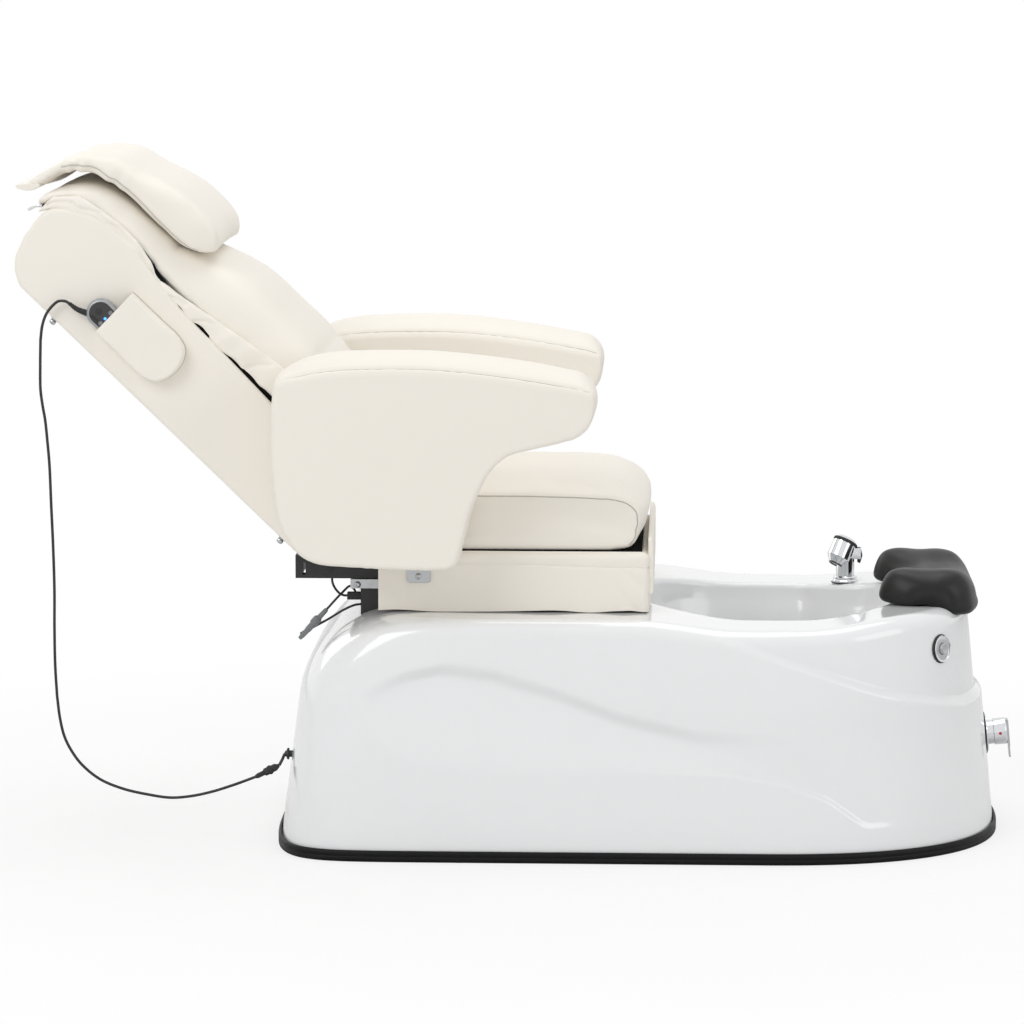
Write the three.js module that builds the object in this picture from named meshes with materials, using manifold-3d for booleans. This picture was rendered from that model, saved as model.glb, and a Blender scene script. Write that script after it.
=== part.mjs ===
// A reclining pedicure spa chair: a moulded tub with a foot basin carries a steel pedestal, on which
// an upholstered chair slides, with a back that reclines on a hinge and holds a massage carriage.
// Every length is in millimetres. +X points to the foot basin, -Y to the sitter's right, +Z up.
// The origin is on the floor, under the middle of the whole chair.

import * as THREE from "three";
import { mergeVertices } from "three/addons/utils/BufferGeometryUtils.js";
import Module from "manifold-3d";

const wasm = await Module();
wasm.setup();

// ---------- Driving dimensions ----------

const GAP = 0.3; // between pieces that touch
const SHEET = 3; // steel sheet

const CENTRE_SHIFT = 11; // of everything below along X, so that the chair's length is centred

// Tub
const TUB_MID_X = 400; // the station where the rounded front begins
const TUB_FRONT_REACH = 411; // from that station to the front of the skirt at the floor
const TUB_REAR_REACH = 808; // and to its rear
const TUB_HALF_WIDTH = 363;
const TUB_FOOT_Z = 5; // height of the skirt's lower edge above the floor
const TUB_WALL = 6;
const DECK_Z = 400; // top of the deck under the seat and at the front rim
const RIM_DIP = 17; // how much lower the rim is beside the basin
const RIM_DIP_START_X = 200;
const RIM_DIP_END_X = 660;
const RIM_DIP_RAMP = 180;
const SIDE_LEAN = 0.075; // how far each wall leans in, per millimetre of height
const FRONT_LEAN = 0.1;
const REAR_LEAN = 0.13;
const SIDE_BROW_RADIUS = 26;
const FRONT_BROW_RADIUS = 26;
const REAR_BROW_RADIUS = 150;
const NECK_RECESS = 12; // the skirt steps in above its upper ridge
const LEAF_HOLLOW = 13; // depth of the leaf-shaped hollow in each side
const STRIP_HEIGHT = 19; // bumper strip round the foot
const STRIP_PROUD = 5;
const STRIP_EASE = 1.5; // eased upper edge
const STRIP_TURN_IN = 14; // how far its foot turns in under the skirt

// Foot basin
const BASIN_MID_X = 417;
const BASIN_HALF_LENGTH = 223;
const BASIN_HALF_WIDTH = 194;
const BASIN_DEPTH = 268;
const BASIN_WALL = 6;
const BASIN_FLOOR_INSET = 62;
const LEDGE_REACH = 32; // how far the rim widens into the basin to carry the spray
const LEDGE_HALF_LENGTH = 48;

// Base frame inside the tub
const TUBE = 30; // square steel tube
const FOOT_HEIGHT = 20;
const FOOT_RADIUS = 22;
const BASE_HALF_Y = 165; // centre line of each long tube
const BASE_REAR_SPACE = 108; // from the foot of the leaning rear wall to the frame's rear tube
const BASE_REAR_X = TUB_MID_X - TUB_REAR_REACH + BASE_REAR_SPACE;
const BASE_FRONT_X = 610;
const POST_REAR_X = -140;
const POST_FRONT_X = 70;
const PROP_REAR_X = 350;
const PROP_FRONT_X = 484;
const PROP_Y = 70;
const PUMP_RADIUS = 50;
const PUMP_MOTOR_RADIUS = 42;
const PUMP_LIFT = 8; // of the pump chamber above the shelf
const PUMP_MOTOR_LENGTH = 117;
const PUMP_CHAMBER_LENGTH = 40;
const PUMP_STUB = 30; // length of the inlet and outlet stubs
const PUMP_INLET_RADIUS = 20;
const PUMP_OUTLET_RADIUS = 18;
const PUMP_FOOT_HALF_Y = 35;
const PUMP_Y = -75;
const SHELF_X = [30, 125]; // ends of the shelf that carries the pump and the control box
const CONTROL_BOX_Y = [30, 150];
const CONTROL_BOX_HEIGHT = 80;

// Pedestal and slide
const PEDESTAL_REAR_X = -268;
const PEDESTAL_FRONT_X = 178;
const PEDESTAL_TOP_Z = 430;
const PEDESTAL_WALL = 28;
const RAIL_Y = 170; // centre line of each slide rail
const RAIL_WIDTH = 34;
const RAIL_HEIGHT = 16;
const RAIL_WALL = 2.5;
const RAIL_LIP = 7;
const TIE_TOP_Z = 415; // top of the pedestal's cross ties
const SLIDE_TRAVEL = 100;
const SLIDE_MOTOR_X = [60, 145];
const SLIDE_MOTOR_Y = 60;
const SLIDE_MOTOR_HALF_Y = 30;
const SCREW_END_X = -90;
const SCREW_HEIGHT = 45; // of its axis above the deck
const SCREW_RADIUS = 6;
const SCREW_CLEARANCE = 0.5;
const NUT_X = [-80, -50];
const NUT_HALF = 12;

// Seat
const SEAT_FRAME_REAR_X = -378;
const SEAT_FRAME_HEIGHT = 39;
const SEAT_PAN_REAR_X = -290;
const SEAT_BASE_REAR_X = -234;
const SEAT_BASE_FRONT_X = 216;
const SEAT_BASE_HALF_Y = 240;
const SEAT_BASE_WALL = 12;
const SEAT_BASE_BOTTOM_Z = 403;
const SEAT_BOARD = 14;
const APRON_THICKNESS = 9;
const APRON_BOTTOM_Z = 430;
const APRON_TOP_Z = 523;
const CUSHION_REAR_X = -282;
const CUSHION_FRONT_X = 204;
const CUSHION_HALF_Y = SEAT_BASE_HALF_Y - 5;
const CUSHION_SIDE_HEIGHT = 98; // from its underside to the seam
const CUSHION_CROWN = 36;

// Arms
const ARM_BRACKET = 5.4; // steel plate between seat base and arm
const ARM_THICKNESS = 124;
const ARM_CROWN = 28;
const ARM_BRACKET_X = [-186, -146];
const ARM_BRACKET_Z = [450, 560];

// Back
const HINGE_X = -330;
const HINGE_Z = 470;
const HINGE_PIN_RADIUS = 8;
const LUG_RADIUS = 14;
const RECLINE_DEG = 45.8; // of the back from the vertical in its rest position
const BACK_HALF_Y = SEAT_BASE_HALF_Y - 8;
const SHELL_WALL = 6;
const BACK_RAIL_Y = RAIL_Y + 17; // centre of each flat steel rail in the back, outside the seat's beams
const BACK_RAIL_THICKNESS = 6;
const BACK_RAIL_DEPTH = 30;
const PAD_HALF_Y = BACK_HALF_Y - 3;
const PILLOW_HALF_Y = BACK_HALF_Y - 26;
const LEVER_LENGTH = 38; // from the hinge to the pin of the recline actuator
const LEVER_LEAD_DEG = 13.5; // how far forward of straight down the lever points at rest
const ACTUATOR_RADIUS = 14;
const ACTUATOR_ROD_RADIUS = 6;
const ACTUATOR_FRONT_X = -90;
const ACTUATOR_HANGER_X = [-130, -100];
const ACTUATOR_ROD_FRONT_X = -150;
const FORK_HALF_Y = 10;
const FORK_SLOT_HALF_Y = 5;

// Massage carriage, in the back's own frame
const CARRIAGE_LOW = 215;
const CARRIAGE_LENGTH = 110;
const WHEEL_RADIUS = 30;
const WHEEL_WIDTH = 26;
const WHEEL_Y = 70;

// Side pocket and handset, in the back's own frame
const POCKET_WIDTH = 90;
const POCKET_LOW = 403;
const POCKET_HIGH = 545;
const POCKET_REAR = 26;
const POCKET_DEPTH = 28;
const POCKET_CLOTH = 3;
const HANDSET_WIDTH = 48;
const HANDSET_THICKNESS = 20;
const HANDSET_LOW = 432;
const HANDSET_HIGH = 584;
const HANDSET_REAR = 32;
const HANDSET_BUTTON_RADIUS = 6;
const HANDSET_BUTTON_TRAVEL = 1.2;
const HANDSET_BUTTON_BELOW = 20; // from the handset's upper end down to its button
const HANDSET_WELL = 4; // depth of the button's well

// Footrest pad
const FOOTREST_HALF_Y = 158;
const FOOTREST_TOP_Z = 460;
const FOOTREST_FRONT_X = 781;
const FOOTREST_LIP = 16; // how far the pad hooks down over the front rim
const FOOTREST_CLEARANCE = 1;

// Fittings
const SPRAY_X = 559;
const SPRAY_Y = 172;
const SPRAY_FLANGE_RADIUS = 21;
const SPRAY_FLANGE_HEIGHT = 12;
const SPRAY_STEM_RADIUS = 16;
const SPRAY_STEM_HEIGHT = 44;
const SPRAY_HEAD_RADIUS = 21;
const SPRAY_HEAD_LENGTH = 50;
const SPRAY_SLEEVE_RADIUS = SPRAY_STEM_RADIUS + 2 * GAP + 2;
const SPRAY_SLEEVE_DEPTH = 14;
const SPRAY_WAY = new THREE.Vector3(-0.42, -0.3, -0.86).normalize(); // from the head's back to its nozzle
const SPRAY_EAR_Y = 8; // of each ear beside the lever
const SPRAY_LEVER_HALF_Y = 6;
const BUTTON_Z = 338;
const BUTTON_ANGLE_DEG = 36; // round the front corner, from straight ahead
const BUTTON_FLANGE_RADIUS = 23;
const BUTTON_SHANK_RADIUS = 14;
const BUTTON_CAP_RADIUS = 10;
const BUTTON_TRAVEL = 4;
const MIXER_Z = 156;
const MIXER_FLANGE_RADIUS = 35;
const MIXER_BODY_RADIUS = 21;
const MIXER_SHANK_RADIUS = 16;
const MIXER_BODY_END = 15; // distances out from the wall along the mixer's axis
const MIXER_CAP_END = 38;
const MIXER_LEVER_DROP = 46; // from the axis down to the lever's tip
const DRAIN_RADIUS = 22;
const DRAIN_BORE = 18;
const DRAIN_TAIL = 50;
const FITTING_RIM = 8; // how far each basin fitting's face covers the wall round its hole
const BASIN_FITTING_Z = 205;
const SUCTION_RADIUS = 38;
const JET_RADIUS = 24;
const LIGHT_RADIUS = 28;

// Cord gland and mains inlet in the rear wall
const GLAND_Y = -185;
const GLAND_Z = 146;
const GLAND_RADIUS = 6;
const INLET = { y: 130, z: 80, halfWidth: 24, halfHeight: 14, depth: 32 };

// Cords
const CORD_RADIUS = 2.4;
const LEAD_RADIUS = 2;
const CORD_SIDES = 8;

// ---------- Finishes ----------

/** A material of one finish, made new for each mesh. */
const FINISHES = {
  gelcoat: { color: 0xf1f1f2, roughness: 0.12, metalness: 0 },
  blackRubber: { color: 0x151515, roughness: 0.65, metalness: 0 },
  blackFoam: { color: 0x222222, roughness: 0.55, metalness: 0 },
  blackSteel: { color: 0x121212, roughness: 0.45, metalness: 0.2 },
  zincSteel: { color: 0xa7a7a2, roughness: 0.35, metalness: 0.9 },
  chrome: { color: 0xd8d8da, roughness: 0.08, metalness: 1 },
  ivoryHide: { color: 0xf3efe4, roughness: 0.5, metalness: 0 },
  whitePlastic: { color: 0xe9e9e6, roughness: 0.35, metalness: 0 },
  greyPlastic: { color: 0x6d6f73, roughness: 0.45, metalness: 0 },
  blackPlastic: { color: 0x191919, roughness: 0.4, metalness: 0 },
  lens: { color: 0xdfeaf2, roughness: 0.05, metalness: 0 },
};

// ---------- Solids ----------

const WELD = 1e-4;

/** A closed manifold solid from a geometry, with its shared corners merged and its faces outward. */
function solid(geometry) {
  const bare = new THREE.BufferGeometry();
  bare.setAttribute("position", geometry.getAttribute("position").clone());
  if (geometry.index) bare.setIndex(geometry.index.clone());
  const merged = mergeVertices(bare, WELD);
  const corners = merged.index.array;
  const kept = [];
  for (let i = 0; i < corners.length; i += 3) {
    const [a, b, c] = [corners[i], corners[i + 1], corners[i + 2]];
    if (a !== b && b !== c && c !== a) kept.push(a, b, c);
  }
  const vertProperties = new Float32Array(merged.attributes.position.array);
  const shape = (triVerts) => new wasm.Manifold(new wasm.Mesh({ numProp: 3, vertProperties, triVerts }));
  const made = shape(new Uint32Array(kept));
  return made.volume() > 0 ? made : shape(new Uint32Array(kept).reverse());
}

/** The geometry of a manifold solid. */
function geometryOf(made) {
  const mesh = made.getMesh();
  const positions = new Float32Array(mesh.numVert * 3);
  for (let i = 0; i < mesh.numVert; i++) {
    positions.set(mesh.vertProperties.subarray(i * mesh.numProp, i * mesh.numProp + 3), i * 3);
  }
  const geometry = new THREE.BufferGeometry();
  geometry.setAttribute("position", new THREE.BufferAttribute(positions, 3));
  geometry.setIndex(new THREE.BufferAttribute(new Uint32Array(mesh.triVerts), 1));
  geometry.computeVertexNormals();
  return geometry;
}

/** A named mesh of a solid in one finish, added to a group. */
function piece(group, name, made, finish) {
  const mesh = new THREE.Mesh(geometryOf(made), new THREE.MeshStandardMaterial(FINISHES[finish]));
  mesh.name = name;
  group.add(mesh);
  return mesh;
}

/** The sum of solids that touch or overlap. */
const join = (...solids) => solids.reduce((sum, next) => sum.add(next));

/** A box between two corners. */
function block(x0, x1, y0, y1, z0, z1) {
  const box = new THREE.BoxGeometry(x1 - x0, y1 - y0, z1 - z0);
  box.translate((x0 + x1) / 2, (y0 + y1) / 2, (z0 + z1) / 2);
  return solid(box);
}

/** A pair of boxes mirrored across the XZ plane. */
const pairOfBlocks = (x0, x1, y0, y1, z0, z1) =>
  join(block(x0, x1, y0, y1, z0, z1), block(x0, x1, -y1, -y0, z0, z1));

/** A round solid along a line, of one radius or tapered to a second. */
function rod(from, to, radius, endRadius = radius, sides = 20) {
  const start = new THREE.Vector3(...from);
  const line = new THREE.Vector3(...to).sub(start);
  const cylinder = new THREE.CylinderGeometry(endRadius, radius, line.length(), sides);
  cylinder.translate(0, line.length() / 2, 0);
  const turn = new THREE.Quaternion().setFromUnitVectors(new THREE.Vector3(0, 1, 0), line.normalize());
  cylinder.applyQuaternion(turn);
  cylinder.translate(start.x, start.y, start.z);
  return solid(cylinder);
}

/** A lathe solid about a line: [radius, distance along it] pairs that start and end on the axis. */
function turned(profile, from, direction, sides = 20) {
  const lathe = new THREE.LatheGeometry(
    profile.map(([radius, along]) => new THREE.Vector2(radius, along)),
    sides,
  );
  const axis = new THREE.Vector3(...direction).normalize();
  lathe.applyQuaternion(new THREE.Quaternion().setFromUnitVectors(new THREE.Vector3(0, 1, 0), axis));
  lathe.translate(...from);
  return solid(lathe);
}

/** An outline of [x, z] pairs extruded along Y. */
function slab(outline, y0, y1) {
  const shape = new THREE.Shape(outline.map(([x, z]) => new THREE.Vector2(x, z)));
  const extruded = new THREE.ExtrudeGeometry(shape, { depth: y1 - y0, bevelEnabled: false });
  extruded.rotateX(Math.PI / 2);
  extruded.translate(0, y1, 0);
  return solid(extruded);
}

/** A tube along a smooth curve through points, with flat ends. */
function tube(points, radius, sides = CORD_SIDES, stepsPerSpan = 2) {
  const curve = new THREE.CatmullRomCurve3(
    points.map((p) => new THREE.Vector3(...p)),
    false,
    "centripetal",
  );
  const section = new THREE.Shape();
  section.absarc(0, 0, radius, 0, 2 * Math.PI);
  const options = {
    steps: (points.length - 1) * stepsPerSpan,
    curveSegments: sides / 2,
    extrudePath: curve,
    bevelEnabled: false,
  };
  return solid(new THREE.ExtrudeGeometry(section, options));
}

/** A closed skin over rings of as many points each, with a fan over its first and its last ring. */
function skin(rings) {
  const count = rings[0].length;
  const points = rings.flat();
  const middle = (ring) => ring.reduce((sum, p) => sum.add(p), new THREE.Vector3()).divideScalar(count);
  const first = points.length;
  points.push(middle(rings[0]), middle(rings.at(-1)));
  const faces = [];
  for (let j = 0; j + 1 < rings.length; j++) {
    for (let i = 0; i < count; i++) {
      const next = (i + 1) % count;
      const [a, b] = [j * count + i, j * count + next];
      faces.push(a, b, b + count, a, b + count, a + count);
    }
  }
  const last = (rings.length - 1) * count;
  for (let i = 0; i < count; i++) {
    const next = (i + 1) % count;
    faces.push(first, next, i);
    faces.push(first + 1, last + i, last + next);
  }
  const geometry = new THREE.BufferGeometry().setFromPoints(points);
  geometry.setIndex(faces);
  return solid(geometry);
}

// ---------- Shapes of lines ----------

/** The value at x of a line through [x, value] pairs, level beyond its ends. */
function along(points, x) {
  const next = points.findIndex(([px]) => px >= x);
  if (next === 0) return points[0][1];
  if (next < 0) return points.at(-1)[1];
  const [[x0, y0], [x1, y1]] = [points[next - 1], points[next]];
  return y0 + ((y1 - y0) * (x - x0)) / (x1 - x0);
}

/** An outline of [x, z] pairs moved inward by a distance, each corner along its own normal. */
function inward(outline, distance) {
  const count = outline.length;
  const area = outline.reduce((sum, [x, z], i) => {
    const [nx, nz] = outline[(i + 1) % count];
    return sum + (x * nz - nx * z) / 2;
  }, 0);
  const side = Math.sign(area);
  return outline.map(([x, z], i) => {
    const [px, pz] = outline[(i + count - 1) % count];
    const [nx, nz] = outline[(i + 1) % count];
    const before = new THREE.Vector2(x - px, z - pz).normalize();
    const after = new THREE.Vector2(nx - x, nz - z).normalize();
    const way = before.add(after).normalize();
    return [x - side * way.y * distance, z + side * way.x * distance];
  });
}

/** A smooth rise from 0 to 1 as value goes from low to high. */
const rise = (value, low, high) => THREE.MathUtils.smoothstep(value, low, high);

// ---------- Tub ----------

const FRONT_SQUARENESS = 2.4; // exponent of the rounded front
const REAR_SQUARENESS = [18, 4]; // exponents of the nearly square rear, along and across
const TUB_STATIONS = 60;
const RIDGE_HALF = 8;
const CREASE_HALF = 4;
const NECK_START_X = 215; // where the step under the basin's rim begins, and where it is full
const NECK_FULL_X = 560;

// The lines of the side relief: x, and height as a share of the deck's.
const LOWER_RIDGE = [
  [-286, 0.62],
  [-275, 0.56],
  [-239, 0.47],
  [-171, 0.39],
  [-67, 0.36],
  [304, 0.37],
  [364, 0.36],
  [451, 0.32],
  [521, 0.25],
  [581, 0.14],
];
const CREASE = [
  [-286, 0.69],
  [-225, 0.77],
  [-161, 0.8],
  [-67, 0.775],
  [63, 0.69],
  [166, 0.6],
  [296, 0.53],
  [502, 0.515],
];
const UPPER_RIDGE = [
  [215, 1.02],
  [623, 0.7],
  [775, 0.61],
];
const HOLLOW_FADE = [
  [-286, 0],
  [-200, 1],
  [230, 1],
  [500, 0],
];

/** Height of the deck at x: level under the seat, lower beside the basin, level again in front. */
function deckHeight(x) {
  const down = rise(x, RIM_DIP_START_X, RIM_DIP_START_X + RIM_DIP_RAMP);
  const up = rise(x, RIM_DIP_END_X - RIM_DIP_RAMP, RIM_DIP_END_X);
  return DECK_Z - RIM_DIP * (down - up);
}

/** Where a station of the plan outline meets the deck, along X. */
function deckEdgeX(xi) {
  const front = TUB_FRONT_REACH - FRONT_LEAN * DECK_Z - FRONT_BROW_RADIUS - NECK_RECESS;
  const rear = TUB_REAR_REACH - REAR_LEAN * DECK_Z - REAR_BROW_RADIUS;
  return TUB_MID_X + xi * (xi > 0 ? front : rear);
}

/** Unit plan outline of the tub: [along, across] pairs evenly spaced round it. */
function tubStations() {
  const dense = [];
  const DENSE = 2000;
  for (let i = 0; i <= DENSE; i++) {
    const angle = (Math.PI * i) / DENSE;
    const [c, s] = [Math.cos(angle), Math.abs(Math.sin(angle))];
    const [px, py] = c >= 0 ? [FRONT_SQUARENESS, FRONT_SQUARENESS] : REAR_SQUARENESS;
    dense.push([Math.sign(c) * Math.abs(c) ** (2 / px), s ** (2 / py)]);
  }
  const place = ([xi, eta]) => [xi * (xi > 0 ? TUB_FRONT_REACH : TUB_REAR_REACH), eta * TUB_HALF_WIDTH];
  const lengths = [0];
  for (let i = 1; i < dense.length; i++) {
    const [[x0, y0], [x1, y1]] = [place(dense[i - 1]), place(dense[i])];
    lengths.push(lengths[i - 1] + Math.hypot(x1 - x0, y1 - y0));
  }
  const half = TUB_STATIONS / 2;
  const picked = [];
  for (let k = 0; k <= half; k++) {
    const target = (lengths.at(-1) * k) / half;
    picked.push(dense[Math.max(0, lengths.findIndex((length) => length >= target - 1e-6))]);
  }
  picked[0] = [1, 0];
  picked[half] = [-1, 0];
  const mirrored = picked.slice(1, half).reverse().map(([xi, eta]) => [xi, -eta]);
  return [...picked, ...mirrored];
}

/** How far a wall has rounded over at a drop below the deck. */
function rounding(radius, drop) {
  if (drop >= radius) return 0;
  return radius - Math.sqrt(radius ** 2 - (radius - Math.max(drop, 0)) ** 2);
}

/** A point of the tub's outer surface at a station and height, moved out by grow. */
function tubPoint([xi, eta], z, grow) {
  const baseX = TUB_MID_X + xi * (xi > 0 ? TUB_FRONT_REACH : TUB_REAR_REACH);
  const deck = deckHeight(deckEdgeX(xi));
  const drop = deck - z;
  const ridge = DECK_Z * along(UPPER_RIDGE, baseX);
  const stepIn = rise(z, ridge - RIDGE_HALF, ridge + RIDGE_HALF) * rise(baseX, NECK_START_X, NECK_FULL_X);
  const low = DECK_Z * along(LOWER_RIDGE, baseX);
  const crease = DECK_Z * along(CREASE, baseX);
  const deepening = rise(z, low, crease - CREASE_HALF);
  const closing = 1 - rise(z, crease - CREASE_HALF, crease + CREASE_HALF);
  const hollow = LEAF_HOLLOW * deepening * closing * along(HOLLOW_FADE, baseX);
  const side = SIDE_LEAN * z + rounding(SIDE_BROW_RADIUS, drop) + NECK_RECESS * stepIn + hollow;
  const front = FRONT_LEAN * z + rounding(FRONT_BROW_RADIUS, drop) + NECK_RECESS * stepIn;
  const rear = REAR_LEAN * z + rounding(REAR_BROW_RADIUS, drop);
  const reach = xi > 0 ? TUB_FRONT_REACH - front : TUB_REAR_REACH - rear;
  return new THREE.Vector3(
    TUB_MID_X + xi * (reach + grow),
    eta * (TUB_HALF_WIDTH - side + grow),
    z,
  );
}

/** Heights of the tub's rings at a station, from the skirt's foot up to the deck. */
function tubHeights([xi]) {
  const baseX = TUB_MID_X + xi * (xi > 0 ? TUB_FRONT_REACH : TUB_REAR_REACH);
  const deck = deckHeight(deckEdgeX(xi));
  const low = DECK_Z * along(LOWER_RIDGE, baseX);
  const crease = DECK_Z * along(CREASE, baseX);
  const browStart = deck - SIDE_BROW_RADIUS;
  const ridge = Math.min(DECK_Z * along(UPPER_RIDGE, baseX), browStart - 2 * RIDGE_HALF);
  return [
    TUB_FOOT_Z,
    low,
    crease - CREASE_HALF,
    crease + CREASE_HALF,
    Math.max((crease + ridge) / 2, crease + CREASE_HALF + 1),
    Math.max(ridge - RIDGE_HALF, crease + CREASE_HALF + 2),
    Math.max(ridge + RIDGE_HALF, crease + CREASE_HALF + 3),
    browStart,
    deck - 0.45 * SIDE_BROW_RADIUS,
    deck - 0.12 * SIDE_BROW_RADIUS,
    deck,
  ];
}

const DECK_SHARES = [0.8, 0.6, 0.36, 0.1];
const DECK_CENTRE_X = 100; // on the level part of the deck

/** A ring on the deck: its edge drawn in toward the deck's centre, and raised by lift. */
function deckRing(edge, share, lift) {
  return edge.map((p) => {
    const x = DECK_CENTRE_X + (p.x - DECK_CENTRE_X) * share;
    return new THREE.Vector3(x, p.y * share, deckHeight(x) + lift);
  });
}

/** The tub's whole outer form, filled, moved out by grow. */
function tubForm(grow = 0) {
  const stations = tubStations();
  const heights = stations.map(tubHeights);
  const rings = heights[0].map((_, level) =>
    stations.map((station, i) => tubPoint(station, heights[i][level], grow)),
  );
  rings[0].forEach((p) => p.setZ(p.z - grow));
  rings.at(-1).forEach((p) => p.setZ(p.z + grow));
  const edge = rings.at(-1);
  for (const share of DECK_SHARES) rings.push(deckRing(edge, share, grow));
  return skin(rings);
}

/** The space inside the skirt, open at the floor, with room for the hollows of its sides. */
function tubInside() {
  const backing = LEAF_HOLLOW + TUB_WALL;
  const stations = tubStations();
  const shares = [0, 0.62, 0.82, 0.93, 1];
  const plain = ([xi, eta], share) => {
    const ceiling = deckHeight(deckEdgeX(xi)) - TUB_WALL;
    const z = share * ceiling;
    const drop = ceiling - z;
    const side = SIDE_LEAN * z + rounding(SIDE_BROW_RADIUS, drop) + backing;
    const front = FRONT_LEAN * z + rounding(FRONT_BROW_RADIUS, drop) + NECK_RECESS + TUB_WALL;
    const rear = REAR_LEAN * z + rounding(REAR_BROW_RADIUS, drop) + backing;
    const reach = xi > 0 ? TUB_FRONT_REACH - front : TUB_REAR_REACH - rear;
    const height = share === 0 ? -TUB_WALL : z;
    return new THREE.Vector3(TUB_MID_X + xi * reach, eta * (TUB_HALF_WIDTH - side), height);
  };
  const rings = shares.map((share) => stations.map((station) => plain(station, share)));
  const edge = rings.at(-1);
  for (const share of DECK_SHARES) rings.push(deckRing(edge, share, -TUB_WALL));
  return skin(rings);
}

/** Point and outward normal of the front wall at a height, and an angle from straight ahead. */
function frontWall(z, angleDeg, side) {
  const angle = THREE.MathUtils.degToRad(angleDeg);
  const round = (a) => {
    const power = 2 / FRONT_SQUARENESS;
    return [Math.cos(a) ** power, side * Math.sin(a) ** power];
  };
  const at = tubPoint(round(angle), z, 0);
  const STEP = 0.01;
  const aside = tubPoint(round(angle + STEP), z, 0).sub(tubPoint(round(Math.max(angle - STEP, 0)), z, 0));
  const up = tubPoint(round(angle), z + 1, 0).sub(tubPoint(round(angle), z - 1, 0));
  const normal = new THREE.Vector3().crossVectors(aside, up).normalize();
  if (normal.x < 0) normal.negate();
  if (angleDeg === 0) normal.y = 0;
  return { at, normal: normal.normalize() };
}

// ---------- Foot basin ----------

const BASIN_SQUARENESS = 2.5;
const BASIN_STATIONS = 40;

/** A ring of the basin's outline, its edge moved in by an amount, at a height or that of the deck. */
function basinRing(inset, height, ledgeShare = 1) {
  const ring = [];
  for (let i = 0; i < BASIN_STATIONS; i++) {
    const angle = (2 * Math.PI * i) / BASIN_STATIONS;
    const power = 2 / BASIN_SQUARENESS;
    const [c, s] = [Math.cos(angle), Math.sin(angle)];
    const x = BASIN_MID_X + Math.sign(c) * Math.abs(c) ** power * (BASIN_HALF_LENGTH - inset);
    const y = Math.sign(s) * Math.abs(s) ** power * (BASIN_HALF_WIDTH - inset);
    const ledge = s > 0 ? LEDGE_REACH * ledgeShare * Math.exp(-(((x - SPRAY_X) / LEDGE_HALF_LENGTH) ** 2)) : 0;
    ring.push(new THREE.Vector3(x, y - ledge * Math.min(1, 2 * s), height ?? deckHeight(x)));
  }
  return ring;
}

const BASIN_FLOOR_Z = DECK_Z - RIM_DIP - BASIN_DEPTH;

/** The basin's inside, or with a thickness its outside, from the floor up to above the rim. */
function basinForm(thickness) {
  const floor = BASIN_FLOOR_Z - thickness;
  const levels = [
    [BASIN_FLOOR_INSET + 38, floor, 0],
    [BASIN_FLOOR_INSET, floor + 6, 0],
    [BASIN_FLOOR_INSET - 24, floor + 24, 0],
    [BASIN_FLOOR_INSET - 34, floor + 52, 0],
    [12, DECK_Z - RIM_DIP - 60, 0.75],
    [0, DECK_Z - RIM_DIP - 4, 1],
  ];
  const rings = levels.map(([inset, z, ledge]) => basinRing(inset - thickness, z, ledge));
  rings.push(basinRing(-thickness, DECK_Z + TUB_WALL));
  return skin(rings);
}

/** Distance of the basin's inner wall from its middle line across, at a height. */
const basinHalfWidthAt = (z) =>
  BASIN_HALF_WIDTH -
  along(
    [
      [BASIN_FLOOR_Z + 52, BASIN_FLOOR_INSET - 34],
      [DECK_Z - RIM_DIP - 60, 12],
    ],
    z,
  );

// Everything below is added to this group.
const chair = new THREE.Group();
const outerForm = tubForm();
const clearOfTub = tubForm(GAP);

const mixerSeat = frontWall(MIXER_Z, 0, -1);
const buttonSeat = frontWall(BUTTON_Z, BUTTON_ANGLE_DEG, -1);

/** A point out along a wall fitting's axis. */
const outFrom = (seat, distance) => seat.at.clone().addScaledVector(seat.normal, distance).toArray();

/** X of the rear wall at a height, on the flat of the rear. */
const rearWallX = (z) => TUB_MID_X - (TUB_REAR_REACH - REAR_LEAN * z);

/** Skirt and deck in one moulding, with the openings for the basin and the fittings. */
function makeSkirt() {
  const basinHole = skin([
    basinRing(-BASIN_WALL - GAP, TUB_WALL),
    basinRing(-BASIN_WALL - GAP, DECK_Z + TUB_WALL),
  ]);
  const deckZ = deckHeight(SPRAY_X);
  const inletX = rearWallX(INLET.z);
  return outerForm
    .subtract(tubInside())
    .subtract(basinHole)
    .subtract(rod(outFrom(mixerSeat, -60), outFrom(mixerSeat, 20), MIXER_SHANK_RADIUS + GAP))
    .subtract(rod(outFrom(buttonSeat, -60), outFrom(buttonSeat, 20), BUTTON_SHANK_RADIUS + GAP))
    .subtract(
      rod([SPRAY_X, SPRAY_Y, deckZ - 40], [SPRAY_X, SPRAY_Y, deckZ + 20], SPRAY_SLEEVE_RADIUS + GAP),
    )
    .subtract(rod([inletX - 40, GLAND_Y, GLAND_Z], [inletX + 60, GLAND_Y, GLAND_Z], GLAND_RADIUS + GAP))
    .subtract(
      block(
        inletX - 20,
        inletX + 60,
        INLET.y - INLET.halfWidth - GAP,
        INLET.y + INLET.halfWidth + GAP,
        INLET.z - INLET.halfHeight - GAP,
        INLET.z + INLET.halfHeight + GAP,
      ),
    );
}

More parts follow.
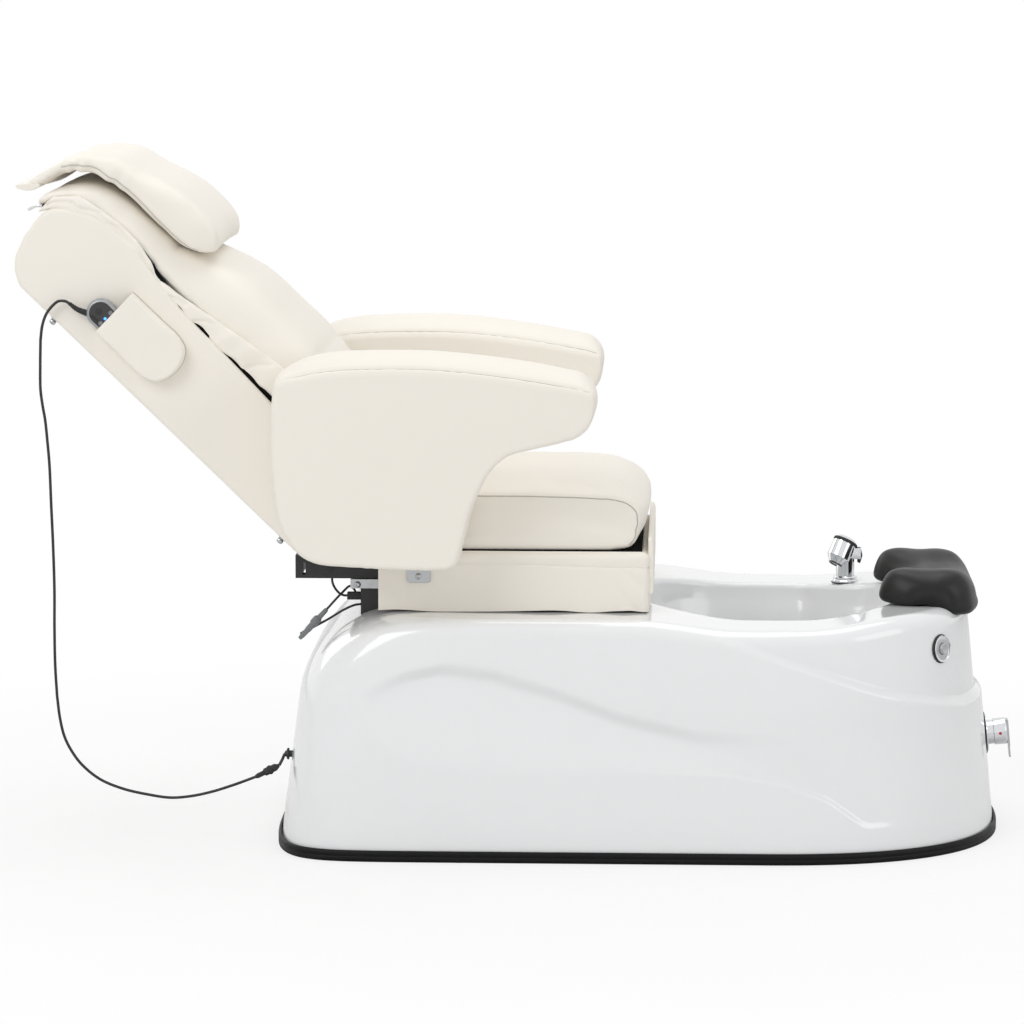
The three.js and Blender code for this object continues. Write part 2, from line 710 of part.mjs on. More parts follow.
/** Basin bowl, its rim flush with the deck, with holes for its fittings. */
function makeBowl() {
  const aboveRim = skin([basinRing(-BASIN_WALL - TUB_WALL), basinRing(-BASIN_WALL - TUB_WALL, DECK_Z + 80)]);
  const across = [
    [BASIN_MID_X, -BASIN_HALF_WIDTH - 50, BASIN_FITTING_Z],
    [BASIN_MID_X, BASIN_HALF_WIDTH + 50, BASIN_FITTING_Z],
  ];
  const rearHole = [
    [BASIN_MID_X - BASIN_HALF_LENGTH - 30, 0, BASIN_FITTING_Z],
    [BASIN_MID_X - BASIN_HALF_LENGTH + 80, 0, BASIN_FITTING_Z],
  ];
  const frontHole = [
    [BASIN_MID_X + BASIN_HALF_LENGTH - 80, 0, BASIN_FITTING_Z],
    [BASIN_MID_X + BASIN_HALF_LENGTH + 30, 0, BASIN_FITTING_Z],
  ];
  const drainHole = [
    [BASIN_MID_X, 0, BASIN_FLOOR_Z - 30],
    [BASIN_MID_X, 0, BASIN_FLOOR_Z + 10],
  ];
  return basinForm(BASIN_WALL)
    .subtract(basinForm(0))
    .subtract(aboveRim)
    .subtract(rod(...drainHole, DRAIN_RADIUS + GAP))
    .subtract(rod(...across, JET_RADIUS - FITTING_RIM + GAP))
    .subtract(rod(...rearHole, SUCTION_RADIUS - FITTING_RIM + GAP))
    .subtract(rod(...frontHole, LIGHT_RADIUS - FITTING_RIM + GAP));
}

/** Bumper strip: a rubber angle that covers the skirt's foot and turns in under it. */
function makeStrip() {
  const stations = tubStations();
  const ring = (grow, z) => stations.map((station) => tubPoint(station, TUB_FOOT_Z, grow).setZ(z));
  const outside = skin([
    ring(STRIP_PROUD, 0),
    ring(STRIP_PROUD, STRIP_HEIGHT - STRIP_EASE),
    ring(STRIP_PROUD - STRIP_EASE, STRIP_HEIGHT),
  ]);
  const inside = skin([ring(-STRIP_TURN_IN, -STRIP_HEIGHT), ring(-STRIP_TURN_IN, 2 * STRIP_HEIGHT)]);
  return outside.subtract(clearOfTub).subtract(inside);
}

piece(chair, "tub_skirt", makeSkirt(), "gelcoat");
piece(chair, "basin_bowl", makeBowl(), "gelcoat");
piece(chair, "bumper_strip", makeStrip(), "blackRubber");

// ---------- Base frame, feet and what stands on the frame ----------

const BASE_Z = FOOT_HEIGHT + GAP;
const BASE_TOP_Z = BASE_Z + TUBE;
const HALF_TUBE = TUBE / 2;
const SHELF_TOP_Z = BASE_TOP_Z + SHEET;
const SHELF_MARGIN = 4; // from the shelf's ends to what stands on it

/** Welded ladder frame: two long tubes, cross tubes, deck posts, basin props and a pump shelf. */
function makeBaseFrame() {
  const crossXs = [BASE_REAR_X, POST_REAR_X, POST_FRONT_X, PROP_REAR_X, PROP_FRONT_X, BASE_FRONT_X];
  const longTubes = pairOfBlocks(
    BASE_REAR_X - HALF_TUBE,
    BASE_FRONT_X + HALF_TUBE,
    BASE_HALF_Y - HALF_TUBE,
    BASE_HALF_Y + HALF_TUBE,
    BASE_Z,
    BASE_TOP_Z,
  );
  const crossTubes = crossXs.map((x) =>
    block(x - HALF_TUBE, x + HALF_TUBE, -BASE_HALF_Y, BASE_HALF_Y, BASE_Z, BASE_TOP_Z),
  );
  const posts = [POST_REAR_X, POST_FRONT_X].map((x) =>
    pairOfBlocks(
      x - HALF_TUBE,
      x + HALF_TUBE,
      BASE_HALF_Y - HALF_TUBE,
      BASE_HALF_Y + HALF_TUBE,
      BASE_TOP_Z - 1,
      DECK_Z - TUB_WALL - GAP,
    ),
  );
  const props = [PROP_REAR_X, PROP_FRONT_X].map((x) =>
    pairOfBlocks(
      x - HALF_TUBE,
      x + HALF_TUBE,
      PROP_Y - HALF_TUBE,
      PROP_Y + HALF_TUBE,
      BASE_TOP_Z - 1,
      BASIN_FLOOR_Z - BASIN_WALL - GAP,
    ),
  );
  const shelf = block(
    ...SHELF_X,
    -BASE_HALF_Y - HALF_TUBE,
    BASE_HALF_Y + HALF_TUBE,
    BASE_TOP_Z - 0.5,
    SHELF_TOP_Z,
  );
  return join(longTubes, ...crossTubes, ...posts, ...props, shelf);
}

piece(chair, "base_frame", makeBaseFrame(), "zincSteel");

const FOOT_NAMES = ["near_rear", "near_front", "far_rear", "far_front"];
FOOT_NAMES.forEach((name) => {
  const x = name.endsWith("rear") ? BASE_REAR_X : BASE_FRONT_X;
  const y = name.startsWith("near") ? -BASE_HALF_Y : BASE_HALF_Y;
  const foot = rod([x, y, 0], [x, y, FOOT_HEIGHT], FOOT_RADIUS, FOOT_RADIUS * 0.8);
  piece(chair, `rubber_foot_${name}`, foot, "blackRubber");
});

/** Water pump: a motor cylinder, a wider pump chamber, its foot and its two stubs. */
function makePump() {
  const [x0, x1] = SHELF_X;
  const middle = (x0 + x1) / 2;
  const z = SHELF_TOP_Z + GAP + PUMP_LIFT + PUMP_RADIUS;
  const chamberX = [middle + 5, middle + 5 + PUMP_CHAMBER_LENGTH];
  const outletX = (chamberX[0] + chamberX[1]) / 2;
  const motorX = [chamberX[0] + 5 - PUMP_MOTOR_LENGTH, chamberX[0] + 5];
  const motor = rod([motorX[0], PUMP_Y, z], [motorX[1], PUMP_Y, z], PUMP_MOTOR_RADIUS);
  const chamber = rod([chamberX[0], PUMP_Y, z], [chamberX[1], PUMP_Y, z], PUMP_RADIUS);
  const inlet = rod([outletX, PUMP_Y, z], [chamberX[1] + PUMP_STUB, PUMP_Y, z], PUMP_INLET_RADIUS);
  const outlet = rod([outletX, PUMP_Y, z], [outletX, PUMP_Y, z + PUMP_RADIUS + PUMP_STUB], PUMP_OUTLET_RADIUS);
  const foot = block(
    x0 + SHELF_MARGIN,
    x1 - SHELF_MARGIN,
    PUMP_Y - PUMP_FOOT_HALF_Y,
    PUMP_Y + PUMP_FOOT_HALF_Y,
    SHELF_TOP_Z + GAP,
    z - PUMP_MOTOR_RADIUS + 12,
  );
  return join(motor, chamber, inlet, outlet, foot);
}

piece(chair, "water_pump", makePump(), "blackPlastic");
piece(
  chair,
  "control_box",
  block(
    SHELF_X[0] + SHELF_MARGIN,
    SHELF_X[1] - SHELF_MARGIN,
    ...CONTROL_BOX_Y,
    SHELF_TOP_Z + GAP,
    SHELF_TOP_Z + CONTROL_BOX_HEIGHT,
  ),
  "whitePlastic",
);

/** Mains inlet: a flanged socket let into the rear wall, its pin well open to the rear. */
function makeInlet() {
  const x = rearWallX(INLET.z);
  const { y, z, halfWidth, halfHeight, depth } = INLET;
  const housing = block(x - 6, x + depth, y - halfWidth, y + halfWidth, z - halfHeight, z + halfHeight);
  const rim = 5;
  const flange = block(
    x - 6,
    x + 12,
    y - halfWidth - rim,
    y + halfWidth + rim,
    z - halfHeight - rim,
    z + halfHeight + rim,
  ).subtract(clearOfTub);
  const well = block(x - 20, x + depth - 8, y - 14, y + 14, z - 9, z + 9);
  return join(housing, flange).subtract(well);
}

piece(chair, "mains_inlet", makeInlet(), "blackPlastic");

// ---------- Basin fittings ----------

const inBasin = basinForm(-GAP);

/** A round fitting through the basin's wall: a face inside it and a narrower shank through it. */
function basinFitting(from, way, radius, shankLength) {
  const direction = new THREE.Vector3(...way);
  const at = (distance) => new THREE.Vector3(...from).addScaledVector(direction, distance).toArray();
  const face = rod(at(-40), at(4), radius, radius - 3, 28).intersect(inBasin);
  const shank = rod(at(-shankLength), at(2), radius - FITTING_RIM);
  return join(face, shank);
}

const fittingInset = BASIN_HALF_WIDTH - basinHalfWidthAt(BASIN_FITTING_Z);
const wallY = BASIN_HALF_WIDTH - fittingInset;
const rearBasinX = BASIN_MID_X - BASIN_HALF_LENGTH + fittingInset;
const frontBasinX = BASIN_MID_X + BASIN_HALF_LENGTH - fittingInset;
const fittings = [
  ["jet_near", [BASIN_MID_X, -wallY, BASIN_FITTING_Z], [0, 1, 0], JET_RADIUS, 34, "chrome"],
  ["jet_far", [BASIN_MID_X, wallY, BASIN_FITTING_Z], [0, -1, 0], JET_RADIUS, 34, "chrome"],
  ["suction_cover", [rearBasinX, 0, BASIN_FITTING_Z], [1, 0, 0], SUCTION_RADIUS, 34, "chrome"],
  ["basin_light", [frontBasinX, 0, BASIN_FITTING_Z], [-1, 0, 0], LIGHT_RADIUS, 30, "lens"],
];
fittings.forEach(([name, at, way, radius, shank, finish]) => {
  piece(chair, name, basinFitting(at, way, radius, shank), finish);
});

/** Drain: a flange on the basin's floor over a tail pipe, bored through. */
const drain = turned(
  [
    [0, -DRAIN_TAIL],
    [DRAIN_RADIUS, -DRAIN_TAIL],
    [DRAIN_RADIUS, GAP],
    [DRAIN_RADIUS + 9, GAP],
    [DRAIN_RADIUS + 9, 2],
    [DRAIN_RADIUS + 5, 4],
    [0, 4],
  ],
  [BASIN_MID_X, 0, BASIN_FLOOR_Z],
  [0, 0, 1],
).subtract(
  rod([BASIN_MID_X, 0, BASIN_FLOOR_Z - DRAIN_TAIL - 5], [BASIN_MID_X, 0, BASIN_FLOOR_Z + 9], DRAIN_BORE),
);
piece(chair, "drain_fitting", drain, "chrome");

/** Lift-out plug in the drain's bore, with a knob on top. */
const plug = turned(
  [
    [0, -9],
    [DRAIN_BORE - 2, -9],
    [DRAIN_BORE - GAP, -4],
    [DRAIN_BORE - GAP, 4 + GAP],
    [DRAIN_BORE + 2, 4 + GAP],
    [DRAIN_BORE, 8],
    [6, 9],
    [4, 14],
    [8, 19],
    [6, 22],
    [0, 22],
  ],
  [BASIN_MID_X, 0, BASIN_FLOOR_Z],
  [0, 0, 1],
);
piece(chair, "drain_plug", plug, "blackRubber");

// ---------- Spray, air button, mixer ----------

const sprayDeckZ = deckHeight(SPRAY_X);
const spraySeat = [SPRAY_X, SPRAY_Y, sprayDeckZ];

/** Chrome flange on the deck with a sleeve down through it, floored but for the hose hole. */
const sprayFlange = join(
  turned(
    [
      [0, -8],
      [SPRAY_FLANGE_RADIUS + 2, -8],
      [SPRAY_FLANGE_RADIUS + 2, 4],
      [SPRAY_FLANGE_RADIUS, 6],
      [SPRAY_FLANGE_RADIUS, SPRAY_FLANGE_HEIGHT - 2],
      [SPRAY_FLANGE_RADIUS - 2, SPRAY_FLANGE_HEIGHT],
      [0, SPRAY_FLANGE_HEIGHT],
    ],
    spraySeat,
    [0, 0, 1],
  ).subtract(clearOfTub),
  rod(
    [SPRAY_X, SPRAY_Y, sprayDeckZ - SPRAY_SLEEVE_DEPTH - 3],
    [SPRAY_X, SPRAY_Y, sprayDeckZ + SPRAY_FLANGE_HEIGHT - 3],
    SPRAY_SLEEVE_RADIUS,
  ),
)
  .subtract(
    turned(
      [
        [0, -SPRAY_SLEEVE_DEPTH],
        [SPRAY_STEM_RADIUS + GAP, -SPRAY_SLEEVE_DEPTH],
        [SPRAY_STEM_RADIUS + GAP, SPRAY_FLANGE_HEIGHT + 5],
        [0, SPRAY_FLANGE_HEIGHT + 5],
      ],
      spraySeat,
      [0, 0, 1],
    ),
  )
  .subtract(rod([SPRAY_X, SPRAY_Y, sprayDeckZ - 40], [SPRAY_X, SPRAY_Y, sprayDeckZ], 7));
piece(chair, "spray_flange", sprayFlange, "chrome");

const sprayMiddle = new THREE.Vector3(SPRAY_X - 7, SPRAY_Y - 2, sprayDeckZ + SPRAY_STEM_HEIGHT + 11);
const TRIGGER_X = SPRAY_X + SPRAY_STEM_RADIUS + 5;
const TRIGGER_HINGE_Z = sprayDeckZ + SPRAY_STEM_HEIGHT + 12;

/** Pull-out spray: an upright handle, a slanting cylindrical head, and two ears for its lever. */
function makeSpray() {
  const head = sprayMiddle.clone().addScaledVector(SPRAY_WAY, -SPRAY_HEAD_LENGTH / 2);
  const barrel = turned(
    [
      [0, 0],
      [SPRAY_HEAD_RADIUS - 5, 0],
      [SPRAY_HEAD_RADIUS, 5],
      [SPRAY_HEAD_RADIUS, SPRAY_HEAD_LENGTH - 12],
      [SPRAY_HEAD_RADIUS - 9, SPRAY_HEAD_LENGTH],
      [0, SPRAY_HEAD_LENGTH],
    ],
    head.toArray(),
    SPRAY_WAY.toArray(),
  );
  const stem = rod(
    [SPRAY_X, SPRAY_Y, sprayDeckZ - SPRAY_SLEEVE_DEPTH + GAP],
    [SPRAY_X, SPRAY_Y, sprayDeckZ + SPRAY_STEM_HEIGHT],
    SPRAY_STEM_RADIUS,
  );
  const ears = [-1, 1].map((side) =>
    block(
      SPRAY_X,
      TRIGGER_X + 6,
      SPRAY_Y + side * SPRAY_EAR_Y - 1.5,
      SPRAY_Y + side * SPRAY_EAR_Y + 1.5,
      TRIGGER_HINGE_Z - 14,
      TRIGGER_HINGE_Z + 5,
    ),
  );
  return join(barrel, stem, ...ears);
}

piece(chair, "spray_head", makeSpray(), "chrome");

/** Thumb lever between the ears behind the spray's handle, hinged at its top. */
const triggerOutline = [
  [TRIGGER_X, TRIGGER_HINGE_Z - 20],
  [TRIGGER_X + 5, TRIGGER_HINGE_Z - 22],
  [TRIGGER_X + 9, TRIGGER_HINGE_Z - 8],
  [TRIGGER_X + 6, TRIGGER_HINGE_Z + 5],
  [TRIGGER_X + 1, TRIGGER_HINGE_Z + 4],
  [TRIGGER_X + 1, TRIGGER_HINGE_Z - 8],
];
const sprayHeadClear = rod(
  sprayMiddle.clone().addScaledVector(SPRAY_WAY, -SPRAY_HEAD_LENGTH).toArray(),
  sprayMiddle.clone().addScaledVector(SPRAY_WAY, SPRAY_HEAD_LENGTH).toArray(),
  SPRAY_HEAD_RADIUS + 2,
  SPRAY_HEAD_RADIUS + 2,
  28,
);
const trigger = slab(
  triggerOutline,
  SPRAY_Y - SPRAY_LEVER_HALF_Y,
  SPRAY_Y + SPRAY_LEVER_HALF_Y,
).subtract(sprayHeadClear);
piece(chair, "spray_lever", trigger, "blackPlastic");

/** Air button's bezel: a flange on the front corner, a shank through the wall, and a blind bore. */
const bezel = join(
  rod(outFrom(buttonSeat, -10), outFrom(buttonSeat, 4), BUTTON_FLANGE_RADIUS, BUTTON_FLANGE_RADIUS - 2, 32)
    .subtract(clearOfTub),
  rod(outFrom(buttonSeat, -26), outFrom(buttonSeat, 3), BUTTON_SHANK_RADIUS),
).subtract(rod(outFrom(buttonSeat, -18), outFrom(buttonSeat, 9), BUTTON_CAP_RADIUS + GAP));
piece(chair, "air_button_bezel", bezel, "chrome");
piece(
  chair,
  "air_button_cap",
  rod(
    outFrom(buttonSeat, -18 + BUTTON_TRAVEL + 1),
    outFrom(buttonSeat, 3 + BUTTON_TRAVEL + 1),
    BUTTON_CAP_RADIUS,
    BUTTON_CAP_RADIUS - 0.5,
  ),
  "chrome",
);

const mixerBody = join(
  rod(outFrom(mixerSeat, -10), outFrom(mixerSeat, 4), MIXER_FLANGE_RADIUS, MIXER_FLANGE_RADIUS - 3, 36)
    .subtract(clearOfTub),
  rod(outFrom(mixerSeat, -34), outFrom(mixerSeat, 5), MIXER_SHANK_RADIUS),
  rod(outFrom(mixerSeat, 2), outFrom(mixerSeat, MIXER_BODY_END), MIXER_BODY_RADIUS, MIXER_BODY_RADIUS, 28),
);
piece(chair, "mixer_body", mixerBody, "chrome");

const mixerCap = turned(
  [
    [0, MIXER_BODY_END + GAP],
    [MIXER_BODY_RADIUS + 1.5, MIXER_BODY_END + GAP],
    [MIXER_BODY_RADIUS + 2, MIXER_CAP_END - 2],
    [MIXER_BODY_RADIUS, MIXER_CAP_END],
    [0, MIXER_CAP_END],
  ],
  mixerSeat.at.toArray(),
  mixerSeat.normal.toArray(),
);
piece(chair, "mixer_cap", mixerCap, "chrome");

/** Flat lever that hangs down from the face of the mixer's cap. */
const lever = new THREE.Group();
lever.position.copy(mixerSeat.at);
lever.rotation.y = -Math.atan2(mixerSeat.normal.z, mixerSeat.normal.x);
chair.add(lever);
const LEVER_START = MIXER_CAP_END + GAP;
piece(
  lever,
  "mixer_lever",
  join(
    block(LEVER_START, LEVER_START + 3.5, -10, 10, -26, MIXER_BODY_RADIUS - 1),
    block(LEVER_START, LEVER_START + 3, -7, 7, -MIXER_LEVER_DROP, -20),
  ),
  "chrome",
);

// ---------- Footrest ----------

/** Padded footrest: two lobes over the basin's front rim, hollowed between, hooked over the rim. */
function makeFootrest() {
  const underside = DECK_Z + 1.5;
  const crestX = 693;
  const rings = [];
  const shares = [-1, -0.975, -0.88, -0.7, -0.48, -0.24, 0, 0.24, 0.48, 0.7, 0.88, 0.975, 1];
  for (const share of shares) {
    const y = share * FOOTREST_HALF_Y;
    const lobe = Math.exp(-(((Math.abs(share) - 0.72) / 0.3) ** 2));
    const inner = crestX - 40 - 48 * lobe;
    const top = FOOTREST_TOP_Z - 17 + 17 * lobe;
    const front = FOOTREST_FRONT_X - 26 * Math.abs(share) ** 2.4;
    const lip = DECK_Z - FOOTREST_LIP;
    const section = [
      [inner + 10, underside],
      [inner, underside + 8],
      [inner + 6, underside + 30],
      [inner + 18, top - 7],
      [inner + 36, top],
      [(inner + front) / 2, top - 2],
      [front - 46, top - 1],
      [front - 24, top - 7],
      [front - 9, top - 24],
      [front - 3, top - 44],
      [front, lip + 6],
      [front - 5, lip],
      [front - 50, lip + 2],
      [front - 70, underside],
    ];
    const end = Math.max(0, (Math.abs(share) - 0.8) / 0.2);
    const shrink = 1 - 0.45 * (1 - Math.sqrt(1 - Math.min(end, 0.98) ** 2));
    const [cx, cz] = [(inner + front) / 2, underside];
    rings.push(
      section.map(([x, z]) => new THREE.Vector3(cx + (x - cx) * shrink, y, cz + (z - cz) * shrink)),
    );
  }
  return skin(rings).subtract(tubForm(FOOTREST_CLEARANCE));
}

piece(chair, "footrest_pad", makeFootrest(), "blackFoam");

// ---------- Pedestal, rails and slide ----------

const PEDESTAL_SINK = 30; // how far its bars reach below the deck where the deck rounds off
const PEDESTAL_FOOT_Z = DECK_Z - PEDESTAL_SINK;
const BAR_OUT_Y = RAIL_Y + PEDESTAL_WALL / 2;
const BAR_IN_Y = RAIL_Y - PEDESTAL_WALL / 2;

/** Black steel pedestal on the deck: two long bars tied at each end, cut to the deck's round rear. */
function makePedestal() {
  const bars = pairOfBlocks(
    PEDESTAL_REAR_X,
    PEDESTAL_FRONT_X,
    BAR_IN_Y,
    BAR_OUT_Y,
    PEDESTAL_FOOT_Z,
    PEDESTAL_TOP_Z,
  );
  const tie = (x) => block(x, x + PEDESTAL_WALL, -RAIL_Y, RAIL_Y, PEDESTAL_FOOT_Z, TIE_TOP_Z);
  return join(bars, tie(PEDESTAL_REAR_X), tie(PEDESTAL_FRONT_X - PEDESTAL_WALL)).subtract(clearOfTub);
}

piece(chair, "pedestal_frame", makePedestal(), "blackSteel");

const RAIL_REAR_X = PEDESTAL_REAR_X - 17;
const RAIL_Z = PEDESTAL_TOP_Z + GAP;
const RAIL_TOP_Z = RAIL_Z + RAIL_HEIGHT;

/** A slide rail: a C-shaped steel channel, lips inward, open at both ends. */
function makeRail(y) {
  const half = RAIL_WIDTH / 2;
  const ends = [RAIL_REAR_X - 1, PEDESTAL_FRONT_X + 1];
  const cavity = half - RAIL_WALL;
  return block(RAIL_REAR_X, PEDESTAL_FRONT_X, y - half, y + half, RAIL_Z, RAIL_TOP_Z)
    .subtract(block(...ends, y - cavity, y + cavity, RAIL_Z + RAIL_WALL, RAIL_TOP_Z - RAIL_WALL))
    .subtract(block(...ends, y - half + RAIL_LIP, y + half - RAIL_LIP, RAIL_TOP_Z - 5, RAIL_TOP_Z + 5));
}

piece(chair, "rail_near", makeRail(-RAIL_Y), "zincSteel");
piece(chair, "rail_far", makeRail(RAIL_Y), "zincSteel");

const SCREW_Z = DECK_Z + SCREW_HEIGHT;

/** Slide motor: a gearbox on the deck and the screw it turns, which runs rearward. */
const slideMotor = join(
  block(
    ...SLIDE_MOTOR_X,
    SLIDE_MOTOR_Y - SLIDE_MOTOR_HALF_Y,
    SLIDE_MOTOR_Y + SLIDE_MOTOR_HALF_Y,
    DECK_Z + GAP,
    SCREW_Z + NUT_HALF,
  ),
  rod([SLIDE_MOTOR_X[0] + 4, SLIDE_MOTOR_Y, SCREW_Z], [SCREW_END_X, SLIDE_MOTOR_Y, SCREW_Z], SCREW_RADIUS),
);
piece(chair, "slide_motor", slideMotor, "zincSteel");

// ---------- Seat ----------

const seat = new THREE.Group();
chair.add(seat);

const BEAM_Z = RAIL_TOP_Z + GAP;
const BEAM_TOP_Z = BEAM_Z + SEAT_FRAME_HEIGHT;
const BEAM_HALF = 12;
const RUNNER_CLEARANCE = 0.5;
const SEAT_FRAME_FRONT_X = 190;

/** Seat frame: two box beams, their ties, the seat pan, runners for the rails, hinge pins, a nut. */
function makeSeatFrame() {
  const beams = pairOfBlocks(
    SEAT_FRAME_REAR_X,
    SEAT_FRAME_FRONT_X,
    RAIL_Y - BEAM_HALF,
    RAIL_Y + BEAM_HALF,
    BEAM_Z,
    BEAM_TOP_Z,
  );
  const rearTie = block(
    SEAT_FRAME_REAR_X,
    SEAT_FRAME_REAR_X + 8,
    -RAIL_Y,
    RAIL_Y,
    BEAM_Z,
    BEAM_TOP_Z,
  );
  const frontTie = block(
    SEAT_FRAME_FRONT_X - 24,
    SEAT_FRAME_FRONT_X,
    -RAIL_Y,
    RAIL_Y,
    BEAM_Z,
    BEAM_TOP_Z,
  );
  const slots = block(
    SEAT_FRAME_REAR_X + 12,
    SEAT_FRAME_REAR_X + 17,
    -RAIL_Y - 2 * BEAM_HALF,
    RAIL_Y + 2 * BEAM_HALF,
    BEAM_Z + 6,
    BEAM_Z + 27,
  );
  const pan = block(
    SEAT_PAN_REAR_X,
    SEAT_FRAME_FRONT_X,
    -RAIL_Y - BEAM_HALF,
    RAIL_Y + BEAM_HALF,
    BEAM_TOP_Z - SHEET,
    BEAM_TOP_Z,
  );
  const headHalf = RAIL_WIDTH / 2 - RAIL_WALL - RUNNER_CLEARANCE;
  const neckHalf = RAIL_WIDTH / 2 - RAIL_LIP - RUNNER_CLEARANCE;
  const headTopZ = RAIL_TOP_Z - RAIL_WALL - RUNNER_CLEARANCE;
  const runnerXs = [RAIL_REAR_X + 10, PEDESTAL_FRONT_X - SLIDE_TRAVEL - 8];
  const runners = [-RAIL_Y, RAIL_Y].flatMap((y) => [
    block(...runnerXs, y - headHalf, y + headHalf, RAIL_Z + RAIL_WALL + RUNNER_CLEARANCE, headTopZ),
    block(...runnerXs, y - neckHalf, y + neckHalf, headTopZ - 1, BEAM_Z + 1),
  ]);
  const pinEnd = BACK_RAIL_Y + BACK_RAIL_THICKNESS / 2 + 3;
  const pins = [-1, 1].map((side) =>
    rod([HINGE_X, side * RAIL_Y, HINGE_Z], [HINGE_X, side * pinEnd, HINGE_Z], HINGE_PIN_RADIUS),
  );
  const nut = block(
    ...NUT_X,
    SLIDE_MOTOR_Y - NUT_HALF,
    SLIDE_MOTOR_Y + NUT_HALF,
    SCREW_Z - NUT_HALF,
    BEAM_TOP_Z - SHEET + 1,
  );
  const nutBore = rod(
    [NUT_X[0] - NUT_HALF, SLIDE_MOTOR_Y, SCREW_Z],
    [NUT_X[1] + NUT_HALF, SLIDE_MOTOR_Y, SCREW_Z],
    SCREW_RADIUS + SCREW_CLEARANCE,
  );
  return join(beams, rearTie, frontTie, pan, ...runners, ...pins, nut).subtract(slots).subtract(nutBore);
}

piece(seat, "seat_frame", makeSeatFrame(), "blackSteel");

const BOARD_Z = BEAM_TOP_Z + GAP;
const BOARD_TOP_Z = BOARD_Z + SEAT_BOARD;

/** Upholstered seat box: a board under the cushion, two side walls and a front wall. */
const seatBase = join(
  block(CUSHION_REAR_X, SEAT_BASE_FRONT_X, -SEAT_BASE_HALF_Y, SEAT_BASE_HALF_Y, BOARD_Z, BOARD_TOP_Z),
  pairOfBlocks(
    SEAT_BASE_REAR_X,
    SEAT_BASE_FRONT_X,
    SEAT_BASE_HALF_Y - SEAT_BASE_WALL,
    SEAT_BASE_HALF_Y,
    SEAT_BASE_BOTTOM_Z,
    BOARD_Z + 1,
  ),
  block(
    SEAT_BASE_FRONT_X - SEAT_BASE_WALL,
    SEAT_BASE_FRONT_X,
    -SEAT_BASE_HALF_Y,
    SEAT_BASE_HALF_Y,
    SEAT_BASE_BOTTOM_Z,
    BOARD_Z + 1,
  ),
);
piece(seat, "seat_base", seatBase, "ivoryHide");

const apronX = SEAT_BASE_FRONT_X + GAP;
const apronOutline = [
  [apronX, APRON_BOTTOM_Z],
  [apronX + APRON_THICKNESS, APRON_BOTTOM_Z + 6],
  [apronX + APRON_THICKNESS, APRON_TOP_Z - 8],
  [apronX + APRON_THICKNESS - 3, APRON_TOP_Z],
  [apronX, APRON_TOP_Z],
];
piece(seat, "seat_apron", slab(apronOutline, -BACK_HALF_Y, BACK_HALF_Y), "ivoryHide");

// Cushion section from its front top round to its rear: x from the front, z from the underside,
// then how far the crown pushes that point forward and up.
const CUSHION_SECTION = [
  [-22, 0, 0, 0],
  [-10, 7, 0, 0],
  [-3, 20, 2, 0],
  [0, 36, 8, 0],
  [0, 49, 14, 1],
  [-3, 64, 19, 5],
  [-10, 77, 16, 16],
  [-22, 88, 10, 26],
  [-40, 95, 4, 33],
  [-75, 98, 0, 36],
  [-150, 99, 0, 36],
  [-230, 99, 0, 34],
  [-330, 98, 0, 28],
  [-430, 96, 0, 20],
  [-474, 92, 0, 10],
  [-484, 80, 0, 4],
  [-486, 60, 0, 0],
  [-486, 20, 0, 0],
  [-480, 4, 0, 0],
];

/** Seat cushion: crowned along and across, its front rolled over. */
function makeCushion() {
  const length = CUSHION_FRONT_X - CUSHION_REAR_X;
  const height = CUSHION_SIDE_HEIGHT;
  const rings = [
    [-1, 0, 5],
    [-0.983, 0.12, 1.5],
    [-0.945, 0.3, 0],
    [-0.87, 0.5, 0],
    [-0.72, 0.71, 0],
    [-0.5, 0.87, 0],
    [-0.25, 0.97, 0],
    [0, 1, 0],
  ];
  const all = [...rings, ...rings.slice(0, -1).reverse().map(([share, e, inset]) => [-share, e, inset])];
  return skin(
    all.map(([share, crown, inset]) => {
      const section = CUSHION_SECTION.map(([x, z, forward, up]) => [
        (x * length) / 486 + forward * crown,
        (z * height) / 98 + up * crown * (CUSHION_CROWN / 36),
      ]);
      return inward(section, inset).map(
        ([x, z]) =>
          new THREE.Vector3(CUSHION_FRONT_X + x, share * CUSHION_HALF_Y, BOARD_TOP_Z + GAP + Math.max(z, 0)),
      );
    }),
  );
}

piece(seat, "seat_cushion", makeCushion(), "ivoryHide");

// ---------- Arms ----------

// Side outline of an armrest: x, z, and how much of the crown lifts that point.
const ARM_OUTLINE = [
  [-393, 797, 0.2],
  [-356, 806, 0.8],
  [-302, 814, 1],
  [-253, 817, 1],
  [-202, 818, 1],
  [-139, 817, 1],
  [-58, 810, 1],
  [24, 799, 1],
  [73, 791, 0.9],
  [120, 781, 0.5],
  [131, 771, 0],
  [127, 744, 0],
  [118, 725, 0],
  [98, 709, 0],
  [68, 699, 0],
  [29, 690, 0],
  [-13, 678, 0],
  [-40, 654, 0],
  [-58, 623, 0],
  [-73, 588, 0],
  [-85, 541, 0],
  [-91, 518, 0],
  [-97, 500, 0],
  [-110, 491, 0],
  [-164, 489, 0],
  [-261, 493, 0],
  [-331, 500, 0],
  [-358, 516, 0],
  [-377, 543, 0],
  [-389, 574, 0],
  [-396, 617, 0],
  [-400, 660, 0],
  [-401, 718, 0],
  [-399, 773, 0],
];

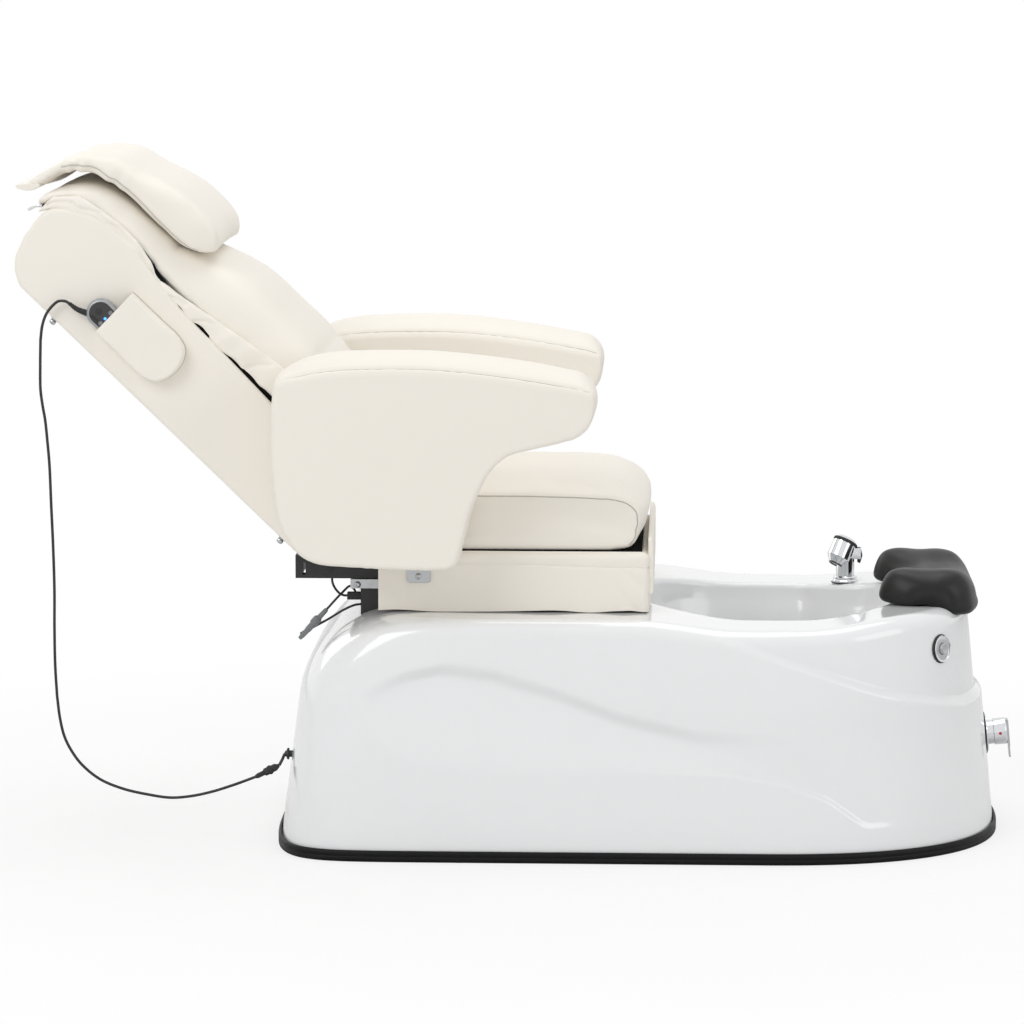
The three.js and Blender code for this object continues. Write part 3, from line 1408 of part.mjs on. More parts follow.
/** Padded armrest: a thick shaped panel with rounded edges and a crowned top. */
function makeArm(side) {
  const flat = ARM_OUTLINE.map(([x, z]) => [x, z]);
  const rings = [
    [0, 8, 0],
    [0.03, 3, 0.08],
    [0.1, 0, 0.35],
    [0.27, 0, 0.8],
    [0.5, 0, 1],
    [0.73, 0, 0.8],
    [0.9, 0, 0.35],
    [0.97, 3, 0.08],
    [1, 8, 0],
  ];
  const innerY = SEAT_BASE_HALF_Y + ARM_BRACKET + 2 * GAP;
  return skin(
    rings.map(([share, inset, crown]) =>
      inward(flat, inset).map(
        ([x, z], i) =>
          new THREE.Vector3(
            x,
            side * (innerY + share * ARM_THICKNESS),
            z + crown * ARM_CROWN * ARM_OUTLINE[i][2],
          ),
      ),
    ),
  );
}

for (const [name, side] of [
  ["near", -1],
  ["far", 1],
]) {
  piece(seat, `arm_${name}`, makeArm(side), "ivoryHide");
  const inner = side * (SEAT_BASE_HALF_Y + GAP);
  const outer = side * (SEAT_BASE_HALF_Y + GAP + ARM_BRACKET);
  const plate = block(...ARM_BRACKET_X, Math.min(inner, outer), Math.max(inner, outer), ...ARM_BRACKET_Z);
  piece(seat, `arm_bracket_${name}`, plate, "blackSteel");
}

// ---------- Recline actuator ----------

const radians = THREE.MathUtils.degToRad;
const LEVER_PIN_X = HINGE_X + LEVER_LENGTH * Math.sin(radians(LEVER_LEAD_DEG));
const LEVER_PIN_Z = HINGE_Z - LEVER_LENGTH * Math.cos(radians(LEVER_LEAD_DEG));
const ACTUATOR_BORE = ACTUATOR_ROD_RADIUS + GAP;
const ACTUATOR_REAR_X = LEVER_PIN_X + 50;

/** Actuator tube under the seat pan, hung from it by a block, bored from the rear for its rod. */
const actuatorBody = join(
  rod([ACTUATOR_REAR_X, 0, LEVER_PIN_Z], [ACTUATOR_FRONT_X, 0, LEVER_PIN_Z], ACTUATOR_RADIUS),
  block(...ACTUATOR_HANGER_X, -10, 10, LEVER_PIN_Z, BEAM_TOP_Z - SHEET - GAP),
).subtract(
  rod([ACTUATOR_REAR_X - 5, 0, LEVER_PIN_Z], [ACTUATOR_HANGER_X[0], 0, LEVER_PIN_Z], ACTUATOR_BORE),
);
piece(seat, "actuator_body", actuatorBody, "blackPlastic");

/** Actuator rod with a fork round the back's lever; the pin that would join them is left open. */
const fork = block(
  LEVER_PIN_X - 8,
  LEVER_PIN_X + 20,
  -FORK_HALF_Y,
  FORK_HALF_Y,
  LEVER_PIN_Z - 8,
  LEVER_PIN_Z + 8,
);
const forkSlot = block(
  LEVER_PIN_X - 20,
  LEVER_PIN_X + 14,
  -FORK_SLOT_HALF_Y,
  FORK_SLOT_HALF_Y,
  LEVER_PIN_Z - 20,
  LEVER_PIN_Z + 20,
);
const actuatorRod = join(
  rod([LEVER_PIN_X + 14, 0, LEVER_PIN_Z], [ACTUATOR_ROD_FRONT_X, 0, LEVER_PIN_Z], ACTUATOR_ROD_RADIUS),
  fork.subtract(forkSlot),
);
piece(chair, "actuator_rod", actuatorRod, "zincSteel");

// ---------- Back ----------

// The back's own frame has its origin on the hinge, x toward the sitter and z up the back.
const back = new THREE.Group();
back.position.set(HINGE_X, 0, HINGE_Z);
back.rotation.y = -radians(RECLINE_DEG);
chair.add(back);

// Side outline of the back's shell, from its rear lower corner up over the top and down in front.
const SHELL_OUTLINE = [
  [-11, 48],
  [-11, 690],
  [3, 714],
  [21, 729],
  [56, 741],
  [97, 746],
  [120, 741.5],
  [142, 717],
  [164, 678],
  [170, 649],
  [170, 587],
  [156, 520],
  [149.5, 460],
  [148, 407],
  [147, 353],
  [143, 253],
  [143, 128],
  [90, 128],
  [40, 60],
];
const SHELL_OPEN = [134, 600]; // the window in the shell's front, from its lower end up
const SHELL_OPEN_REAR = 100; // between the hollow and the front faces
const SHELL_OPEN_FRONT = 300; // beyond the front faces
const SHELL_NOTCH = [20, 100]; // the slots for rails and lever, along the shell
const LEVER_TOP = 110;
const RAIL_LOW = -14;
const RAIL_HIGH = 690;
const RAIL_REAR = 2;

/** Back shell: a hollow upholstered tray with a window in front and notches for rails and lever. */
function makeShell() {
  const inset = (distance) => inward(SHELL_OUTLINE, distance);
  const ring = (y, distance) => inset(distance).map(([x, z]) => new THREE.Vector3(x, y, z));
  const outside = skin([
    ring(-BACK_HALF_Y, 5),
    ring(-BACK_HALF_Y + 2, 1.5),
    ring(-BACK_HALF_Y + 6, 0),
    ring(BACK_HALF_Y - 6, 0),
    ring(BACK_HALF_Y - 2, 1.5),
    ring(BACK_HALF_Y, 5),
  ]);
  const insideHalf = BACK_HALF_Y - SHELL_WALL;
  const inside = slab(inset(SHELL_WALL), -insideHalf, insideHalf);
  const window = block(SHELL_OPEN_REAR, SHELL_OPEN_FRONT, -insideHalf, insideHalf, ...SHELL_OPEN);
  const railIn = BACK_RAIL_Y - BACK_RAIL_THICKNESS / 2 - 2;
  const railOut = BACK_RAIL_Y + BACK_RAIL_THICKNESS / 2 + 2;
  const railNotches = pairOfBlocks(
    0,
    RAIL_REAR + BACK_RAIL_DEPTH + 3,
    railIn,
    railOut,
    ...SHELL_NOTCH,
  );
  const leverNotch = block(-20, 42, -7, 7, ...SHELL_NOTCH);
  return outside.subtract(inside).subtract(window).subtract(railNotches).subtract(leverNotch);
}

piece(back, "back_shell", makeShell(), "ivoryHide");

/** Back frame: two flat rails with hinge lugs, two ties, and the lever the actuator pushes. */
function makeBackFrame() {
  const inner = BACK_RAIL_Y - BACK_RAIL_THICKNESS / 2;
  const outer = BACK_RAIL_Y + BACK_RAIL_THICKNESS / 2;
  const front = RAIL_REAR + BACK_RAIL_DEPTH;
  const rails = pairOfBlocks(RAIL_REAR, front, inner, outer, RAIL_LOW + 14, RAIL_HIGH);
  const lugs = [-1, 1].map((side) => rod([0, side * inner, 0], [0, side * outer, 0], LUG_RADIUS, LUG_RADIUS, 24));
  const arms = pairOfBlocks(-LUG_RADIUS + 2, front, inner, outer, 0, 26);
  const ties = [90, RAIL_HIGH - 20].map((z) => block(RAIL_REAR, RAIL_REAR + 20, -outer, outer, z, z + 20));
  const leverAngle = radians(RECLINE_DEG - LEVER_LEAD_DEG);
  const [pinX, pinZ] = [-LEVER_LENGTH * Math.sin(leverAngle), -LEVER_LENGTH * Math.cos(leverAngle)];
  const lever = slab(
    [
      [RAIL_REAR, LEVER_TOP],
      [RAIL_REAR, 14],
      [pinX - 7, pinZ + 6],
      [pinX - 6, pinZ - 5],
      [pinX, pinZ - 9],
      [pinX + 7, pinZ - 6],
      [20, 4],
      [22, LEVER_TOP],
    ],
    -4,
    4,
  );
  const bores = pairOfRods(HINGE_PIN_RADIUS + GAP, inner - 1, outer + 1);
  return join(rails, ...lugs, arms, ...ties, lever).subtract(bores);
}

/** Rods through both sides on the hinge's axis, in the back's own frame. */
function pairOfRods(radius, y0, y1) {
  return join(rod([0, y0, 0], [0, y1, 0], radius), rod([0, -y1, 0], [0, -y0, 0], radius));
}

piece(back, "back_frame", makeBackFrame(), "blackSteel");

// Side outline of the back pad: x, z, and how far the crown pushes that point toward the sitter.
const PAD_OUTLINE = [
  [100, 752, 0],
  [103, 766, 0],
  [146, 748, 16],
  [168, 720, 23],
  [179, 670, 30],
  [180, 600, 33],
  [172, 546, 40],
  [162, 486, 72],
  [172, 404, 84],
  [184, 325, 73],
  [196, 230, 54],
  [197, 150, 32],
  [186, 130, 10],
  [150, 130, 0],
  [152, 407, 0],
  [154, 460, 0],
  [160.5, 519, 0],
  [174.5, 585, 0],
  [174.5, 650, 0],
  [168, 681, 0],
  [145, 721, 0],
  [122, 746, 0],
];

/** Back pad: one cushion over the whole front of the back, fullest at the lumbar. */
function makeBackPad() {
  const shares = [-1, -0.97, -0.86, -0.6, -0.25, 0.25, 0.6, 0.86, 0.97, 1];
  return skin(
    shares.map((share) => {
      const crown = Math.sqrt(1 - Math.abs(share) ** 4);
      return PAD_OUTLINE.map(([x, z, push]) => new THREE.Vector3(x + push * crown, share * PAD_HALF_Y, z));
    }),
  );
}

piece(back, "back_pad", makeBackPad(), "ivoryHide");

// Side outline of the head pillow and of the flap that hangs it over the top of the back: x, z, and
// how far that point draws in toward the pillow's middle at its two ends.
const PILLOW_OUTLINE = [
  [250, 480, 1],
  [277, 494, 1],
  [292, 525, 1],
  [295, 565, 1],
  [290, 615, 1],
  [273, 670, 0.8],
  [257, 720, 0.5],
  [234, 752, 0.2],
  [206, 775, 0],
  [172, 790, 0],
  [106, 802, 0],
  [79, 821, 0],
  [80, 811, 0],
  [110, 790, 0],
  [127.7, 779.8, 0],
  [170, 777.6, 0],
  [195, 758.8, 0],
  [213.8, 718.3, 0],
  [218.7, 664.4, 0],
  [217.6, 583.8, 0],
  [226, 512, 0],
];
const PILLOW_MIDDLE = [234, 620];

/** Head pillow: a soft roll in front of the pad, with a flap over the top of the back. */
function makePillow() {
  const rings = [
    [-1, 0.32],
    [-0.975, 0.16],
    [-0.9, 0.05],
    [-0.7, 0],
    [-0.35, 0],
    [0, 0],
    [0.35, 0],
    [0.7, 0],
    [0.9, 0.05],
    [0.975, 0.16],
    [1, 0.32],
  ];
  const [middleX, middleZ] = PILLOW_MIDDLE;
  return skin(
    rings.map(([share, drawn]) =>
      PILLOW_OUTLINE.map(([x, z, weight]) => {
        const by = drawn * weight;
        return new THREE.Vector3(x + (middleX - x) * by, share * PILLOW_HALF_Y, z + (middleZ - z) * by);
      }),
    ),
  );
}

piece(back, "head_pillow", makePillow(), "ivoryHide");

// ---------- Massage carriage ----------

const CARRIAGE_HALF_Y = BACK_RAIL_Y - BACK_RAIL_THICKNESS / 2 - 4;
const carriageMiddle = CARRIAGE_LOW + CARRIAGE_LENGTH / 2;
const WHEEL_X = 104;
const AXLE_RADIUS = 5;

/** Carriage plate across the back's hollow, its motor block, and an axle out of each side. */
const carriage = join(
  block(40, 52, -CARRIAGE_HALF_Y, CARRIAGE_HALF_Y, CARRIAGE_LOW, CARRIAGE_LOW + CARRIAGE_LENGTH),
  block(51, WHEEL_X + 14, -38, 38, CARRIAGE_LOW + 20, CARRIAGE_LOW + CARRIAGE_LENGTH - 20),
  rod(
    [WHEEL_X, -WHEEL_Y - WHEEL_WIDTH / 2 - 5, carriageMiddle],
    [WHEEL_X, WHEEL_Y + WHEEL_WIDTH / 2 + 5, carriageMiddle],
    AXLE_RADIUS,
  ),
);
piece(back, "massage_carriage", carriage, "greyPlastic");

for (const [name, side] of [
  ["near", -1],
  ["far", 1],
]) {
  const inner = side * (WHEEL_Y - WHEEL_WIDTH / 2);
  const outer = side * (WHEEL_Y + WHEEL_WIDTH / 2);
  const wheel = turned(
    [
      [0, 0],
      [WHEEL_RADIUS - 8, 0],
      [WHEEL_RADIUS, 8],
      [WHEEL_RADIUS, WHEEL_WIDTH - 8],
      [WHEEL_RADIUS - 8, WHEEL_WIDTH],
      [0, WHEEL_WIDTH],
    ],
    [WHEEL_X, inner, carriageMiddle],
    [0, side, 0],
  ).subtract(
    rod([WHEEL_X, inner - side, carriageMiddle], [WHEEL_X, outer + side, carriageMiddle], AXLE_RADIUS + GAP),
  );
  piece(back, `kneading_wheel_${name}`, wheel, "blackRubber");
}

// ---------- Side pocket and handset ----------

const POCKET_OUTLINE = [
  [0, POCKET_HIGH],
  [0, POCKET_LOW + 37],
  [8, POCKET_LOW + 15],
  [26, POCKET_LOW + 3],
  [62, POCKET_LOW],
  [82, POCKET_LOW + 5],
  [POCKET_WIDTH, POCKET_LOW + 19],
  [POCKET_WIDTH, POCKET_HIGH],
].map(([x, z]) => [x + POCKET_REAR, z]);

/** Open-topped pocket on the near side of the shell. */
function makePocket() {
  const inner = -BACK_HALF_Y - GAP;
  const outer = inner - POCKET_DEPTH;
  const cavity = slab(
    inward(POCKET_OUTLINE, POCKET_CLOTH).map(([x, z], i, all) => {
      const open = i === 0 || i === all.length - 1;
      return [x, open ? POCKET_HIGH + 10 : z];
    }),
    outer + POCKET_CLOTH,
    inner - POCKET_CLOTH,
  );
  return slab(POCKET_OUTLINE, outer, inner).subtract(cavity);
}

piece(back, "side_pocket", makePocket(), "ivoryHide");

const HANDSET_Y = -BACK_HALF_Y - GAP - POCKET_CLOTH - 1;
const HANDSET_FRONT = HANDSET_REAR + HANDSET_WIDTH;
const BUTTON_AT = [(HANDSET_REAR + HANDSET_FRONT) / 2, HANDSET_HIGH - HANDSET_BUTTON_BELOW];
const RELIEF_END = [HANDSET_REAR - 2, HANDSET_HIGH + 25];

/** Handset: a rounded slim case with a strain relief where its cord leaves. */
function makeHandset() {
  const corner = 9;
  const outline = [
    [HANDSET_REAR + corner, HANDSET_LOW],
    [HANDSET_FRONT - corner, HANDSET_LOW],
    [HANDSET_FRONT, HANDSET_LOW + corner],
    [HANDSET_FRONT, HANDSET_HIGH - corner],
    [HANDSET_FRONT - corner, HANDSET_HIGH],
    [HANDSET_REAR + corner, HANDSET_HIGH],
    [HANDSET_REAR, HANDSET_HIGH - corner],
    [HANDSET_REAR, HANDSET_LOW + corner],
  ];
  const ring = (y, distance) => inward(outline, distance).map(([x, z]) => new THREE.Vector3(x, y, z));
  const inner = HANDSET_Y;
  const outer = HANDSET_Y - HANDSET_THICKNESS;
  const shell = skin([ring(outer, 3), ring(outer + 3, 0), ring(inner - 3, 0), ring(inner, 3)]);
  const middleY = (inner + outer) / 2;
  const relief = rod(
    [HANDSET_REAR + 8, middleY, HANDSET_HIGH - 4],
    [RELIEF_END[0], middleY, RELIEF_END[1]],
    5,
    CORD_RADIUS + 0.8,
    16,
  );
  const buttonWell = rod(
    [BUTTON_AT[0], outer - 1, BUTTON_AT[1]],
    [BUTTON_AT[0], outer + HANDSET_WELL, BUTTON_AT[1]],
    HANDSET_BUTTON_RADIUS + GAP,
  );
  return join(shell, relief).subtract(buttonWell);
}

piece(back, "handset", makeHandset(), "greyPlastic");
const handsetOuterY = HANDSET_Y - HANDSET_THICKNESS;
piece(
  back,
  "handset_button",
  rod(
    [BUTTON_AT[0], handsetOuterY + HANDSET_WELL - HANDSET_BUTTON_TRAVEL - GAP, BUTTON_AT[1]],
    [BUTTON_AT[0], handsetOuterY - HANDSET_BUTTON_TRAVEL - GAP, BUTTON_AT[1]],
    HANDSET_BUTTON_RADIUS,
  ),
  "blackPlastic",
);

// ---------- Cords ----------

back.updateMatrix();

/** A point of the back's own frame, in the chair's. */
const fromBack = (x, y, z) => new THREE.Vector3(x, y, z).applyMatrix4(back.matrix);

const reliefRoot = fromBack(HANDSET_REAR + 8, 0, HANDSET_HIGH - 4);
const reliefTip = fromBack(RELIEF_END[0], HANDSET_Y - HANDSET_THICKNESS / 2, RELIEF_END[1]);
const reliefWay = reliefTip.clone().setY(0).sub(reliefRoot).normalize();

/** A point a distance on from another, toward a third. */
function toward(from, to, distance) {
  const way = new THREE.Vector3(...to).sub(new THREE.Vector3(...from)).normalize();
  return new THREE.Vector3(...from).addScaledVector(way, distance).toArray();
}

// The handset's cord, from the handset down behind the back and round to the tub. It is in three
// lengths: one rides with the handset, one with the seat, and the lowest one stays with the tub.
const CORD_Y = -BACK_HALF_Y - 14; // beside the back
const CORD_HANG_X = -776; // where the cord hangs, behind the back
const CORD_UPPER = [
  reliefTip.clone().addScaledVector(reliefWay, GAP).toArray(),
  reliefTip.clone().addScaledVector(reliefWay, 8).toArray(),
  [-764, CORD_Y, 919],
  [CORD_HANG_X, CORD_Y, 909],
  [-785, CORD_Y, 896],
  [-791, CORD_Y - 1, 878],
  [-794, CORD_Y - 2, 855],
];
const CORD_MIDDLE = [
  [-794, CORD_Y - 2, 855],
  [-795, CORD_Y - 3, 813],
  [-795, CORD_Y - 4, 772],
  [-792, CORD_Y - 4, 746],
  [-788, CORD_Y - 4, 721],
  [-785, CORD_Y - 4, 688],
  [-782, CORD_Y - 4, 647],
  [-780, CORD_Y - 4, 578],
  [-778, CORD_Y - 3, 509],
  [-777, CORD_Y - 2, 434],
  [-778, CORD_Y - 1, 370],
  [-778, CORD_Y + 1, 306],
  [CORD_HANG_X, CORD_Y + 4, 253],
];
const glandX = rearWallX(GLAND_Z);

// The lower length crosses from where the cord hangs to its connector near the tub's rear wall: each
// point is a share of the way there, its distance across from the gland, and its height.
const CONNECTOR_TIP_X = glandX - 57;
const CORD_LOWER = [
  [0, -57, 253],
  [0.0121, -55, 215],
  [0.0333, -52, 182],
  [0.0697, -49, 156],
  [0.1182, -45, 133],
  [0.206, -41, 108],
  [0.3212, -37, 91],
  [0.4485, -31, 80],
  [0.5636, -27, 74],
  [0.6666, -23, 76],
  [0.7727, -19, 83],
  [0.8908, -15, 95],
  [1, -11, 108],
].map(([share, aside, z]) => [CORD_HANG_X + share * (CONNECTOR_TIP_X - CORD_HANG_X), GLAND_Y + aside, z]);
const CONNECTOR_TIP = [...CORD_LOWER.at(-1)];
const CONNECTOR_END = [glandX - 18, GLAND_Y - 7, 127];
CORD_LOWER[0] = CORD_MIDDLE.at(-1);
const GLAND_TIP = toward(CONNECTOR_END, CONNECTOR_TIP, -GAP);
const GLAND_BEND = toward(CONNECTOR_END, CONNECTOR_TIP, -8);

CORD_MIDDLE[0] = toward(CORD_MIDDLE[0], CORD_MIDDLE[1], GAP);
CORD_LOWER[0] = toward(CORD_LOWER[0], CORD_LOWER[1], GAP);
CORD_LOWER[CORD_LOWER.length - 1] = toward(CORD_LOWER.at(-1), CORD_LOWER.at(-2), GAP);
piece(chair, "cord_upper", tube(CORD_UPPER, CORD_RADIUS, CORD_SIDES, 3), "blackRubber");
piece(chair, "cord_middle", tube(CORD_MIDDLE, CORD_RADIUS, CORD_SIDES, 1), "blackRubber");
piece(chair, "cord_lower", tube(CORD_LOWER, CORD_RADIUS, CORD_SIDES, 1), "blackRubber");

/** In-line connector of the cord, thickest at its joint ring. */
const connectorLength = new THREE.Vector3(...CONNECTOR_TIP).distanceTo(new THREE.Vector3(...CONNECTOR_END));
const connectorWay = new THREE.Vector3(...CONNECTOR_END).sub(new THREE.Vector3(...CONNECTOR_TIP)).toArray();
const connector = turned(
  [
    [0, 0],
    [3.2, 0],
    [4.6, connectorLength * 0.3],
    [6, connectorLength * 0.34],
    [8, connectorLength * 0.42],
    [8, connectorLength * 0.62],
    [6.4, connectorLength * 0.66],
    [6, connectorLength],
    [0, connectorLength],
  ],
  CONNECTOR_TIP,
  connectorWay,
  16,
);
piece(chair, "cord_connector", connector, "blackPlastic");

/** Gland in the rear wall: a rubber grommet and the short stub of cord that leaves it. */
const STUB_RADIUS = 4.4;
const gland = join(
  rod([glandX - 14, GLAND_Y, GLAND_Z], [glandX + 14, GLAND_Y, GLAND_Z], GLAND_RADIUS + 4).subtract(clearOfTub),
  rod([glandX - 8, GLAND_Y, GLAND_Z], [glandX + 16, GLAND_Y, GLAND_Z], GLAND_RADIUS),
  rod(GLAND_TIP, GLAND_BEND, STUB_RADIUS, STUB_RADIUS, 12),
  solid(new THREE.SphereGeometry(STUB_RADIUS, 12, 8).translate(...GLAND_BEND)),
  rod(GLAND_BEND, [glandX - 8, GLAND_Y, GLAND_Z], STUB_RADIUS, STUB_RADIUS, 12),
);
piece(chair, "cord_gland", gland, "blackRubber");

// ---------- Wiring behind the seat ----------

const LEAD_SPACE = 0.6; // from a lead's end to the face it meets, which it meets a little aslant
const tieFaceX = PEDESTAL_REAR_X - LEAD_SPACE;
const LOOP_PLUG = { front: -292, y: -163, z: 414.4, halfWidth: 7, halfHeight: 6 };
const leads = {
  harness_lead_loop: [
    [-317, -170, BEAM_Z - LEAD_SPACE],
    [-317, -169.5, 440],
    [-314, -167, 430],
    [-306, -164, 419],
    [-299, -163, 415],
    [LOOP_PLUG.front - LEAD_SPACE, LOOP_PLUG.y, LOOP_PLUG.z],
  ],
  harness_lead_tail: [
    [tieFaceX, -150, 409],
    [-275, -150, 410],
    [-281, -149, 422],
    [-288, -149, 428.5],
    [-303, -151, 416],
    [-328, -154, 389],
  ],
  harness_lead_return: [
    [tieFaceX, -140, 396],
    [-280, -141, 395],
    [-299, -142, 387],
    [-327, -143, 370],
    [-347, -143, 359],
    [-362, -146, 351],
  ],
};
for (const [name, points] of Object.entries(leads)) {
  piece(chair, name, tube(points, LEAD_RADIUS, CORD_SIDES, 2), "blackRubber");
}

const tailPlug = turned(
  [
    [0, GAP],
    [4, GAP],
    [4.6, 14],
    [7.5, 20],
    [7.5, 34],
    [5.6, 38],
    [4.6, 57],
    [2.6, 59],
    [2.6, 68],
    [0, 68],
  ],
  leads.harness_lead_tail.at(-1),
  [-25, -3, -27],
  14,
);
piece(chair, "harness_plug_tail", tailPlug, "blackPlastic");

const { front: plugX, y: plugY, z: plugZ, halfWidth, halfHeight } = LOOP_PLUG;
piece(
  chair,
  "harness_plug_loop",
  block(plugX, tieFaceX, plugY - halfWidth, plugY + halfWidth, plugZ - halfHeight, plugZ + halfHeight),
  "blackPlastic",
);

// The whole chair stands with the middle of its length over the origin.
const standing = new THREE.Group();
chair.position.x = CENTRE_SHIFT;
standing.add(chair);

export default standing;
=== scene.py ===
"""A reclining salon chair on a moulded foot-spa tub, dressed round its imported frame.

Sizes are millimetres in the chair's own frame: X toward the footrest, Y toward the sitter's left,
Z up. The back has a frame of its own, tilted about its hinge: t toward the sitter, s up the back.
"""

import logging
import math
from collections.abc import Callable, Sequence
from dataclasses import dataclass
from enum import Enum

import bmesh
import bpy
import numpy as np
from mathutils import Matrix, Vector
from mathutils.bvhtree import BVHTree


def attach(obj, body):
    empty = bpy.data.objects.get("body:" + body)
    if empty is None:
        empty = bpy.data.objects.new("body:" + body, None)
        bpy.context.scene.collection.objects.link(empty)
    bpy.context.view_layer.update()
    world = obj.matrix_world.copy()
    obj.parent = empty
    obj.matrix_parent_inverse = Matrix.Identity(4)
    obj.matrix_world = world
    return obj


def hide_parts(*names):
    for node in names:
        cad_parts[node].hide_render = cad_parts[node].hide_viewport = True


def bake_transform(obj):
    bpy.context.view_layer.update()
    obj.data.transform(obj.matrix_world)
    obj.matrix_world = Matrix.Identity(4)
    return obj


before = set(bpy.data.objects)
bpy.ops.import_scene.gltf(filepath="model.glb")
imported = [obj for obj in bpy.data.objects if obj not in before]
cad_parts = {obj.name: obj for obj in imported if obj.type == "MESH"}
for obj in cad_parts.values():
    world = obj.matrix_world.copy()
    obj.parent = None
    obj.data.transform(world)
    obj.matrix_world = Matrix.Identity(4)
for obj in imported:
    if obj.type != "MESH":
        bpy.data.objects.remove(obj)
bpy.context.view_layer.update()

SHIFT_X = 11.0  # from the chair's own X to the row frame's
MM = 0.001
HINGE = (-330.0, 470.0)
RECLINE = math.radians(45.8)
CLOTH_STEPS = 4
CLOTH_MASS = 0.25
CLOTH_STIFFNESS = 12
CLOTH_BENDING = 0.4
LOG = logging.getLogger("salon_chair")

Array = np.ndarray
Points = Sequence[Sequence[float]]


# ---------------------------------------------------------------- places and curves


def to_row(points: Points | Array) -> Array:
    """Chair points in millimetres, as row-frame points in metres.

    Args:
        points: rows of x, y, z.

    Returns:
        The same points, moved and scaled.
    """
    return (np.asarray(points, float) + (SHIFT_X, 0, 0)) * MM


def from_back(local: Points | Array) -> Array:
    """Points of the back's own frame, in the chair's.

    Args:
        local: rows of t, y, s in millimetres.

    Returns:
        Rows of x, y, z in millimetres.
    """
    t, y, s = np.asarray(local, float).T
    x = HINGE[0] - math.sin(RECLINE) * s + math.cos(RECLINE) * t
    z = HINGE[1] + math.cos(RECLINE) * s + math.sin(RECLINE) * t
    return np.stack([x, y, z], axis=-1)


def rise(value: Array | float, low: Array | float, high: Array | float) -> Array:
    """A smooth step from 0 to 1.

    Args:
        value: where to look.
        low: the value at which the step starts.
        high: the value at which it ends.

    Returns:
        The height of the step at each value.
    """
    t = np.clip((np.asarray(value, float) - low) / (np.asarray(high, float) - low), 0, 1)
    return t * t * (3 - 2 * t)


def along(line: Points, x: Array | float) -> Array:
    """The second column of a line of pairs, read off at x."""
    pairs = np.asarray(line, float)
    return np.interp(x, pairs[:, 0], pairs[:, 1])


def spread(points: Array, count: int, closed: bool) -> Array:
    """Points evenly spaced along a polyline.

    Args:
        points: the polyline's corners.
        count: how many points to return.
        closed: whether the line runs back to its start.

    Returns:
        The evenly spaced points.
    """
    path = np.vstack([points, points[:1]]) if closed else points
    run = np.concatenate([[0], np.cumsum(np.linalg.norm(np.diff(path, axis=0), axis=1))])
    at = np.linspace(0, run[-1], count + 1)[:-1] if closed else np.linspace(0, run[-1], count)
    return np.stack([np.interp(at, run, path[:, k]) for k in range(path.shape[1])], axis=-1)


def smooth_line(points: Points | Array, count: int, closed: bool = False) -> Array:
    """A smooth curve through given points, evenly spaced along its length.

    Args:
        points: the points that the curve passes through.
        count: how many points to return.
        closed: whether the curve is a loop.

    Returns:
        An array of count points.
    """
    p = np.asarray(points, float)
    ends = (p[-1:], p[:2]) if closed else (2 * p[:1] - p[1:2], 2 * p[-1:] - p[-2:-1])
    q = np.vstack([ends[0], p, ends[1]])
    dense = []
    for i in range(len(q) - 3):
        a, b, c, d = q[i : i + 4]
        knots = [0.0]
        for u, v in ((a, b), (b, c), (c, d)):
            knots.append(knots[-1] + max(float(np.linalg.norm(v - u)), 1e-6) ** 0.5)
        k = np.array(knots)
        t = np.linspace(k[1], k[2], 24, endpoint=False)[:, None]
        ab = (k[1] - t) / (k[1] - k[0]) * a + (t - k[0]) / (k[1] - k[0]) * b
        bc = (k[2] - t) / (k[2] - k[1]) * b + (t - k[1]) / (k[2] - k[1]) * c
        cd = (k[3] - t) / (k[3] - k[2]) * c + (t - k[2]) / (k[3] - k[2]) * d
        left = (k[2] - t) / (k[2] - k[0]) * ab + (t - k[0]) / (k[2] - k[0]) * bc
        right = (k[3] - t) / (k[3] - k[1]) * bc + (t - k[1]) / (k[3] - k[1]) * cd
        dense.append((k[2] - t) / (k[2] - k[1]) * left + (t - k[1]) / (k[2] - k[1]) * right)
    if not closed:
        dense.append(p[-1:])
    return spread(np.vstack(dense), count, closed)


def inset(outline: Array, distance: Array | float) -> Array:
    """A closed outline moved inward by a distance.

    Args:
        outline: rows of two coordinates.
        distance: how far each point moves, negative for outward.

    Returns:
        The moved outline.
    """
    ahead, behind = np.roll(outline, -1, axis=0), np.roll(outline, 1, axis=0)
    area = float(np.sum(outline[:, 0] * ahead[:, 1] - ahead[:, 0] * outline[:, 1]))
    way = ahead - behind
    way /= np.linalg.norm(way, axis=1)[:, None] + 1e-12
    side = math.copysign(1, area) * np.stack([-way[:, 1], way[:, 0]], axis=-1)
    return outline + side * np.reshape(distance, (-1, 1))


# ---------------------------------------------------------------- meshes


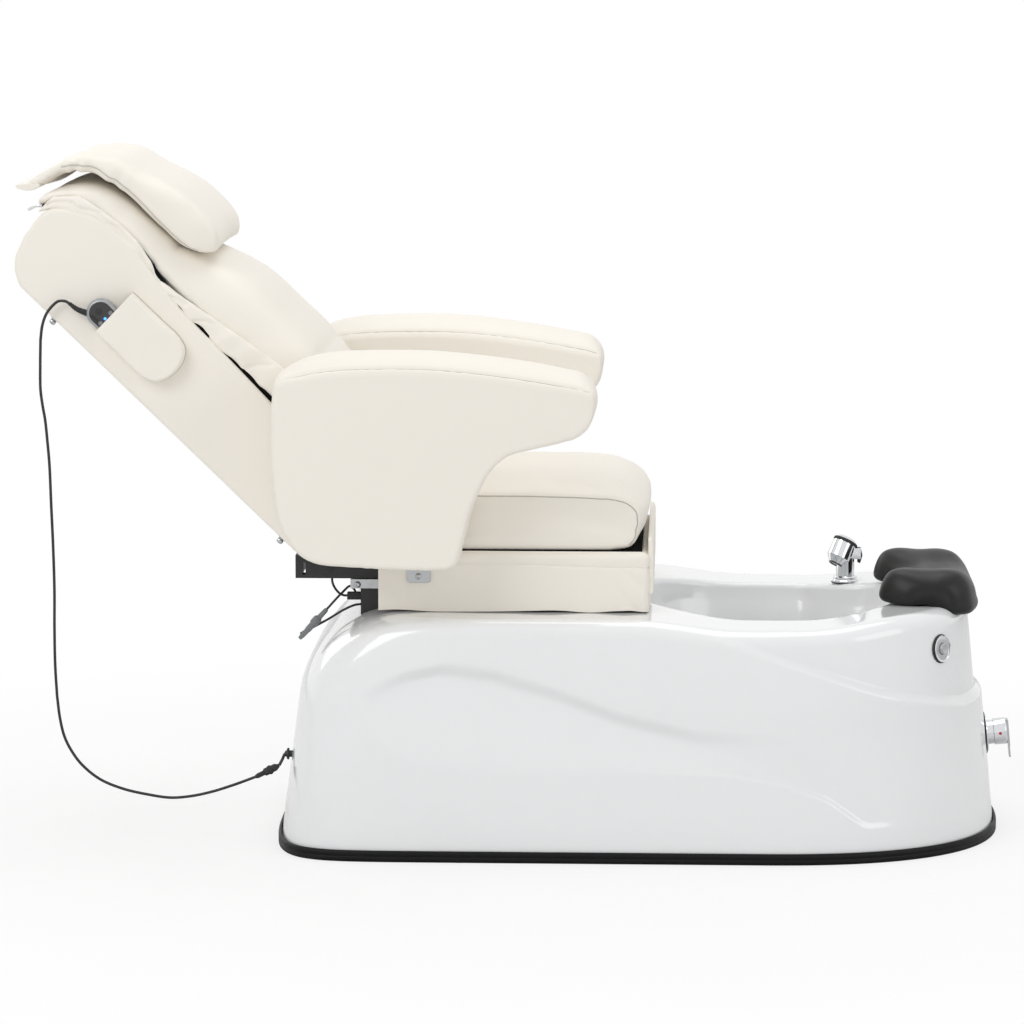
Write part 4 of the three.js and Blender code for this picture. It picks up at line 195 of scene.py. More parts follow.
class Form:
    """A mesh being made for one piece, in row-frame metres."""

    def __init__(self, name: str, points: Array, faces: list[Sequence[int]]) -> None:
        """Makes the object and turns its faces outward.

        Args:
            name: the piece's name.
            points: vertices in metres.
            faces: corner indices of each face.
        """
        mesh = bpy.data.meshes.new(name)
        mesh.from_pydata([tuple(p) for p in points], [], faces)
        edit = bmesh.new()
        edit.from_mesh(mesh)
        bmesh.ops.recalc_face_normals(edit, faces=edit.faces)
        edit.to_mesh(mesh)
        edit.free()
        self.object = bpy.data.objects.new(name, mesh)
        bpy.context.scene.collection.objects.link(self.object)

    @classmethod
    def loft(
        cls,
        name: str,
        rings: Array,
        closed: bool = True,
        start: bool = True,
        end: bool = True,
        in_row: bool = False,
    ) -> "Form":
        """A skin over rings of equal length.

        Args:
            name: the piece's name.
            rings: an array of rings, points and coordinates.
            closed: whether each ring is a loop.
            start: whether the first ring is filled.
            end: whether the last ring is filled.
            in_row: whether the points are row-frame metres already.

        Returns:
            The new form.
        """
        many, count = rings.shape[:2]
        points = rings.reshape(-1, 3) if in_row else to_row(rings.reshape(-1, 3))
        faces: list[Sequence[int]] = []
        for r in range(many - 1):
            for i in range(count if closed else count - 1):
                j = (i + 1) % count
                faces.append((r * count + i, r * count + j, (r + 1) * count + j, (r + 1) * count + i))
        if closed and start:
            faces.append(tuple(range(count)))
        if closed and end:
            faces.append(tuple(range((many - 1) * count, many * count)))
        return cls(name, points, faces)

    @classmethod
    def turned(
        cls, name: str, profile: Points, at: Sequence[float], axis: Sequence[float], sides: int = 64,
        hollow: bool = False
    ) -> "Form":
        """A form of revolution.

        Args:
            name: the piece's name.
            profile: pairs of radius and distance along the axis.
            at: where the axis starts, in chair millimetres.
            axis: the direction of the axis.
            sides: how many sides it has.
            hollow: whether the profile is a closed outline, as of a ring.

        Returns:
            The new form, filled at both ends unless it is hollow.
        """
        w = Vector(axis).normalized()
        u = w.orthogonal().normalized()
        v = w.cross(u)
        angle = np.linspace(0, 2 * math.pi, sides, endpoint=False)
        circle = np.outer(np.cos(angle), np.array(u)) + np.outer(np.sin(angle), np.array(v))
        rings = np.stack([np.array(at) + circle * r + np.array(w) * h for r, h in profile])
        if hollow:
            return cls.loft(name, np.concatenate([rings, rings[:1]]), start=False, end=False).welded()
        return cls.loft(name, rings)

    @classmethod
    def tube(
        cls, name: str, path: Array, radius: float | Array, sides: int = 16, closed: bool = False
    ) -> "Form":
        """A round tube along a path.

        Args:
            name: the piece's name.
            path: points in chair millimetres.
            radius: one radius, or one for each point.
            sides: how many sides it has.
            closed: whether the path is a loop.

        Returns:
            The new form.
        """
        return cls.loft(name, tube_rings(path, radius, sides, closed), start=not closed, end=not closed)

    @classmethod
    def slab(
        cls, name: str, outline: Array, y0: float, y1: float, ease: float = 0.0, on_back: bool = False
    ) -> "Form":
        """An outline drawn in X and Z, given thickness across.

        Args:
            name: the piece's name.
            outline: pairs of x and z, or of t and s.
            y0: one face.
            y1: the other face.
            ease: radius of its rounded edges.
            on_back: whether the outline is in the back's own frame.

        Returns:
            The new form.
        """
        steps = [(0.0, 0.0)] if ease <= 0 else [
            (ease * (1 - math.sin(a)), ease * (1 - math.cos(a))) for a in np.linspace(0, math.pi / 2, 5)
        ]
        side = math.copysign(1, y1 - y0)
        rings = [(y0 + side * depth, way) for way, depth in steps]
        rings += [(y1 - side * depth, way) for way, depth in reversed(steps)]
        stack = []
        for y, way in rings:
            flat = inset(np.asarray(outline, float), way)
            points = np.stack([flat[:, 0], np.full(len(flat), y), flat[:, 1]], axis=-1)
            stack.append(from_back(points) if on_back else points)
        return cls.loft(name, np.stack(stack))

    @classmethod
    def block(
        cls, name: str, low: Sequence[float], high: Sequence[float], ease: float = 1.5,
        on_back: bool = False
    ) -> "Form":
        """A block with rounded edges.

        Args:
            name: the piece's name.
            low: its lowest corner.
            high: its highest corner.
            ease: radius of its edges.
            on_back: whether the corners are in the back's own frame.

        Returns:
            The new form.
        """
        a, b = np.asarray(low, float), np.asarray(high, float)
        corners = np.array([[x, y, z] for x in (a[0], b[0]) for y in (a[1], b[1]) for z in (a[2], b[2])])
        faces = [(0, 1, 3, 2), (4, 6, 7, 5), (0, 4, 5, 1), (2, 3, 7, 6), (0, 2, 6, 4), (1, 5, 7, 3)]
        made = cls(name, to_row(from_back(corners) if on_back else corners), faces)
        return made.eased(min(ease, 0.45 * float(np.min(b - a))))

    def eased(self, radius: float, segments: int = 3) -> "Form":
        """Rounds every edge of the mesh.

        Args:
            radius: the radius in millimetres.
            segments: how many faces make the rounding.

        Returns:
            This form.
        """
        edit = bmesh.new()
        edit.from_mesh(self.object.data)
        bmesh.ops.bevel(
            edit, geom=edit.edges[:], offset=radius * MM, segments=segments, profile=0.5, affect="EDGES"
        )
        edit.to_mesh(self.object.data)
        edit.free()
        return self

    def changed(self, kind: str, **settings: object) -> "Form":
        """Adds a modifier and applies it.

        Args:
            kind: the modifier's type.
            **settings: its properties.

        Returns:
            This form.
        """
        modifier = self.object.modifiers.new(kind.title(), kind)
        for key, value in settings.items():
            setattr(modifier, key, value)
        graph = bpy.context.evaluated_depsgraph_get()
        made = bpy.data.meshes.new_from_object(self.object.evaluated_get(graph))
        self.object.modifiers.clear()
        old, self.object.data = self.object.data, made
        made.name = self.object.name
        bpy.data.meshes.remove(old)
        return self

    def welded(self, gap: float = 0.00001) -> "Form":
        """Merges vertices that lie on one another.

        Args:
            gap: the distance in metres under which they are merged.

        Returns:
            This form.
        """
        edit = bmesh.new()
        edit.from_mesh(self.object.data)
        bmesh.ops.remove_doubles(edit, verts=edit.verts[:], dist=gap)
        bmesh.ops.recalc_face_normals(edit, faces=edit.faces)
        edit.to_mesh(self.object.data)
        edit.free()
        return self

    def points(self) -> Array:
        """The vertices, in metres."""
        co = np.empty(len(self.object.data.vertices) * 3)
        self.object.data.vertices.foreach_get("co", co)
        return co.reshape(-1, 3)

    def move_points(self, points: Array) -> "Form":
        """Puts the vertices at new places, in metres."""
        self.object.data.vertices.foreach_set("co", points.ravel())
        self.object.data.update()
        return self

    def normals(self) -> Array:
        """The vertices' normals."""
        out = np.empty(len(self.object.data.vertices) * 3)
        self.object.data.vertex_normals.foreach_get("vector", out)
        return out.reshape(-1, 3)

    def tree(self) -> BVHTree:
        """A tree of the mesh's faces, for projecting onto it."""
        data = self.object.data
        return BVHTree.FromPolygons([v.co for v in data.vertices], [p.vertices for p in data.polygons])

    def finished(
        self, finish: "Finish", body: str | None, sharp: float = 40.0, stands_for: Sequence[str] = ()
    ) -> bpy.types.Object:
        """Shades the piece, gives it its finish and hangs it on a body.

        Args:
            finish: what it is made of.
            body: the CAD body that it rides on, or None where it spans two and rides on neither.
            sharp: the angle in degrees over which an edge looks sharp.
            stands_for: CAD nodes that it replaces.

        Returns:
            The object.
        """
        data = self.object.data
        data.polygons.foreach_set("use_smooth", [True] * len(data.polygons))
        data.set_sharp_from_angle(angle=math.radians(sharp))
        if not data.materials:
            data.materials.append(finish.material())
        if body:
            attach(self.object, body)
        if stands_for:
            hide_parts(*stands_for)
        LOG.info("%s: %d faces", self.object.name, len(data.polygons))
        return self.object


def tube_rings(path: Array, radius: float | Array, sides: int, closed: bool = False) -> Array:
    """Rings of a tube along a path, without twist.

    Args:
        path: the centres of the rings.
        radius: one radius, or one for each centre.
        sides: points in a ring.
        closed: whether the path is a loop.

    Returns:
        An array of rings, the first repeated at the end of a loop.
    """
    p = np.asarray(path, float)
    tangents = np.roll(p, -1, axis=0) - np.roll(p, 1, axis=0) if closed else np.gradient(p, axis=0)
    tangents /= np.linalg.norm(tangents, axis=1)[:, None]
    radii = np.broadcast_to(np.asarray(radius, float), len(p))
    normal = np.array(Vector(tangents[0]).orthogonal().normalized())
    angle = np.linspace(0, 2 * math.pi, sides, endpoint=False)
    rings = []
    for centre, tangent, r in zip(p, tangents, radii):
        normal = normal - tangent * (normal @ tangent)
        normal /= np.linalg.norm(normal)
        other = np.cross(tangent, normal)
        rings.append(centre + r * (np.outer(np.cos(angle), normal) + np.outer(np.sin(angle), other)))
    if closed:
        rings.append(rings[0])
    return np.stack(rings)


# ---------------------------------------------------------------- shader maths


class Wire:
    """One output socket of a node, for shader maths written as expressions."""

    def __init__(self, bench: "Bench", socket: bpy.types.NodeSocket) -> None:
        """Keeps the socket and the bench that it is on."""
        self.bench = bench
        self.socket = socket

    def _with(self, operation: str, first: "Wire | float", second: "Wire | float") -> "Wire":
        """A Math node over two values."""
        return self.bench.node("ShaderNodeMath", {"operation": operation}, {0: first, 1: second})

    def __add__(self, other: "Wire | float") -> "Wire":
        """The sum."""
        return self._with("ADD", self, other)

    __radd__ = __add__

    def __sub__(self, other: "Wire | float") -> "Wire":
        """The difference."""
        return self._with("SUBTRACT", self, other)

    def __rsub__(self, other: "Wire | float") -> "Wire":
        """A number less this value."""
        return self._with("SUBTRACT", other, self)

    def __mul__(self, other: "Wire | float") -> "Wire":
        """The product."""
        return self._with("MULTIPLY", self, other)

    __rmul__ = __mul__

    def __pow__(self, other: "Wire | float") -> "Wire":
        """This value to a power."""
        return self._with("POWER", self, other)

    def __or__(self, other: "Wire | float") -> "Wire":
        """The larger of two values."""
        return self._with("MAXIMUM", self, other)


Value = Wire | float | tuple | str


class Bench:
    """The node tree of one material or world, with short ways to fill it."""

    def __init__(self, tree: bpy.types.NodeTree) -> None:
        """Empties the tree."""
        self.tree = tree
        tree.nodes.clear()

    def node(
        self, kind: str, settings: dict[str, object] | None = None,
        inputs: dict[int | str, Value] | None = None, output: int | str = 0
    ) -> Wire:
        """Adds a node.

        Args:
            kind: the node's type.
            settings: its own properties; "stops" holds a ramp's positions and colours.
            inputs: values or wires for its sockets.
            output: which output to return.

        Returns:
            A wire from that output.
        """
        made = self.tree.nodes.new(kind)
        for key, value in (settings or {}).items():
            if key == "stops":
                self._fill_ramp(made, value)
            else:
                setattr(made, key, value)
        for key, value in (inputs or {}).items():
            if isinstance(value, Wire):
                self.tree.links.new(value.socket, made.inputs[key])
            else:
                made.inputs[key].default_value = value
        return Wire(self, made.outputs[output]) if len(made.outputs) else Wire(self, made.inputs[0])

    @staticmethod
    def _fill_ramp(node: bpy.types.Node, stops: list[tuple[float, tuple[float, float, float]]]) -> None:
        """Sets a ramp's stops.

        Args:
            node: the Color Ramp node.
            stops: pairs of a position and a colour.
        """
        elements = node.color_ramp.elements
        while len(elements) < len(stops):
            elements.new(0.5)
        for element, (position, colour) in zip(elements, stops):
            element.position = position
            element.color = (*colour, 1)

    def place(self) -> Wire:
        """The point being shaded, in metres of the row frame."""
        return self.node("ShaderNodeTexCoord", output="Object")

    def stretched(self, scale: tuple[float, float, float]) -> Wire:
        """The point being shaded, scaled along each axis."""
        return self.node("ShaderNodeVectorMath", {"operation": "MULTIPLY"}, {0: self.place(), 1: scale})

    def noise(self, scale: float, detail: float = 3, rough: float = 0.5, at: Wire | None = None) -> Wire:
        """Noise from 0 to 1 over the surface.

        Args:
            scale: its scale per metre.
            detail: how many octaves.
            rough: the weight of the finer ones.
            at: where it is read, if not at the plain place.

        Returns:
            The noise.
        """
        values = {"Vector": at or self.place(), "Scale": scale, "Detail": detail, "Roughness": rough}
        return self.node("ShaderNodeTexNoise", {}, values, "Fac")

    def cells(self, scale: float, feature: str = "F1") -> Wire:
        """Distance pattern of scattered cells."""
        return self.node(
            "ShaderNodeTexVoronoi", {"feature": feature}, {"Vector": self.place(), "Scale": scale},
            "Distance"
        )

    def ramp(
        self, value: Wire, low: float, high: float, out_low: float = 0.0, out_high: float = 1.0
    ) -> Wire:
        """A value mapped from one range to another, held at its ends."""
        settings = {"clamp": True}
        return self.node(
            "ShaderNodeMapRange", settings, {0: value, 1: low, 2: high, 3: out_low, 4: out_high}
        )

    def mix(self, share: Wire | float, first: Value, second: Value) -> Wire:
        """A blend of two colours."""
        settings = {"data_type": "RGBA"}
        inputs = {0: share, 6: _rgba(first), 7: _rgba(second)}
        return self.node("ShaderNodeMix", settings, inputs, 2)

    def bump(self, height: Wire, distance: float, strength: float = 1.0) -> Wire:
        """A normal from a height in shares of a distance in metres."""
        return self.node(
            "ShaderNodeBump", {}, {"Height": height, "Distance": distance, "Strength": strength}
        )

    def surface(self, shader: Wire) -> None:
        """Joins a shader to the material's output."""
        self.node("ShaderNodeOutputMaterial", {}, {"Surface": shader})


def _rgba(value: Value) -> Value:
    """A colour with its alpha, or the wire as it is."""
    return (*value, 1.0) if isinstance(value, tuple) and len(value) == 3 else value


# ---------------------------------------------------------------- finishes


class Grain(Enum):
    """The fine relief of a surface."""

    NONE = "none"
    PEBBLE = "pebble"
    SATIN = "satin"
    RIPPLE = "ripple"
    STRANDS = "strands"
    SPANGLE = "spangle"
    BRUSHED = "brushed"


@dataclass(frozen=True)
class Finish:
    """What a piece is made of, and how it looks."""

    name: str
    colour: tuple[float, float, float]
    roughness: float
    slot: str = ""
    metallic: float = 0.0
    coat: float = 0.0
    grain: Grain = Grain.NONE
    relief: float = 0.0001  # height of the grain in metres
    fine: float = 900.0  # scale of the grain per metre
    shade: float = 0.03  # how much its colour varies
    glow: float = 0.0
    sheen: float = 0.0
    specular: float = 0.5

    def material(self) -> bpy.types.Material:
        """The finish's material, made once."""
        found = bpy.data.materials.get(self.name)
        if found:
            return found
        made = bpy.data.materials.new(self.name)
        made.use_nodes = True
        made.diffuse_color = (*self.colour, 1)
        self.paint(Bench(made.node_tree))
        return made

    def paint(self, bench: Bench) -> None:
        """Fills the material's tree.

        Args:
            bench: the tree.
        """
        height, tone = self.pattern(bench)
        dark = tuple(c * (1 - 2 * self.shade) for c in self.colour)
        cloud = bench.ramp(bench.noise(7, 3) * 0.6 + tone * 0.4, 0.3, 0.7)
        rough = bench.ramp(bench.noise(23, 2), 0.3, 0.7, 0.9 * self.roughness, 1.1 * self.roughness)
        inputs: dict[int | str, Value] = {
            "Base Color": bench.mix(cloud, dark, self.colour),
            "Roughness": rough,
            "Metallic": self.metallic,
            "Coat Weight": self.coat,
            "Coat Roughness": 0.06,
            "Sheen Weight": self.sheen,
            "Specular IOR Level": self.specular,
            "Normal": bench.bump(height, self.relief),
        }
        if self.glow:
            inputs["Emission Color"] = (*self.colour, 1)
            inputs["Emission Strength"] = self.glow
        bench.surface(bench.node("ShaderNodeBsdfPrincipled", {}, inputs))

    def pattern(self, bench: Bench) -> tuple[Wire, Wire]:
        """The grain's height and the tone that goes with it.

        Args:
            bench: the tree.

        Returns:
            Two values from 0 to 1.
        """
        if self.grain is Grain.PEBBLE:
            cells = bench.cells(self.fine, "SMOOTH_F1")
            crease = bench.noise(self.fine * 0.35, 4, 0.6)
            return cells * 0.6 + crease * 0.55, cells
        if self.grain is Grain.STRANDS:
            fibres = bench.noise(self.fine, 5, 0.7, bench.stretched((1, 0.18, 0.9)))
            cross = bench.noise(self.fine, 5, 0.7, bench.stretched((0.2, 1, 0.25)))
            return fibres | cross, fibres
        if self.grain is Grain.SPANGLE:
            flakes = bench.node(
                "ShaderNodeTexVoronoi", {}, {"Vector": bench.place(), "Scale": self.fine}, "Distance"
            )
            return flakes, bench.ramp(flakes, 0, 0.8)
        if self.grain is Grain.BRUSHED:
            lines = bench.noise(self.fine, 2, 0.6, bench.stretched((0.03, 1, 1)))
            return lines, lines
        if self.grain is Grain.RIPPLE:
            wave = bench.noise(self.fine, 1.5, 0.4)
            return wave, bench.noise(40, 2)
        if self.grain is Grain.SATIN:
            speckle = bench.noise(self.fine, 4, 0.65)
            return speckle, speckle
        plain = bench.noise(self.fine * 0.1, 2)
        return plain, plain


@dataclass(frozen=True)
class Hide(Finish):
    """Leatherette: a pebbled coated cloth, with faint pulls and a soiled tone that varies at random."""

    pull: float = 0.0012  # height of its slack waves in metres

    def paint(self, bench: Bench) -> None:
        """Fills the material's tree.

        Args:
            bench: the tree.
        """
        pebble = bench.cells(self.fine, "SMOOTH_F1")
        crease = bench.noise(self.fine * 0.3, 4, 0.6)
        grain = bench.bump(pebble * 0.55 + crease * 0.6, self.relief)
        waves = bench.noise(15, 2.5, 0.45, bench.stretched((0.75, 1.0, 1.25)))
        slack = bench.node("ShaderNodeBump", {}, {"Height": waves, "Distance": self.pull, "Normal": grain})
        hollow = bench.ramp(pebble, 0.1, 0.7)
        cloud = bench.ramp(bench.noise(5, 3), 0.35, 0.7)
        worn = tuple(c * f for c, f in zip(self.colour, (0.97, 0.963, 0.948)))
        deep = tuple(c * 0.93 for c in self.colour)
        colour = bench.mix(cloud * 0.8, bench.mix(hollow, self.colour, deep), worn)
        rough = bench.ramp(
            bench.noise(60, 3) * 0.5 + hollow * 0.5, 0.2, 0.8, self.roughness - 0.05,
            self.roughness + 0.08
        )
        inputs: dict[int | str, Value] = {
            "Base Color": colour,
            "Roughness": rough,
            "Sheen Weight": self.sheen,
            "Sheen Roughness": 0.5,
            "Specular IOR Level": 0.42,
            "Normal": slack,
        }
        bench.surface(bench.node("ShaderNodeBsdfPrincipled", {}, inputs))


HIDE = Hide(
    "ivory_leatherette", (0.83, 0.82, 0.79), 0.4, "ivory_leatherette", relief=0.00016, fine=720,
    sheen=0.05
)
PIPING = Hide(
    "ivory_piping", (0.62, 0.6, 0.55), 0.45, "ivory_leatherette", relief=0.0001, fine=1500, pull=0.0001
)
# Dark hide for tubes along sewn seams: painted shade of the seam grooves.
SEAM_SHADE_HIDE = Hide(
    "ivory_seam_shade", (0.47, 0.45, 0.41), 0.6, "ivory_leatherette", relief=0.0001, fine=1500, pull=0.0001
)
GELCOAT = Finish(
    "white_gelcoat", (0.87, 0.88, 0.885), 0.16, "gelcoat", coat=0.7, grain=Grain.RIPPLE, relief=0.0009,
    fine=7, shade=0.008
)
LAMINATE = Finish(
    "raw_laminate", (0.62, 0.6, 0.5), 0.65, "gelcoat", grain=Grain.STRANDS, relief=0.0012, fine=90,
    shade=0.12
)
STRIP_RUBBER = Finish(
    "strip_rubber", (0.003, 0.003, 0.003), 0.5, "black_rubber", grain=Grain.SATIN, relief=0.00012,
    fine=1200, shade=0.1, specular=0.2
)
CORD_RUBBER = Finish(
    "cord_rubber", (0.016, 0.016, 0.017), 0.5, "black_rubber", grain=Grain.SATIN, relief=0.00006,
    fine=3000, shade=0.08
)
WHEEL_RUBBER = Finish(
    "wheel_rubber", (0.03, 0.03, 0.032), 0.6, "black_rubber", grain=Grain.SATIN, relief=0.0002, fine=700,
    shade=0.1
)
FOAM_SKIN = Finish(
    "foam_skin", (0.005, 0.005, 0.0055), 0.4, "black_foam", grain=Grain.PEBBLE, relief=0.00016, fine=800,
    shade=0.06, specular=0.34
)
# Black pieces in the gaps under the seat cushion and along the back's shell: painted shade of those gaps.
GAP_SHADE = Finish(
    "black_gap_shade", (0.005, 0.005, 0.005), 0.9, "black_steel", grain=Grain.SATIN, relief=0.0004, fine=900,
    shade=0.2, specular=0.1
)
POWDER_COAT = Finish(
    "powder_coat", (0.016, 0.016, 0.017), 0.42, "black_steel", grain=Grain.SATIN, relief=0.0001,
    fine=1500, shade=0.08
)
ZINC = Finish(
    "zinc_plate", (0.56, 0.57, 0.58), 0.36, "zinc_steel", metallic=1.0, grain=Grain.SPANGLE,
    relief=0.00004, fine=90, shade=0.08
)
CHROME = Finish(
    "polished_chrome", (0.72, 0.73, 0.75), 0.07, "chrome", metallic=1.0, grain=Grain.RIPPLE,
    relief=0.00005, fine=30, shade=0.01
)
SATIN_CHROME = Finish(
    "satin_chrome", (0.5, 0.51, 0.52), 0.24, "chrome", metallic=1.0, grain=Grain.BRUSHED, relief=0.00002,
    fine=800
)
WHITE_PLASTIC = Finish(
    "white_plastic", (0.78, 0.78, 0.76), 0.45, "white_plastic", grain=Grain.SATIN, relief=0.00008,
    fine=1400, shade=0.02
)
GREY_PLASTIC = Finish(
    "grey_plastic", (0.19, 0.195, 0.2), 0.42, "grey_plastic", grain=Grain.SATIN, relief=0.0001, fine=1600
)
SILVER_PLASTIC = Finish(
    "silver_plastic", (0.36, 0.37, 0.385), 0.34, "grey_plastic", metallic=0.35, grain=Grain.SATIN,
    relief=0.00005, fine=2200
)
BLACK_PLASTIC = Finish(
    "black_plastic", (0.016, 0.016, 0.017), 0.34, "black_plastic", grain=Grain.SATIN, relief=0.00008,
    fine=1600
)
GLOSS_BLACK = Finish(
    "gloss_black", (0.008, 0.008, 0.009), 0.12, "black_plastic", coat=0.6, grain=Grain.RIPPLE,
    relief=0.00003, fine=40
)
LENS = Finish(
    "lamp_lens", (0.7, 0.8, 0.86), 0.12, "lens", coat=0.5, grain=Grain.RIPPLE, relief=0.0003, fine=140,
    shade=0.05
)
BLUE_LIGHT = Finish("blue_light", (0.05, 0.25, 1.0), 0.3, "", grain=Grain.RIPPLE, relief=0.00002, glow=2.5)
RED_MARK = Finish("red_mark", (0.55, 0.02, 0.02), 0.35, "", grain=Grain.SATIN, relief=0.00002)
ZIP_TAPE = Finish(
    "zip_tape", (0.02, 0.02, 0.021), 0.7, "", grain=Grain.BRUSHED, relief=0.0002, fine=1600, shade=0.15
)


@dataclass(frozen=True)
class PaleFloor:
    """A plain pale floor, lit by its own shade where the camera sees it."""

    name: str = "pale_floor"
    share: float = 0.74  # of its own light toward the camera

    def material(self) -> bpy.types.Material:
        """The floor's material."""
        made = bpy.data.materials.new(self.name)
        made.use_nodes = True
        bench = Bench(made.node_tree)
        mottle = bench.ramp(bench.noise(3, 2), 0.3, 0.7)
        colour = bench.mix(mottle, (0.86, 0.86, 0.86), (0.9, 0.9, 0.9))
        matt = bench.node("ShaderNodeBsdfDiffuse", {}, {"Color": colour})
        white = bench.node("ShaderNodeEmission", {}, {"Color": (1, 1, 1, 1), "Strength": 1.0})
        seen = bench.node("ShaderNodeLightPath", output="Is Camera Ray")
        far = bench.node("ShaderNodeVectorMath", {"operation": "LENGTH"}, {0: bench.place()}, "Value")
        share = bench.ramp(far, 0.7, 1.7, self.share, 1.0)
        bench.surface(bench.node("ShaderNodeMixShader", {}, {0: seen * share, 1: matt, 2: white}))
        return made


# ---------------------------------------------------------------- studio


@dataclass
class Studio:
    """Camera, floor, lamps and background."""

    eye: tuple[float, float, float] = (0.2876, -7.5, 1.605)
    aim: tuple[float, float, float] = (-0.03913356, 0.98922049, -0.14110769)
    lens: float = 154.97
    floor_half: float = 7.0
    ambient: float = 0.55

    def build(self) -> None:
        """Makes the whole studio."""
        self._camera()
        self._floor()
        self._world()
        self._lamp("key_light", (-2.6, -3.4, 3.4), (0.0, 0.0, 0.5), 2.6, 68)
        self._lamp("fill_light", (3.6, -2.6, 2.0), (0.2, 0.0, 0.5), 2.4, 27)
        self._lamp("top_light", (0.3, 0.6, 3.8), (0.0, 0.0, 0.5), 2.4, 34)
        self._lamp("back_light", (-3.2, 3.0, 2.4), (-0.2, 0.0, 0.6), 2.2, 26)
        view = bpy.context.scene.view_settings
        view.view_transform = "Standard"

    def _camera(self) -> None:
        """Sets the photograph's point of view."""
        data = bpy.data.cameras.new("camera")
        data.lens = self.lens
        data.sensor_width = 36
        data.clip_end = 60
        made = bpy.data.objects.new("camera", data)
        made.location = self.eye
        made.rotation_euler = Vector(self.aim).to_track_quat("-Z", "Y").to_euler()
        bpy.context.scene.collection.objects.link(made)
        bpy.context.scene.camera = made

    def _floor(self) -> None:
        """Lays a large square floor."""
        h = self.floor_half
        mesh = bpy.data.meshes.new("floor")
        mesh.from_pydata(
            [(-h, -h, -0.0005), (h, -h, -0.0005), (h, h, -0.0005), (-h, h, -0.0005)], [], [(0, 1, 2, 3)]
        )
        mesh.materials.append(PaleFloor().material())
        made = bpy.data.objects.new("floor", mesh)
        bpy.context.scene.collection.objects.link(made)

    def _world(self) -> None:
        """White where it is seen or mirrored, dimmer as light on the object."""
        world = bpy.data.worlds.new("studio")
        bpy.context.scene.world = world
        world.use_nodes = True
        bench = Bench(world.node_tree)
        seen = bench.node("ShaderNodeLightPath", output="Is Camera Ray")
        mirrored = bench.node("ShaderNodeLightPath", output="Is Glossy Ray")
        through = bench.node("ShaderNodeLightPath", output="Is Transmission Ray")
        white = seen | mirrored | through
        strength = white * (1 - self.ambient) + self.ambient
        background = bench.node("ShaderNodeBackground", {}, {"Color": (1, 1, 1, 1), "Strength": strength})
        bench.node("ShaderNodeOutputWorld", {}, {"Surface": background})

    @staticmethod
    def _lamp(
        name: str, place: tuple[float, float, float], target: tuple[float, float, float], size: float,
        power: float
    ) -> None:
        """Adds one soft square lamp.

        Args:
            name: its name.
            place: where it stands.
            target: what it faces.
            size: its side in metres.
            power: its power in watts.
        """
        data = bpy.data.lights.new(name, "AREA")
        data.size = size
        data.energy = power
        made = bpy.data.objects.new(name, data)
        made.location = place
        made.rotation_euler = (Vector(target) - Vector(place)).to_track_quat("-Z", "Y").to_euler()
        bpy.context.scene.collection.objects.link(made)


# ---------------------------------------------------------------- cords


@dataclass
class Cord:
    """One free length of cord between the two bodies at its ends, hung on the body only where both ends
    share one.
    """

    name: str
    points: Points
    radius: float
    node: str
    bodies: tuple[str, str]
    far_end: str = "object"
    count: int = 90
    finish: Finish = CORD_RUBBER
    settle: float = 1.0  # a share of the way, end to end

    def build(self, *carried: bpy.types.Object | str) -> bpy.types.Object:
        """Makes the cord.

        Args:
            *carried: pieces on its far end; not used.

        Returns:
            The cord's object.
        """
        path = smooth_line(self.points, self.count)
        form = Form.tube(self.name, path, self.radius, 14)
        start, end = self.bodies
        made = form.finished(self.finish, None if start != end else start, 60, (self.node,))
        line = to_row(path)
        if start != end:
            stop = line[0] + (line[-1] - line[0]) * self.settle
            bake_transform(made)
        2 * self.radius * MM
        return made


RELIEF_TIP = (-745.68, -246.3, 916.08)
RELIEF_WAY = (-0.905, 0.0, 0.4254)
UPPER_ROUTE = (
    *(tuple(p + w * d for p, w in zip(RELIEF_TIP, RELIEF_WAY)) for d in (0.3, 8)),
    (-764, -246, 919), (-776, -246, 909), (-785, -246, 896), (-791, -247, 878), (-794, -248, 855),
)
MIDDLE_ROUTE = (
    (-794, -248, 855), (-795, -249, 813), (-795, -250, 772), (-792, -250, 746), (-788, -250, 721),
    (-785, -250, 688), (-782, -250, 647), (-780, -250, 578), (-778, -249, 509), (-777, -248, 434),
    (-778, -247, 370), (-778, -245, 306), (-776, -242, 253),
)
LOWER_ROUTE = (
    (-776, -242, 253), (-772, -240, 215), (-765, -237, 182), (-753, -234, 156), (-737, -230, 133),
    (-708, -226, 108), (-670, -222, 91), (-628, -216, 80), (-590, -212, 74), (-556, -208, 76),
    (-521, -204, 83), (-482, -200, 95), (-446, -196, 108),
)
LOOP_ROUTE = (
    (-317, -170, 446), (-317, -169.5, 440), (-314, -167, 430), (-306, -164, 419), (-299, -163, 415),
    (-292.6, -163, 414.4),
)
TAIL_ROUTE = (
    (-268.6, -150, 409), (-275, -150, 410), (-281, -149, 422), (-288, -149, 428.5), (-303, -151, 416),
    (-328, -154, 389),
)
RETURN_ROUTE = (
    (-268.6, -140, 396), (-280, -141, 395), (-299, -142, 387), (-327, -143, 370), (-347, -143, 359),
    (-362, -146, 351),
)


